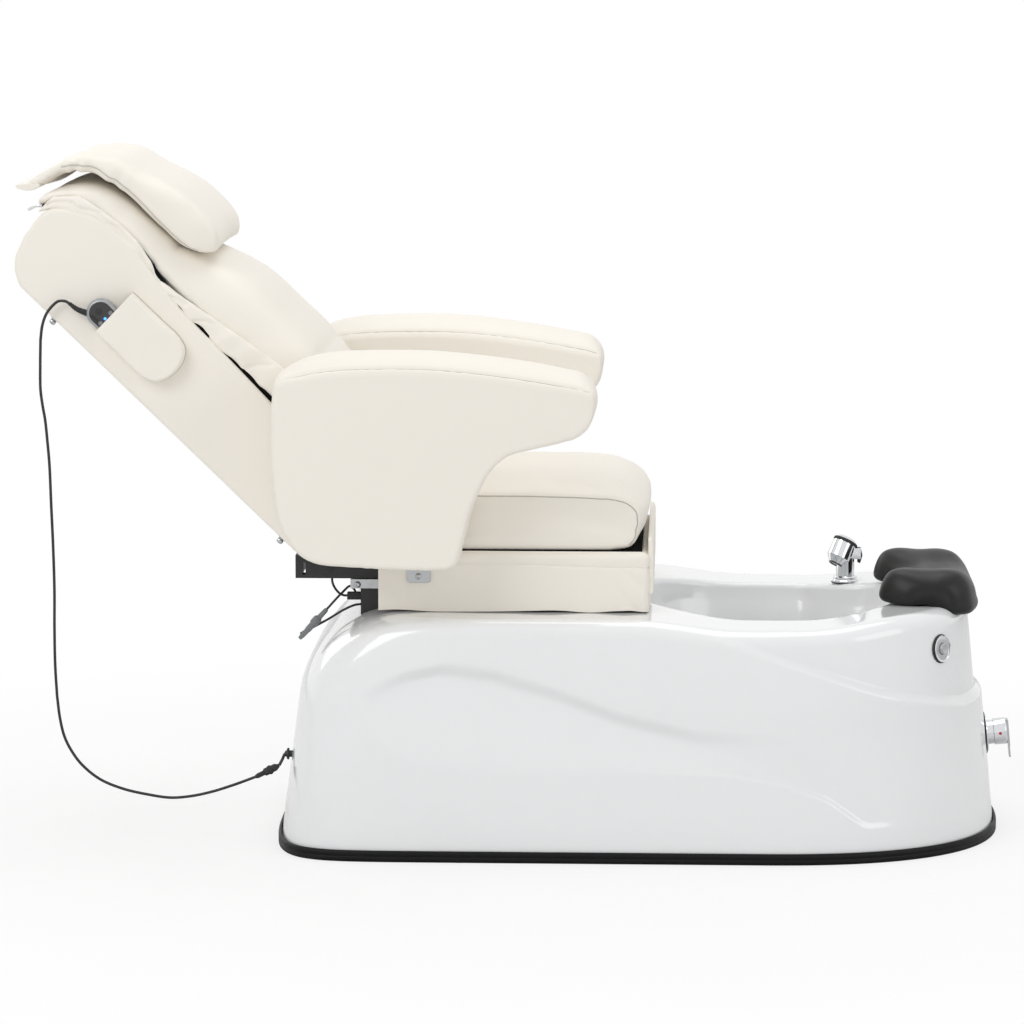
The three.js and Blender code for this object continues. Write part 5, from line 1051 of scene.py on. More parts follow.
@dataclass
class Wiring:
    """The handset's cord, its connector, and the leads at the pedestal."""

    cord_radius: float = 2.4
    lead_radius: float = 2.0
    coupling_at: tuple[float, float, float] = (-446.0, -196.0, 108.0)
    coupling_to: tuple[float, float, float] = (-407.0, -192.0, 127.0)
    gland_at: tuple[float, float, float] = (-397.0, -185.0, 146.0)

    def build(self) -> None:
        """Makes every cord and what is on it."""
        coupling = self._coupling()
        self._gland()
        Cord(
            "handset_cord_upper", UPPER_ROUTE, self.cord_radius, "cord_upper", ("handset", "backrest")
        ).build()
        Cord(
            "handset_cord_middle", MIDDLE_ROUTE, self.cord_radius, "cord_middle", ("backrest", "seat"),
            settle=0.6, count=160
        ).build()
        Cord(
            "handset_cord_lower", LOWER_ROUTE, self.cord_radius, "cord_lower", ("seat", "tub"),
            "connector", 150
        ).build(coupling)
        Cord(
            "lead_loop", LOOP_ROUTE, self.lead_radius, "harness_lead_loop", ("seat", "tub"), count=50
        ).build()
        tail_plug = self._tail_plug()
        Cord(
            "lead_tail", TAIL_ROUTE, self.lead_radius, "harness_lead_tail", ("tub", "tub"), "plug", 70
        ).build(tail_plug)
        tip = self._lead_tip()
        Cord(
            "lead_return", RETURN_ROUTE, self.lead_radius, "harness_lead_return", ("tub", "tub"),
            "connector", 70
        ).build(tip)

    def _coupling(self) -> bpy.types.Object:
        """The in-line connector: two ribbed halves and a joint ring."""
        way = np.subtract(self.coupling_to, self.coupling_at)
        profile = [(2.4, -1), (3.4, 0), (3.7, 2)]
        for k in range(4):
            profile += [(3.9, 3 + 3 * k), (4.5, 4 + 3 * k), (4.5, 5 + 3 * k), (3.9, 5.6 + 3 * k)]
        profile += [
            (6.0, 16), (6.6, 18), (6.6, 23), (7.8, 24), (7.9, 25), (7.9, 28), (7.4, 29), (6.3, 29.6)
        ]
        profile += [(6.2, 36), (5.6, 38), (4.2, 40), (3.4, 42), (2.6, 43.4)]
        form = Form.turned("cord_coupling", profile, self.coupling_at, way, 40)
        return form.finished(BLACK_PLASTIC, "tub", 35, ("cord_connector",))

    def _gland(self) -> None:
        """The grommet in the tub's rear wall and the stub that enters it."""
        stub = smooth_line([self.coupling_to, (-402, -188.5, 136.5), self.gland_at, (-388, -185, 146)], 30)
        Form.tube("gland_stub", stub, 2.6, 14).finished(CORD_RUBBER, "tub")
        profile = [
            (5.6, 4), (5.6, -1), (9.6, -1.4), (10, -2.4), (9.8, -4), (8.6, -5.2), (5.6, -6), (4.6, -8.4),
            (3.1, -9), (3.0, -4)
        ]
        wall = (-389.02, self.gland_at[1], self.gland_at[2])
        Form.turned(
            "wall_grommet", profile, wall, (1, 0, 0), 40
        ).finished(CORD_RUBBER, "tub", 35, ("cord_gland",))

    def _tail_plug(self) -> bpy.types.Object:
        """The long in-line plug that hangs on the tail lead."""
        profile = [(2.0, -1), (3.2, 0), (4.0, 3), (4.2, 9), (4.6, 18), (6.4, 20), (7.5, 22), (7.5, 32)]
        profile += [(6.8, 34), (5.6, 35), (5.4, 46), (4.6, 50), (4.4, 60), (3.4, 66), (2.6, 68)]
        form = Form.turned("tail_plug", profile, (-328, -154, 389), (-25, -3, -27), 36)
        return form.finished(GREY_PLASTIC, "tub", 35, ("harness_plug_tail",))

    def _lead_tip(self) -> bpy.types.Object:
        """The small connector on the end of the returning lead."""
        profile = [(2.0, -1), (2.9, 0), (3.3, 2), (3.3, 8), (2.9, 9), (2.9, 12), (2.2, 13)]
        form = Form.turned("lead_tip", profile, (-362, -146, 351), (-15, -3, -8), 32)
        return form.finished(BLACK_PLASTIC, "tub", 35)


# ---------------------------------------------------------------- tub


@dataclass
class Tub:
    """The one-piece moulded tub: skirt, deck and foot basin, with its bumper strip."""

    mid_x: float = 400.0
    front_reach: float = 411.0
    rear_reach: float = 808.0
    half_width: float = 363.0
    foot_z: float = 5.0
    deck_z: float = 400.0
    rim_dip: float = 17.0
    dip_start: float = 200.0
    dip_end: float = 660.0
    dip_ramp: float = 180.0
    side_lean: float = 0.075
    front_lean: float = 0.1
    rear_lean: float = 0.13
    side_brow: float = 26.0
    rear_brow: float = 150.0
    neck: float = 12.0
    hollow: float = 13.0
    shelf: float = 6.0
    stations: int = 300
    basin_x: float = 417.0
    basin_length: float = 223.0
    basin_width: float = 194.0
    basin_floor: float = 115.0
    lip: float = 10.0
    wall: float = 5.0
    spray: tuple[float, float] = (559.0, 172.0)

    LOWER = (
        (-286, 0.62), (-275, 0.56), (-239, 0.47), (-171, 0.39), (-67, 0.36), (304, 0.37), (364, 0.36),
        (451, 0.32), (521, 0.25), (581, 0.14)
    )
    CREASE = (
        (-286, 0.69), (-225, 0.77), (-161, 0.8), (-67, 0.775), (63, 0.69), (166, 0.6), (296, 0.53),
        (502, 0.515)
    )
    UPPER = ((215, 1.02), (623, 0.7), (775, 0.61))
    FADE = ((-286, 0), (-200, 1), (230, 1), (500, 0))
    SHELF_FADE = ((230, 0), (370, 1), (560, 1), (640, 0))

    def deck(self, x: Array | float) -> Array:
        """Height of the deck at x."""
        down = rise(x, self.dip_start, self.dip_start + self.dip_ramp)
        up = rise(x, self.dip_end - self.dip_ramp, self.dip_end)
        return self.deck_z - self.rim_dip * (down - up)

    def plan(self, count: int) -> Array:
        """Unit plan outline, evenly spaced.

        Args:
            count: how many stations.

        Returns:
            Rows of a share along and a share across.
        """
        angle = np.linspace(0, 2 * math.pi, 6001)
        c, s = np.cos(angle), np.sin(angle)
        along_power = np.where(c >= 0, 2.4, 18.0)
        across_power = np.where(c >= 0, 2.4, 4.0)
        xi = np.sign(c) * np.abs(c) ** (2 / along_power)
        eta = np.sign(s) * np.abs(s) ** (2 / across_power)
        reach = np.where(xi > 0, self.front_reach, self.rear_reach)
        place = np.stack([xi * reach, eta * self.half_width], axis=-1)
        run = np.concatenate([[0], np.cumsum(np.linalg.norm(np.diff(place, axis=0), axis=1))])
        at = np.linspace(0, run[-1], count, endpoint=False)
        return np.stack([np.interp(at, run, xi), np.interp(at, run, eta)], axis=-1)

    @staticmethod
    def _rounding(radius: float, drop: Array) -> Array:
        """How far a wall has rounded over at a drop below the deck."""
        left = np.clip(radius - np.maximum(drop, 0), 0, radius)
        return radius - np.sqrt(radius**2 - left**2)

    def _deck_at(self, xi: Array) -> Array:
        """Height of the deck where each station's wall meets it."""
        front = self.front_reach - self.front_lean * self.deck_z - self.side_brow - self.neck
        rear = self.rear_reach - self.rear_lean * self.deck_z - self.rear_brow
        return self.deck(self.mid_x + xi * np.where(xi > 0, front, rear))

    def wall_point(self, plan: Array, z: Array, grow: float = 0.0) -> Array:
        """Points of the outer wall.

        Args:
            plan: stations of the plan outline.
            z: a height for each.
            grow: how far outside the wall.

        Returns:
            Rows of x, y, z.
        """
        xi, eta = plan[:, 0], plan[:, 1]
        base_x = self.mid_x + xi * np.where(xi > 0, self.front_reach, self.rear_reach)
        drop = self._deck_at(xi) - z
        ridge = self.deck_z * along(self.UPPER, base_x)
        low = self.deck_z * along(self.LOWER, base_x)
        crease = self.deck_z * along(self.CREASE, base_x)
        step_in = rise(z, ridge - 8, ridge + 8) * rise(base_x, 215, 560)
        leaf = rise(z, low, crease - 14) * (
            1 - rise(z, crease - 15, crease + 13)
        ) * along(self.FADE, base_x)
        swoosh = rise(z, low, low + 11) * (1 - rise(z, low + 11, crease)) * along(self.SHELF_FADE, base_x)
        taken = self.neck * step_in + self.hollow * leaf + self.shelf * swoosh
        side = self.side_lean * z + self._rounding(self.side_brow, drop) + taken
        front = self.front_lean * z + self._rounding(self.side_brow, drop) + self.neck * step_in
        rear = self.rear_lean * z + self._rounding(self.rear_brow, drop)
        reach = np.where(xi > 0, self.front_reach - front, self.rear_reach - rear)
        x = self.mid_x + xi * (reach + grow)
        return np.stack([x, eta * (self.half_width - side + grow), np.broadcast_to(z, x.shape)], axis=-1)

    def _heights(self, plan: Array) -> list[Array]:
        """Heights of the wall's rings, drawn close together at its relief lines."""
        xi = plan[:, 0]
        base_x = self.mid_x + xi * np.where(xi > 0, self.front_reach, self.rear_reach)
        deck = self._deck_at(xi)
        low = self.deck_z * along(self.LOWER, base_x)
        crease = self.deck_z * along(self.CREASE, base_x)
        brow = deck - self.side_brow
        ridge = np.minimum(self.deck_z * along(self.UPPER, base_x), brow - 16)
        marks = [
            np.full_like(deck, self.foot_z), low - 4, low + 14, crease - 18, crease + 15, ridge - 9,
            ridge + 9, brow
        ]
        for k in range(1, len(marks)):
            marks[k] = np.maximum(marks[k], marks[k - 1] + 1)
        heights = []
        for k, count in enumerate((16, 8, 16, 10, 14, 10, 8)):
            for i in range(count):
                heights.append(marks[k] + (marks[k + 1] - marks[k]) * i / count)
        for i in range(25):
            share = 1 - (1 - i / 24) ** 2
            heights.append(marks[-1] + (deck - marks[-1]) * share)
        return heights

    def _rim(self, direction: Array, inward: float, ledge: float) -> Array:
        """Points of the basin's outline in given directions from its middle.

        Args:
            direction: unit vectors in plan.
            inward: how far inside the rim.
            ledge: how much of the spray's ledge is taken off, from 0 to 1.

        Returns:
            Rows of x, y.
        """
        a, b, power = self.basin_length - inward, self.basin_width - inward, 2.5
        c, s = direction[:, 0], direction[:, 1]
        radius = (np.abs(c / a) ** power + np.abs(s / b) ** power) ** (-1 / power)
        x, y = self.basin_x + c * radius, s * radius
        share = np.clip(2 * np.abs(y / b) ** (power / 2), 0, 1) * (y > 0)
        step = 32 * ledge * np.exp(-(((x - self.spray[0]) / 48) ** 2)) * share
        return np.stack([x, y - step], axis=-1)

    def build(self) -> None:
        """Makes the tub and its strip, with holes for its fittings."""
        plan = self.plan(self.stations)
        rings = [self.wall_point(plan, z) for z in self._heights(plan)]
        edge = rings[-1]
        aim = edge[:, :2] - (self.basin_x, 0)
        aim /= np.linalg.norm(aim, axis=1)[:, None]
        outer = self._rim(aim, -self.lip, 1)
        for share in np.linspace(0.05, 1, 14):
            flat = edge[:, :2] + (outer - edge[:, :2]) * share
            rings.append(np.column_stack([flat, self.deck(flat[:, 0])]))
        for turn in np.linspace(0, math.pi / 2, 8)[1:]:
            flat = self._rim(aim, -self.lip * (1 - math.sin(turn)), 1)
            rings.append(np.column_stack([flat, self.deck(flat[:, 0]) - self.lip * (1 - math.cos(turn))]))
        top = self.deck_z - self.rim_dip
        floor = self.basin_floor
        wall = [
            (1, top - 22), (12, top - 60), (28, floor + 52), (38, floor + 26), (56, floor + 9),
            (84, floor + 1.5), (110, floor), (150, floor)
        ]
        for inward, z in smooth_line(wall, 34):
            ledge = float(np.interp(z, [floor + 52, top - 60, top - 4], [0, 0.75, 1]))
            rings.append(np.column_stack([self._rim(aim, inward, ledge), np.full(len(aim), z)]))
        form = Form.loft("tub_shell", np.stack(rings), start=False)
        form.object.data.materials.append(GELCOAT.material())
        form.object.data.materials.append(LAMINATE.material())
        form.changed(
            "SOLIDIFY", thickness=self.wall * MM, offset=-1, material_offset=1, use_quality_normals=True
        )
        self._cut_holes(form)
        form.finished(GELCOAT, "tub", 50, ("tub_skirt", "basin_bowl"))
        self._strip()

    def _cut_holes(self, form: Form) -> None:
        """Cuts the holes that the fittings go through."""
        deck = float(self.deck(self.spray[0]))
        rods = [
            ((*self.spray, deck - 20), (0, 0, 1), 40, 19.0),
            ((-420, -185, 146), (1, 0, 0), 80, 6.0),
            ((self.basin_x, 0, self.basin_floor - 20), (0, 0, 1), 40, 20.0),
        ]
        cutters = [
            Form.turned(f"cutter_{k}", [(r, 0), (r, length)], at, way, 40) for k,
            (at, way, length, r) in enumerate(rods)
        ]
        cutters.append(Form.block("cutter_inlet", (-430, 130 - 22, 80 - 12), (-340, 130 + 22, 80 + 12), 1))
        for cutter in cutters:
            form.changed("BOOLEAN", operation="DIFFERENCE", object=cutter.object, solver="FAST")
            bpy.data.objects.remove(cutter.object)

    def _strip(self) -> None:
        """Sweeps the rubber strip round the foot."""
        plan = self.plan(520)
        foot = self.wall_point(plan, np.full(len(plan), self.foot_z))
        joint = np.exp(-(((foot[:, 0] + 90) / 2.5) ** 2)) * (foot[:, 1] < 0)
        profile = [
            (-14, 0.2), (4.2, 0.2), (5, 1.0), (5, 8.6), (4.4, 9.4), (5, 10.2), (5, 13.5), (4.6, 16.5),
            (3.4, 18.5), (1.6, 19), (0.3, 18.4), (0.3, 4.6), (-14, 4.6)
        ]
        rings = []
        for grow, z in [*profile, profile[0]]:
            swell = 0.6 * joint * (grow > 2)
            ring = np.stack(
                [
                    self.wall_point(plan[k : k + 1], np.array([self.foot_z]), grow + float(swell[k]))[0]
                    for k in range(len(plan))
                ]
            )
            ring[:, 2] = z
            rings.append(ring)
        form = Form.loft("foot_strip", np.stack(rings), start=False, end=False).welded()
        form.finished(STRIP_RUBBER, "tub", 50, ("bumper_strip",))


# ---------------------------------------------------------------- soft forms


class Soft(Form):
    """A stuffed form: blown up as cloth, then sewn, gathered and rumpled."""

    def blown(
        self, voxel: float, cap: float, pinned: Callable[[Array], Array] | None = None,
        pressure: float = 4.0, frames: int = 18
    ) -> "Soft":
        """Swells the form under pressure and smooths it.

        Args:
            voxel: size of the remeshed faces in millimetres.
            cap: how far a point may move, in millimetres.
            pinned: gives a share from 0 to 1 by which each point is held, from points in metres.
            pressure: the cloth's pressure.
            frames: how many frames it runs.

        Returns:
            This form.
        """
        self.changed("REMESH", mode="VOXEL", voxel_size=voxel * MM, use_smooth_shade=True)
        rest = self.points()
        hold = pinned(rest) if pinned else np.zeros(len(rest))
        group = self.object.vertex_groups.new(name="held")
        for k in np.nonzero(hold > 0.02)[0]:
            group.add([int(k)], float(hold[k]), "REPLACE")
        cloth = self.object.modifiers.new("Cloth", "CLOTH")
        cloth.settings.use_pressure = True
        cloth.settings.uniform_pressure_force = pressure
        cloth.settings.quality = CLOTH_STEPS
        cloth.settings.mass = CLOTH_MASS
        cloth.settings.tension_stiffness = CLOTH_STIFFNESS
        cloth.settings.compression_stiffness = CLOTH_STIFFNESS
        cloth.settings.bending_stiffness = CLOTH_BENDING
        cloth.settings.effector_weights.gravity = 0
        cloth.settings.vertex_group_mass = "held"
        cloth.point_cache.frame_end = frames + 2
        for frame_number in range(1, frames + 1):
            bpy.context.scene.frame_set(frame_number)
        graph = bpy.context.evaluated_depsgraph_get()
        made = self.object.evaluated_get(graph).to_mesh()
        blown = np.empty(len(made.vertices) * 3)
        made.vertices.foreach_get("co", blown)
        self.object.evaluated_get(graph).to_mesh_clear()
        self.object.modifiers.clear()
        self.object.vertex_groups.clear()
        bpy.context.scene.frame_set(1)
        way = blown.reshape(-1, 3) - rest
        far = np.linalg.norm(way, axis=1)[:, None] + 1e-9
        limit = cap * MM * np.tanh(far / (cap * MM))
        self.move_points(rest + way / far * limit)
        self.changed("SMOOTH", factor=0.5, iterations=6)
        return self.changed("SUBSURF", levels=1, render_levels=1)  # type: ignore[return-value]

    def sewn(self, seam: Array, depth: float, width: float) -> "Soft":
        """Draws the surface in along a seam.

        Args:
            seam: points along it, in chair millimetres.
            depth: how deep, in millimetres.
            width: how wide, in millimetres.

        Returns:
            This form.
        """
        points, _, far = self._near(seam)
        pull = depth * MM * np.exp(-((far / (width * MM)) ** 2))
        self.move_points(points - self.normals() * pull[:, None])
        return self

    def gathered(self, seam: Array, height: float, wave: float, reach: float, seed: float = 0.0) -> "Soft":
        """Puckers the surface beside a seam.

        Args:
            seam: points along it, in chair millimetres.
            height: height of the puckers, in millimetres.
            wave: distance between them, in millimetres.
            reach: how far from the seam they run, in millimetres.
            seed: shifts their pattern.

        Returns:
            This form.
        """
        points, along_seam, far = self._near(seam)
        phase = 2 * math.pi * along_seam / (wave * MM)
        wobble = np.sin(phase + 1.3 * np.sin(0.37 * phase + seed)) * (
            0.6 + 0.4 * np.sin(0.23 * phase + 2 * seed)
        )
        lift = height * MM * wobble * np.exp(-far / (reach * MM))
        self.move_points(points + self.normals() * lift[:, None])
        return self

    def rumpled(
        self, height: float, wave: tuple[float, float, float],
        where: Callable[[Array], Array] | None = None, seed: float = 0.0
    ) -> "Soft":
        """Adds slack folds.

        Args:
            height: their height in millimetres.
            wave: their length along each axis in millimetres.
            where: a share from 0 to 1 for each point in metres.
            seed: shifts their pattern.

        Returns:
            This form.
        """
        points = self.points()
        scaled = points / (np.array(wave) * MM) + seed
        bend = np.sin(scaled[:, [1, 2, 0]] * 0.7 + 1.7 * np.sin(scaled[:, [2, 0, 1]] * 0.53))
        folds = np.sin(
            2 * (scaled[:, 0] + scaled[:, 1] + scaled[:, 2]) + 1.6 * bend[:, 0] + 1.1 * bend[:, 1]
        )
        folds = np.sign(folds) * np.abs(folds) ** 0.8 * (0.55 + 0.45 * bend[:, 2])
        share = where(points) if where else 1.0
        self.move_points(points + self.normals() * (height * MM * folds * share)[:, None])
        return self

    def piped(
        self, name: str, seam: Array, radius: float, finish: Finish, body: str, sink: float = 0.0,
        closed: bool = False
    ) -> bpy.types.Object:
        """Lays a cord of piping on the surface, or a dark tube along a sewn seam as painted shade of its
        groove.

        Args:
            name: its name.
            seam: points near the surface, in chair millimetres.
            radius: its radius in millimetres.
            finish: its finish.
            body: the body that it rides on.
            sink: how far it is sunk, in millimetres.
            closed: whether it is a loop.

        Returns:
            The piping.
        """
        tree = self.tree()
        path = []
        for point in to_row(seam):
            found, normal, _, _ = tree.find_nearest(Vector(point))
            path.append(np.array(found) - np.array(normal) * sink * MM)
        line = np.array(path) / MM - (SHIFT_X, 0, 0)
        line = smooth_line(spread(line, max(12, len(line) // 3), closed), len(line), closed)
        return Form.tube(name, line, radius, 8, closed).finished(finish, body)

    def _near(self, seam: Array) -> tuple[Array, Array, Array]:
        """Where each vertex is beside a seam.

        Args:
            seam: points along it, in chair millimetres.

        Returns:
            The vertices, how far along the seam each is, and how far from it, in metres.
        """
        line = to_row(seam)
        run = np.concatenate([[0], np.cumsum(np.linalg.norm(np.diff(line, axis=0), axis=1))])
        points = self.points()
        best = np.full(len(points), np.inf)
        at = np.zeros(len(points))
        for k in range(len(line) - 1):
            step = line[k + 1] - line[k]
            long = float(step @ step) + 1e-18
            share = np.clip((points - line[k]) @ step / long, 0, 1)
            far = np.linalg.norm(points - line[k] - share[:, None] * step, axis=1)
            closer = far < best
            best = np.where(closer, far, best)
            at = np.where(closer, run[k] + share * (run[k + 1] - run[k]), at)
        return points, at, best


# ---------------------------------------------------------------- upholstery


@dataclass
class Seat:
    """Seat cushion, the upholstered box under it and its front apron."""

    rear_x: float = -282.0
    front_x: float = 204.0
    half_y: float = 235.0
    bottom_z: float = 500.2
    crown: float = 36.0
    base_half_y: float = 240.0
    base_front_x: float = 216.0
    base_rear_x: float = -234.0
    skirt_z: tuple[float, float] = (402.5, 499.6)

    SECTION = (
        (-22, 0, 0, 0), (-10, 7, 0, 0), (-3, 20, 2, 0), (1, 36, 9, 0), (4, 49, 17, 1), (4, 64, 22, 3),
        (-3, 77, 19, 9), (-17, 87, 12, 15), (-38, 93, 4, 19), (-75, 96, 0, 21), (-150, 97, 0, 21),
        (-230, 97, 0, 20), (-330, 96, 0, 16), (-430, 95, 0, 11), (-474, 92, 0, 10), (-484, 80, 0, 4),
        (-486, 60, 0, 0), (-486, 20, 0, 0), (-480, 4, 0, 0),
    )
    SEAM = (
        (-282, 598), (-180, 601), (-60, 600), (36, 598), (136, 595), (164, 592), (182, 586), (194, 577),
        (201, 564), (204, 549), (202, 535), (198, 521), (189, 509)
    )

    def build(self) -> None:
        """Makes the cushion, box and apron, and a black strip between cushion and box as painted shade of
        their gap.
        """
        self._cushion()
        self._skirt()
        # A black slab under the cushion's edge: painted shade of the gap between cushion and box.
        shade_strip = Form.block("cushion_gap_shade", (-276, -229, 499.9), (193, 229, 504.2), 1.0)
        shade_strip.finished(GAP_SHADE, "seat")
        apron = [(216.3, 430), (223, 431), (225.3, 436), (225.3, 514), (222.5, 522), (216.3, 523)]
        form = Soft.slab("apron_pad", spread(np.array(apron), 60, True), -232, 232, 2.5)
        form.finished(HIDE, "seat", 50, ("seat_apron",))

    def _cushion(self) -> None:
        """Makes the cushion: a crowned box whose side panels are drawn in by seams."""
        section = np.array(self.SECTION, float)
        dense = smooth_line(section, 150, True)
        rings = []
        for share in np.sin(np.linspace(-math.pi / 2, math.pi / 2, 46)):
            swell = math.sqrt(max(0.0, 1 - abs(share) ** 2.6))
            flat = np.stack(
                [dense[:, 0] + dense[:, 2] * swell, dense[:, 1] + dense[:, 3] * swell * (self.crown / 36)],
                axis=-1
            )
            flat = inset(flat, 3.0 + 3.5 * rise(abs(share), 0.97, 1.0))
            rings.append(
                np.stack(
                    [
                        self.front_x + flat[:, 0], np.full(len(flat), share * (self.half_y - 3)),
                        self.bottom_z + 2.2 + np.maximum(flat[:, 1], 0)
                    ],
                    axis=-1
                )
            )
        form = Soft.loft("seat_cushion_cover", np.stack(rings))
        floor = (self.bottom_z + 12) * MM
        form.blown(7.5, 6, lambda p: 1 - rise(p[:, 2], floor, floor + 0.02))
        seams = []
        for side in (-1, 1):
            line = smooth_line([(x, side * (self.half_y + 1), z) for x, z in self.SEAM], 170)
            seams.append(line)
            form.sewn(line, 3.6, 5.0).gathered(line, 0.8, 23, 14, side)
        form.rumpled(1.1, (90, 160, 60), lambda p: rise(p[:, 2], 0.56, 0.62), 0.4)
        # Dark tubes along both seams: painted shade of the seam grooves.
        for side, line in zip(("near", "far"), seams):
            form.piped(f"cushion_seam_shade_{side}", line, 1.0, SEAM_SHADE_HIDE, "seat", 0.2)
        made = form.finished(HIDE, "seat", 80, ("seat_cushion",))

    def _skirt(self) -> None:
        """Makes the skirt round the seat box, with its top band, and the board inside it."""
        r, y, x0, x1 = 9.0, self.base_half_y, self.base_rear_x, self.base_front_x
        turn = np.linspace(0, math.pi / 2, 10)
        corner = [(x1 - r + r * math.sin(a), -y + r - r * math.cos(a)) for a in turn]
        plan = [(x0, -y), *corner]
        plan += [(px, -py) for px, py in reversed(plan)]
        path = spread(np.array(plan, float), 420, False)
        way = np.gradient(path, axis=0)
        way /= np.linalg.norm(way, axis=1)[:, None]
        out = np.stack([way[:, 1], -way[:, 0]], axis=-1)
        run = np.arange(len(path)) / len(path) * 1360
        low, high = self.skirt_z
        seam_z = 483 - 7 * rise(path[:, 0], -99, 216)
        rows = []
        for share in np.concatenate([np.linspace(0, 0.72, 26), np.linspace(0.735, 1, 22)]):
            z = low + share * (high - low)
            z = z + (1 - share) ** 4 * 1.6 * np.sin(run / 31 + 1.4 * np.sin(run / 57))
            groove = -2.6 * np.exp(-(((z - seam_z) / 2.2) ** 2))
            roll = -9 * rise(z, high - 9, high + 1) ** 2
            hang = (1 - share) * (
                0.9 * np.sin(run / 19 + np.sin(run / 43)) + 0.7 * np.sin(run / 47 + z / 26)
            )
            crumple = 1.5 * np.exp(
                -(((path[:, 0] - 196) / 26) ** 2)
            ) * np.sin((z + path[:, 0]) / 7.5) * (z < 470)
            puff = 1.2 * np.exp(-(((z - (seam_z + high) / 2) / 6) ** 2))
            push = groove + roll + hang + crumple + puff - 1.5
            rows.append(np.column_stack([path + out * push[:, None], z]))
        form = Form.loft("seat_box_skirt", np.stack(rows), closed=False)
        form.changed("SOLIDIFY", thickness=0.0035, offset=1)
        form.finished(HIDE, "seat", 60, ("seat_base",))
        # A dark tube along the skirt's seam groove: painted shade of the groove.
        seam = np.column_stack([path + out * (-2.6), seam_z])
        Form.tube("skirt_seam_shade", seam, 0.8, 8).finished(SEAM_SHADE_HIDE, "seat")
        # The board is black: painted shade where it shows in the gap under the cushion.
        board = Form.block("seat_board", (self.rear_x, -y + 4, 486.2), (x1 - 5, y - 4, 499.7), 3)
        board.finished(GAP_SHADE, "seat")


@dataclass
class Arm:
    """One padded armrest: two side panels, and a crowned band sewn between them."""

    side: int
    inner_y: float = 246.0
    thickness: float = 124.0
    crown: float = 28.0
    seam_share: float = 0.055

    OUTLINE = (
        (-393, 797, 0.2), (-356, 806, 0.8), (-302, 814, 1), (-253, 817, 1), (-202, 818, 1),
        (-139, 817, 1), (-58, 810, 1), (24, 799, 1), (73, 791, 0.95), (112, 783.5, 0.85),
        (127, 779, 0.35), (131, 768, 0), (128, 744, 0), (118, 725, 0), (98, 709, 0), (68, 699, 0),
        (29, 690, 0), (-13, 678, 0), (-40, 654, 0), (-58, 623, 0), (-73, 588, 0), (-85, 541, 0),
        (-91, 518, 0), (-97, 500, 0), (-110, 491, 0), (-164, 489, 0), (-261, 493, 0), (-331, 500, 0),
        (-358, 516, 0), (-377, 543, 0), (-389, 574, 0), (-396, 617, 0), (-400, 660, 0), (-401, 718, 0),
        (-399, 773, 0),
    )

    @property
    def name(self) -> str:
        """Which arm it is."""
        return "near" if self.side < 0 else "far"

    def _ring(
        self, outline: Array, share: float, inward: float, scale: float = 1.0, depth: float = 0.0
    ) -> Array:
        """One ring of the arm's skin.

        Args:
            outline: the dense outline with its crown weights.
            share: its place from the inner face to the outer.
            inward: how far inside the outline.
            scale: its size about the arm's middle.
            depth: how far it is pushed out across.

        Returns:
            Rows of x, y, z.
        """
        flat = inset(outline[:, :2], inward)
        flat = np.array((-205.0, 695.0)) + (flat - (-205.0, 695.0)) * scale
        swell = (1 - (2 * share - 1) ** 2) * self.crown * outline[:, 2] * (scale == 1.0)
        y = self.side * (self.inner_y + share * self.thickness + depth)
        return np.stack([flat[:, 0], np.full(len(flat), y), flat[:, 1] + swell], axis=-1)

    def build(self) -> None:
        """Makes the arm and its seams."""
        outline = smooth_line(self.OUTLINE, 420, True)
        seam = self.seam_share
        rings = [self._ring(outline, 0, 7, k) for k in np.linspace(0.02, 0.985, 14)]
        rings += [self._ring(outline, s, i) for s, i in ((0, 7), (0.012, 4.2), (0.03, 2.2), (0.044, 1.8))]
        rings += [self._ring(outline, seam + d, i) for d, i in ((-0.006, 2.4), (0, 3.4), (0.006, 2.4))]
        for share in np.linspace(seam + 0.02, 1 - seam - 0.02, 34):
            rings.append(
                self._ring(
                    outline, float(share),
                    0.4 - 1.4 * math.sin(math.pi * (share - seam) / (1 - 2 * seam)) ** 0.5
                )
            )
        rings += [self._ring(outline, 1 - seam + d, i) for d, i in ((-0.006, 2.4), (0, 3.4), (0.006, 2.4))]
        rings += [
            self._ring(outline, s, i) for s, i in ((0.956, 1.8), (0.97, 2.2), (0.984, 4.4), (0.992, 8))
        ]
        for k in np.linspace(0.985, 0.02, 26):
            rings.append(self._ring(outline, 0.992, 8, k, 1.0 * (1 - k) ** 0.5))
        form = Soft.loft(f"arm_cover_{self.name}", np.stack(rings))
        front = lambda p: rise(p[:, 0], 0.02, 0.13)
        form.rumpled(0.9, (70, 60, 45), front, 0.3 * self.side)
        form.rumpled(0.7, (150, 90, 130), None, 1.1 + self.side)
        # Each seam gets a dark tube: painted shade of its groove.
        for tag, share in (("inner", seam), ("outer", 1 - seam)):
            ring = self._ring(outline, share, 3.0)
            loop = np.vstack([ring, ring[:1]])
            form.gathered(loop, 0.45, 26, 9, self.side)
            form.piped(f"arm_seam_shade_{tag}_{self.name}", ring, 0.9, SEAM_SHADE_HIDE, "seat", 0.25, True)
        made = form.finished(HIDE, "seat", 80, (f"arm_{self.name}",))
        self._bracket()

    def _bracket(self) -> None:
        """Makes the steel plate that carries the arm, and its bolt."""
        y0, y1 = self.side * 240.3, self.side * 245.7
        outline = np.array([(-186, 450), (-146, 450), (-146, 560), (-186, 560)], float)
        flat = rounded_outline(outline, 5)
        Form.slab(f"arm_plate_{self.name}", flat, y0, y1, 0.8).finished(
            SATIN_CHROME, "seat", 35, (f"arm_bracket_{self.name}",)
        )
        bolt(f"arm_bolt_{self.name}", (-167, y1, 461), (0, self.side, 0), 5.2, "seat", SATIN_CHROME)


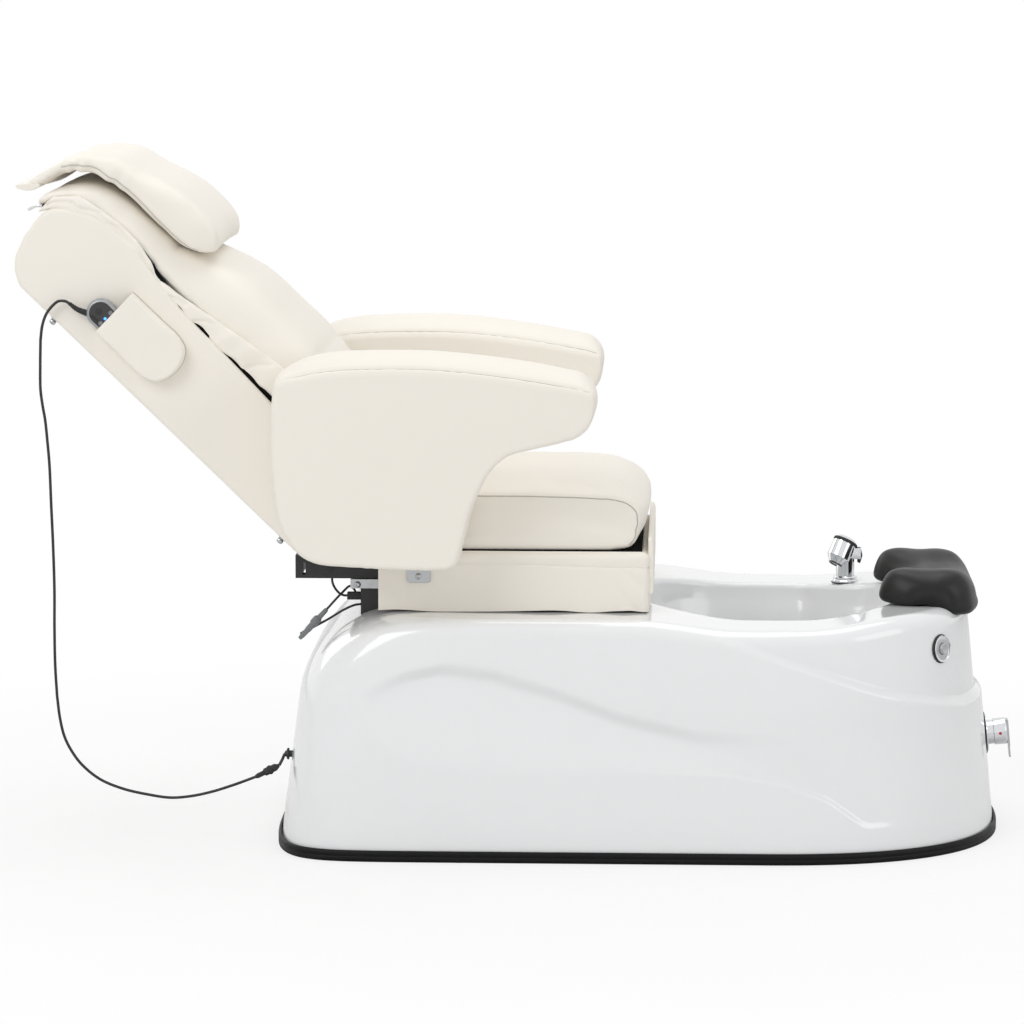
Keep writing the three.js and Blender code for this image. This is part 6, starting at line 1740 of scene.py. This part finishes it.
def rounded_outline(corners: Array, radius: float, steps: int = 6) -> Array:
    """An outline with its corners rounded.

    Args:
        corners: its corners in order.
        radius: the radius at each.
        steps: points in each rounded corner.

    Returns:
        The rounded outline.
    """
    out = []
    count = len(corners)
    for k in range(count):
        here, before, after = corners[k], corners[k - 1], corners[(k + 1) % count]
        u, v = before - here, after - here
        r = min(radius, 0.45 * np.linalg.norm(u), 0.45 * np.linalg.norm(v))
        a, b = here + u / np.linalg.norm(u) * r, here + v / np.linalg.norm(v) * r
        for t in np.linspace(0, 1, steps):
            out.append((1 - t) ** 2 * a + 2 * t * (1 - t) * here + t * t * b)
    return np.array(out)


def bolt(
    name: str, at: Sequence[float], way: Sequence[float], radius: float, body: str, finish: Finish = ZINC
) -> bpy.types.Object:
    """A domed bolt head with a round socket.

    Args:
        name: its name.
        at: where it sits.
        way: the way that it faces.
        radius: its radius in millimetres.
        body: the body that it rides on.
        finish: its finish.

    Returns:
        The bolt.
    """
    r = radius
    profile = [
        (r, -1), (r, 0.3 * r), (0.92 * r, 0.5 * r), (0.7 * r, 0.68 * r), (0.52 * r, 0.74 * r),
        (0.48 * r, 0.7 * r), (0.46 * r, 0.25 * r)
    ]
    return Form.turned(name, profile, at, way, 24).finished(finish, body, 32)


@dataclass
class Back:
    """The upholstered back: shell, pad, head pillow, pocket and handset."""

    half_y: float = 232.0
    shell_wall: float = 6.0
    pad_half_y: float = 229.0
    pillow_half_y: float = 206.0

    SHELL = (
        (-11, 48), (-11, 690), (3, 714), (21, 729), (56, 741), (97, 746), (120, 741.5), (142, 717),
        (164, 678), (170, 649), (170, 587), (156, 520), (149.5, 460), (148, 407), (147, 353),
        (143, 253), (143, 128), (90, 128), (40, 60),
    )
    PAD = (
        (100, 752, 0), (103, 766, 0), (120, 764, 8), (146, 748, 16), (166, 724, 22), (176, 690, 28),
        (180, 650, 32), (180, 600, 33), (176, 560, 38), (168, 520, 54), (163, 486, 72), (168, 450, 80),
        (174, 404, 84), (184, 334, 74), (194, 281, 64), (198, 230, 54), (199, 180, 44), (196, 140, 30),
        (186, 130, 10), (150, 130, 0), (148, 253, 0), (152, 353, 0), (153, 407, 0), (155, 460, 0),
        (161.5, 519, 0), (175, 585, 0), (175, 650, 0), (169, 681, 0), (146, 721, 0), (122, 747, 0),
    )
    PILLOW = (
        (250, 482, 1), (274, 493, 1), (288, 517, 1), (293, 554, 1), (290, 606, 1), (272, 670, 0.8),
        (256, 720, 0.5), (233, 751, 0.2), (206, 773, 0), (172, 789, 0), (130, 799, 0), (112, 800, 0),
        (112, 788, 0), (127, 776, 0), (166, 768, 0), (190, 752, 0), (210, 716, 0), (219, 664, 0),
        (218, 584, 0), (227, 513, 0),
    )
    PIPING = (
        (720, 166), (681, 174), (640, 179), (600, 179), (560, 170), (534, 159), (500, 161), (433, 172),
        (350, 186), (281, 196), (230, 199), (180, 199), (145, 196)
    )

    def build(self) -> None:
        """Makes every piece of the back."""
        self._shell()
        self._pad()
        self._pillow()
        self._studs()
        self._zip()
        Pocket().build()
        Handset().build()

    def _shell(self) -> None:
        """Makes the shell: a hollow tray under smooth hide, notched for the rails and lever."""
        outline = rounded_outline(np.array(self.SHELL, float), 6, 4)
        outline = spread(outline, 260, True)
        rings = []
        for turn in np.linspace(0, math.pi / 2, 7):
            rings.append((self.half_y - 8 * (1 - math.sin(turn)) , 8 * (1 - math.cos(turn))))
        sections = [(-y, i) for y, i in reversed(rings)] + [
            (y, i) for y, i in [(k, 0) for k in np.linspace(-180, 180, 13)]
        ] + rings
        stack = []
        for y, inward in sections:
            flat = inset(outline, float(inward) + 0.4)
            stack.append(from_back(np.column_stack([flat[:, 0], np.full(len(flat), y), flat[:, 1]])))
        form = Soft.loft("back_shell_cover", np.stack(stack))
        hollow = inset(spread(np.array(self.SHELL, float), 200, True), self.shell_wall)
        half = self.half_y - self.shell_wall
        cutters = [Form.slab("cutter_hollow", hollow, -half, half, on_back=True)]
        cutters.append(Form.block("cutter_window", (100, -half + 1, 134), (300, half - 1, 600), 0.5, True))
        for side in (-1, 1):
            low, high = sorted((side * 182, side * 192))
            cutters.append(Form.block(f"cutter_rail_{side}", (0, low, 20), (35, high, 100), 0.5, True))
        cutters.append(Form.block("cutter_lever", (-20, -7, 20), (42, 7, 100), 0.5, True))
        for cutter in cutters:
            form.changed("BOOLEAN", operation="DIFFERENCE", object=cutter.object, solver="EXACT")
            bpy.data.objects.remove(cutter.object)
        form.finished(HIDE, "backrest", 50, ("back_shell",))
        # Black tubes along the shell's edges under the pad: painted shade of the gap between pad and shell.
        for side, tag in ((-1, "near"), (1, "far")):
            edge = [
                (t + 2.5, s) for t,
                s in (
                    (143, 133), (143, 253), (147, 353), (148, 407), (149.5, 460), (156, 520), (170, 587),
                    (170, 649), (164, 678), (142, 717), (121, 741)
                )
            ]
            line = from_back([(t, side * 219, s) for t, s in edge])
            Form.tube(f"shell_gap_shade_{tag}", smooth_line(line, 160), 5.5, 12).finished(GAP_SHADE, "backrest")

    def _pad(self) -> None:
        """Makes the back pad, fullest at the lumbar, with piped edges and sewn channels."""
        dense = smooth_line(self.PAD, 190, True)
        stack = []
        for share in np.sin(np.linspace(-math.pi / 2, math.pi / 2, 48)):
            crown = math.sqrt(max(0.0, 1 - abs(share) ** 4))
            flat = np.stack([dense[:, 0] + dense[:, 2] * crown, dense[:, 1]], axis=-1)
            flat = inset(flat, 2.5 + 3 * float(rise(abs(share), 0.975, 1)))
            under = 7 * float(rise(abs(share), 0.86, 0.95)) * np.exp(
                -(((flat[:, 1] - 290) / 85) ** 2)
            ) * (dense[:, 0] < 160)
            stack.append(
                from_back(
                    np.column_stack(
                        [flat[:, 0] + under, np.full(len(flat), share * (self.pad_half_y - 4)), flat[:, 1]]
                    )
                )
            )
        form = Soft.loft("back_pad_cover", np.stack(stack))
        form.blown(8.5, 9, frames=14)
        lines = []
        for side in (-1, 1):
            line = smooth_line(
                from_back([(t, side * (self.pad_half_y - 2), s) for s, t in self.PIPING]), 200
            )
            lines.append(line)
            form.sewn(line, 2.6, 4.5)
            lower = smooth_line(
                from_back([(t - 16, side * self.pad_half_y, s) for s, t in self.PIPING]), 160
            )
            form.gathered(lower, 2.6, 58, 15, side)
            channel = smooth_line(from_back([(t + 45, side * 118, s) for s, t in self.PIPING[1:]]), 90)
            form.sewn(channel, 5.0, 9.0)
        for s, depth in ((250, 3.0), (545, 4.5), (150, 2.0)):
            t = along(sorted((b, a + c) for a, b, c in self.PAD[2:18]), s)
            across = from_back([(float(t), y, s) for y in np.linspace(-215, 215, 60)])
            form.sewn(across, depth, 10)
        form.rumpled(1.7, (120, 100, 55), lambda p: rise(np.abs(p[:, 1]), 0.02, 0.15), 0.8)
        form.rumpled(
            2.6, (60, 200, 50), lambda p: rise(np.abs(p[:, 1]), 0.15, 0.21) * rise(p[:, 2], 0.92, 0.98),
            2.1
        )
        for tag, line in zip(("near", "far"), lines):
            form.piped(f"pad_piping_{tag}", line, 1.7, PIPING, "backrest", -0.2)
        self._fold(-1, "near")
        self._fold(1, "far")
        made = form.finished(HIDE, "backrest", 80, ("back_pad",))

    def _fold(self, side: int, tag: str) -> None:
        """Makes the gathered edge of the pad's cover, where it is pulled over the shell.

        Args:
            side: -1 for the near edge and 1 for the far one.
            tag: the edge's name.
        """
        s = np.linspace(752, 128, 300)
        shell = [
            (128, 143), (253, 143), (353, 147), (407, 148), (460, 149.5), (520, 156), (587, 170),
            (649, 170), (678, 164), (717, 142), (741, 121), (752, 106)
        ]
        piping = sorted(self.PIPING + ((752, 132),))
        swing = np.sin(s / 10.5 + 1.2 * np.sin(s / 37)) * (0.55 + 0.45 * np.sin(s / 53))
        gap = 10 * np.exp(-(((s - 215) / 95) ** 2)) - 5.5 * rise(s, 430, 560)
        low = along(shell, s) + gap + 3.2 * swing
        high = along(piping, s) + 1.5
        middle, half = (low + high) / 2, np.maximum((high - low) / 2, 4) + 1
        y = side * (self.pad_half_y - 8 + 1.6 * np.sin(s / 17 + 0.8 * side) + 2.2 * rise(s, 520, 600))
        turn = np.linspace(0, 2 * math.pi, 30, endpoint=False)
        deep = 7.5 * (1 + 0.16 * np.sin(s / 8.5 + np.sin(s / 29)))
        rings = []
        for k in range(len(s)):
            pucker = 1 + 0.07 * math.sin(s[k] / 6.3) * np.sin(3 * turn)
            t = middle[k] + half[k] * np.cos(turn) * pucker
            across = y[k] + side * deep[k] * np.sign(np.sin(turn)) * np.abs(np.sin(turn)) ** 0.8
            rings.append(from_back(np.column_stack([t, across, np.full(30, s[k])])))
        form = Soft.loft(f"pad_fold_{tag}", np.stack(rings))
        form.changed("SUBSURF", levels=1, render_levels=1)
        crease = from_back(
            np.column_stack([middle + 0.15 * half * swing, np.full(300, side * (self.pad_half_y + 1)), s])
        )
        form.sewn(crease[:110], 4.2, 3.6)
        for start in (96, 122, 150, 205):
            across = from_back(
                [
                    (low[start] + 2, side * self.pad_half_y, s[start]),
                    (middle[start], side * self.pad_half_y, s[start + 5]),
                    (high[start] - 1, side * self.pad_half_y, s[start + 13])
                ]
            )
            form.sewn(smooth_line(across, 20), 2.8, 4.0)
        form.finished(HIDE, "backrest", 80)

    def _pillow(self) -> None:
        """Makes the head pillow and the flap that hangs it over the top of the back."""
        dense = smooth_line(self.PILLOW, 170, True)
        middle = np.array((234.0, 620.0))
        stack = []
        for share in np.sin(np.linspace(-math.pi / 2, math.pi / 2, 44)):
            drawn = 0.3 * float(rise(abs(share), 0.9, 1.0)) ** 2
            weight = np.clip(dense[:, 2:3], 0, 1) * drawn
            flat = dense[:, :2] + (middle - dense[:, :2]) * weight
            flat = inset(
                flat, 10.5 * np.clip(dense[:, 2] + 0.3, 0, 1) + 1.2 * float(rise(abs(share), 0.97, 1))
            )
            stack.append(
                from_back(
                    np.column_stack(
                        [flat[:, 0], np.full(len(flat), share * (self.pillow_half_y - 4)), flat[:, 1]]
                    )
                )
            )
        form = Soft.loft("pillow_cover", np.stack(stack))
        form.blown(7.0, 4, frames=12)
        lines = []
        for side in (-1, 1):
            edge = [(219, 504), (214, 560), (222, 620), (224, 672), (217, 722), (199, 760), (176, 778)]
            line = smooth_line(from_back([(t, side * (self.pillow_half_y - 3), s) for t, s in edge]), 140)
            lines.append(line)
            form.sewn(line, 2.2, 4.0)
            scallop = smooth_line(
                from_back([(t - 4, side * (self.pillow_half_y - 8), s) for t, s in edge[3:]]), 80
            )
            form.gathered(scallop, 4.6, 34, 22, 0.7 * side)
        form.rumpled(1.3, (110, 120, 70), None, 0.2)
        for tag, line in zip(("near", "far"), lines):
            form.piped(f"pillow_piping_{tag}", line, 1.5, PIPING, "backrest", -0.1)
        made = form.finished(HIDE, "backrest", 80, ("head_pillow",))
        tongue = [
            (130, 779), (117, 783), (107, 792), (99, 806), (102, 811), (109, 806), (117, 799), (133, 794)
        ]
        outline = spread(rounded_outline(np.array(tongue, float), 3, 4), 90, True)
        flap = Form.slab("pillow_tongue", outline, -196, 196, 2.2, True)
        flap.finished(HIDE, "backrest", 60)

    def _studs(self) -> None:
        """Makes the four knobs on the rear of the shell."""
        for s in (82, 609):
            for side in (-1, 1):
                at = from_back([(-11, side * 205, s)])[0]
                way = (-math.cos(RECLINE), 0, -math.sin(RECLINE))
                washer = [(9, -1), (9, 1.6), (8.4, 2.4), (6, 2.8)]
                tag = f"{s}_{'near' if side < 0 else 'far'}"
                Form.turned(f"stud_base_{tag}", washer, at, way, 32).finished(BLACK_PLASTIC, "backrest", 35)
                knob = [(3.8, 2), (3.8, 4), (5.4, 5), (6, 6.6), (5.8, 9.6), (4.8, 11.2), (2.6, 12)]
                Form.turned(f"stud_knob_{tag}", knob, at, way, 32).finished(SATIN_CHROME, "backrest", 35)

    def _zip(self) -> None:
        """Makes the zip's black tape under the flap, with its slider and pull."""
        tape = smooth_line(
            from_back([(112, y, 753 - 0.6 * abs(y) / 200) for y in np.linspace(-206, 206, 40)]), 80
        )
        Form.tube("zip_tape", tape, 3.2, 10).finished(ZIP_TAPE, "backrest")
        at = from_back([(108, -212, 757)])[0]
        Form.block("zip_slider", at - (5, 4, 2.6), at + (5, 4, 2.6), 1.4).finished(CHROME, "backrest", 35)
        pull = from_back([(104, -213, 760), (96, -214, 764), (90, -214, 766)])
        ring = Form.tube(
            "zip_pull", smooth_line(pull, 16),
            np.interp(np.linspace(0, 1, 16), [0, 0.5, 1], [1.2, 2.4, 2.6]), 10
        )
        ring.finished(CHROME, "backrest", 35)


@dataclass
class Pocket:
    """The open-topped patch pocket on the near side of the back."""

    rear: float = 26.0
    width: float = 90.0
    low: float = 403.0
    high: float = 545.0
    depth: float = 27.0
    wall_y: float = -232.6

    def build(self) -> None:
        """Makes the pocket and its seam."""
        u, low = self.rear, self.low
        half = [(0, self.high), (0, low + 80), (0, low + 37), (8, low + 14.5), (26, low + 3), (44.9, low)]
        left = smooth_line([(u + a, b) for a, b in half], 60)
        right = np.column_stack([2 * u + self.width - left[::-1, 0], left[::-1, 1]])
        line = np.vstack([left, right])
        middle = np.column_stack(
            [np.full(len(line), u + self.width / 2), np.clip(line[:, 1], low + 40, self.high)]
        )
        rows = []
        for share, out in (
            (0.0, 0.0), (0.003, 0.3), (0.012, 0.62), (0.03, 0.84), (0.06, 0.96), (0.11, 1), (0.2, 1),
            (0.32, 1), (0.5, 1), (0.75, 1), (1.0, 1)
        ):
            flat = line + (middle - line) * share
            gape = 0.965 + 0.035 * rise(flat[:, 1], low + 20, self.high)
            crease = 0.5 * np.sin(flat[:, 1] / 13 + flat[:, 0] / 17) * out * (1 - share)
            y = self.wall_y - self.depth * out * gape + crease
            rows.append(from_back(np.column_stack([flat[:, 0], y, flat[:, 1]])))
        form = Soft.loft("pocket_cover", np.stack(rows), closed=False).welded(0.00003)
        form.changed("SOLIDIFY", thickness=0.0022, offset=-1)
        form.changed("SUBSURF", levels=1, render_levels=1)
        made = form.finished(HIDE, "backrest", 70, ("side_pocket",))
        seam = from_back(np.column_stack([line[:, 0], np.full(len(line), self.wall_y + 0.1), line[:, 1]]))
        Form.tube("pocket_seam", seam, 1.1, 8).finished(PIPING, "backrest")


@dataclass
class Handset:
    """The remote in the pocket: a pale case, a black face, keys and a lamp."""

    rear: float = 32.0
    front: float = 80.0
    low: float = 432.0
    high: float = 584.0
    inner_y: float = -236.3
    outer_y: float = -256.3

    def build(self) -> None:
        """Makes the case, face, keys, lamp and strain relief."""
        mid = (self.rear + self.front) / 2
        half = (self.front - self.rear) / 2
        top = [
            (mid + half * math.cos(a), self.high - half + half * math.sin(a))
            for a in np.linspace(0, math.pi, 30)
        ]
        bottom = [
            (mid + (half - 3) * math.cos(a), self.low + 15 + 15 * math.sin(a))
            for a in np.linspace(math.pi, 2 * math.pi, 20)
        ]
        outline = spread(np.array(top + bottom), 150, True)
        case = Form.slab("handset_case", outline, self.outer_y, self.inner_y, 6, True)
        case.finished(SILVER_PLASTIC, "handset", 40, ("handset",))
        face = inset(spread(np.array(top + bottom), 150, True), 5)
        face = face[face[:, 1] > self.low + 50]
        Form.slab(
            "handset_face", spread(face, 120, True), self.outer_y - 0.5, self.outer_y + 4, 0.5, True
        ).finished(GLOSS_BLACK, "handset", 40)
        for k, (t, s) in enumerate(
            [
                (mid - 12, 548), (mid + 12, 548), (mid - 12, 530), (mid + 12, 530), (mid, 521),
                (mid, 503), (mid - 12, 510), (mid + 12, 510)
            ]
        ):
            at = from_back([(t, self.outer_y - 0.2, s)])[0]
            profile = [(3.8, -1), (3.8, 0.5), (3.3, 1.0), (2.2, 1.2)]
            Form.turned(
                f"handset_key_{k + 1}", profile, at, (0, -1, 0), 28
            ).finished(GREY_PLASTIC, "handset", 35)
        lamp = from_back([(mid - 1, self.outer_y - 0.4, 548)])[0]
        Form.turned(
            "handset_lamp", [(2.4, -1), (2.4, 0.5), (1.6, 1.0)], lamp, (0, -1, 0), 24
        ).finished(BLUE_LIGHT, "handset", 35)
        relief = from_back([(40, -246.3, 574), (40 - 10 * 0.8, -246.3, 593), (30, -246.3, 609)])
        path = smooth_line(relief, 61)
        ribs = np.interp(
            np.linspace(0, 1, 61), [0, 0.4, 1], [5.6, 4.6, 3.1]
        ) + 0.35 * np.sign(np.sin(np.arange(61) * 1.05))
        Form.tube("handset_relief", path, ribs, 24).finished(CORD_RUBBER, "handset", 35)


# ---------------------------------------------------------------- footrest and fittings


@dataclass
class Footrest:
    """The moulded footrest on the basin's rim: two lobes, a hooked lip and a notch."""

    half_y: float = 158.0
    lip_z: float = 384.0

    def _section(self, share: float) -> Array:
        """Its section at one place across.

        Args:
            share: from -1 at the near end to 1 at the far end.

        Returns:
            Rows of x and z.
        """
        lobe = math.exp(-(((abs(share) - 0.72) / 0.3) ** 2))
        inner, top, front = 653 - 48 * lobe, 443 + 17 * lobe, 781 - 26 * abs(share) ** 2.4
        low = self.lip_z
        rows = [
            (inner + 10, 402),
            (inner + 1, 409.5),
            (inner + 4, 431),
            (inner + 16, top - 8),
            (inner + 36, top - 0.5),
            ((inner + front) / 2, top - 2),
            (front - 46, top - 1),
            (front - 24, top - 7),
            (front - 9, top - 24),
            (front - 3.5, top - 44),
            (front - 1, 390),
            (front - 6, low + 0.6),
            (front - 49, 386.6),
            (front - 69, 402),
        ]
        end = min(max(0.0, (abs(share) - 0.8) / 0.2), 0.985)
        scale = 1 - 0.45 * (1 - math.sqrt(1 - end**2))
        middle = np.array(((inner + front) / 2, 401.8))
        return middle + (np.array(rows, float) - middle) * scale

    def build(self) -> None:
        """Makes the pad."""
        rings = []
        for share in np.sin(np.linspace(-math.pi / 2, math.pi / 2, 90)):
            flat = smooth_line(self._section(float(share) * 0.999), 120, True)
            flat = inset(flat, 0.6 + 5 * float(rise(abs(share), 0.985, 1)))
            rings.append(
                np.stack([flat[:, 0], np.full(len(flat), share * (self.half_y - 0.6)), flat[:, 1]], axis=-1)
            )
        form = Soft.loft("footrest_cover", np.stack(rings))
        form.changed("SMOOTH", factor=0.5, iterations=3)
        made = form.finished(FOAM_SKIN, "footrest", 70, ("footrest_pad",))


@dataclass
class Fittings:
    """The chrome on the deck and the wall: spray, air button and mixer, with their rings."""

    barrel: tuple[float, float, float] = (552, 170, 444.95)
    barrel_way: tuple[float, float, float] = (-0.42, -0.3, -0.86)
    button: tuple[float, float, float] = (706.08, -209.14, 338)
    button_way: tuple[float, float, float] = (0.7878, -0.6086, 0.0953)
    mixer: tuple[float, float, float] = (795.4, 0, 156)
    mixer_way: tuple[float, float, float] = (0.995, 0, 0.0995)

    def build(self) -> None:
        """Adds the small pieces that sit on the chrome."""
        way = np.array(self.barrel_way) / np.linalg.norm(self.barrel_way)
        start = np.array(self.barrel) - 25 * way
        ring = [(20.6, 4.4), (22, 5.4), (22.3, 7.5), (22, 9.6), (20.6, 10.6)]
        Form.turned("spray_joint_ring", ring, start, way, 72).finished(BLACK_PLASTIC, "spray_head", 35)
        nozzle = [(12.6, 49.0), (12.8, 50.4), (12.0, 51.6), (10.8, 51.8), (10.2, 50.6), (3, 50.3)]
        Form.turned("spray_nozzle", nozzle, start, way, 64).finished(GLOSS_BLACK, "spray_head", 35)
        Form.turned(
            "spray_gasket", [(23, -0.9), (24.3, -0.4), (24.3, 0.8), (23, 1.4)], (559, 172, 389.95),
            (0, 0, 1), 64
        ).finished(CORD_RUBBER, "tub", 35)
        gasket = [(23.2, -0.6), (24.4, 0), (24.2, 1.6), (22.8, 2.2)]
        Form.turned(
            "button_gasket", gasket, self.button, self.button_way, 64
        ).finished(CORD_RUBBER, "tub", 35)
        face = [(8.4, 7.6), (8.4, 8.6), (7.9, 9.1), (6.2, 8.9), (2, 8.7)]
        Form.turned(
            "button_disc", face, self.button, self.button_way, 48
        ).finished(SATIN_CHROME, "air_button", 35)
        rim = [(22.2, 2.6), (22.6, 4.4), (21.6, 5.6), (19.8, 5.4), (19.2, 4.2), (19.2, 2.6)]
        Form.turned(
            "button_rim", rim, self.button, self.button_way, 72, hollow=True
        ).finished(CHROME, "tub", 35)
        seal = [(34.4, -0.6), (36, 0), (36, 1.5), (34.8, 2.2)]
        Form.turned("mixer_gasket", seal, self.mixer, self.mixer_way, 72).finished(CORD_RUBBER, "tub", 35)
        dot = np.array(self.mixer) + 26 * np.array(self.mixer_way) + (0, -22.6, 0)
        Form.turned(
            "mixer_mark", [(2.6, -1), (2.6, 0.7), (1.9, 1.1)], dot, (0, -1, 0), 24
        ).finished(RED_MARK, "mixer_cap", 35)


@dataclass
class Hardware:
    """Finishes for the frame's own nodes, and the bolts that hold them."""

    DRESSED = (
        (SATIN_CHROME, ("air_button_cap", "mixer_lever")),
        (
            CHROME,
            (
                "air_button_bezel", "mixer_body", "mixer_cap", "spray_flange", "spray_head",
                "drain_fitting", "jet_near", "jet_far", "suction_cover"
            )
        ),
        (POWDER_COAT, ("back_frame", "seat_frame", "pedestal_frame")),
        (ZINC, ("base_frame", "rail_near", "rail_far", "slide_motor", "actuator_rod")),
        (
            BLACK_PLASTIC,
            (
                "actuator_body", "cord_connector", "water_pump", "mains_inlet", "spray_lever",
                "harness_plug_tail", "harness_plug_loop", "handset_button"
            )
        ),
        (WHITE_PLASTIC, ("control_box",)),
        (STRIP_RUBBER, ("drain_plug",)),
        (
            CORD_RUBBER,
            (
                "cord_gland", "rubber_foot_near_front", "rubber_foot_near_rear", "rubber_foot_far_front",
                "rubber_foot_far_rear"
            )
        ),
        (WHEEL_RUBBER, ("kneading_wheel_near", "kneading_wheel_far")),
        (LENS, ("basin_light",)),
        (GREY_PLASTIC, ("massage_carriage",)),
    )

    def build(self) -> None:
        """Dresses the nodes and sets the bolts."""
        for finish, names in self.DRESSED:
            for name in names:
                made = bpy.data.objects.get(name)
                if made and not made.hide_render:
                    dress(made, finish)
        bolt("rail_bolt_near", (-273, -186.4, 437), (0, -1, 0), 5.6, "tub")
        bolt("rail_bolt_far", (-273, 186.4, 437), (0, 1, 0), 5.6, "tub")


def dress(made: bpy.types.Object, finish: Finish, edge: float = 0.6) -> None:
    """Shades a node of the frame with softened edges and a finish.

    Args:
        made: the node.
        finish: what it is made of.
        edge: radius of its edges in millimetres.
    """
    data = made.data
    lasting = data.attributes.get("custom_normal")
    if lasting:
        data.attributes.remove(lasting)
    data.polygons.foreach_set("use_smooth", [True] * len(data.polygons))
    weld = made.modifiers.new("Weld", "WELD")
    weld.merge_threshold = 0.00001
    bevel = made.modifiers.new("Bevel", "BEVEL")
    bevel.limit_method = "ANGLE"
    bevel.angle_limit = math.radians(32)
    bevel.width = edge * MM
    bevel.segments = 2
    bevel.harden_normals = False
    even = made.modifiers.new("Weighted", "WEIGHTED_NORMAL")
    even.keep_sharp = True
    if not made.material_slots:
        data.materials.append(finish.material())
    for slot in made.material_slots:
        slot.material = finish.material()
    LOG.info("%s dressed as %s", made.name, finish.name)


# ---------------------------------------------------------------- the whole chair


def main() -> None:
    """Builds the studio and every part of the chair."""
    logging.basicConfig(level=logging.INFO, format="%(name)s %(message)s")
    Studio().build()
    Wiring().build()
    Tub().build()
    Seat().build()
    Arm(-1).build()
    Arm(1).build()
    Back().build()
    Footrest().build()
    Fittings().build()
    Hardware().build()


if __name__ == "__main__":
    main()
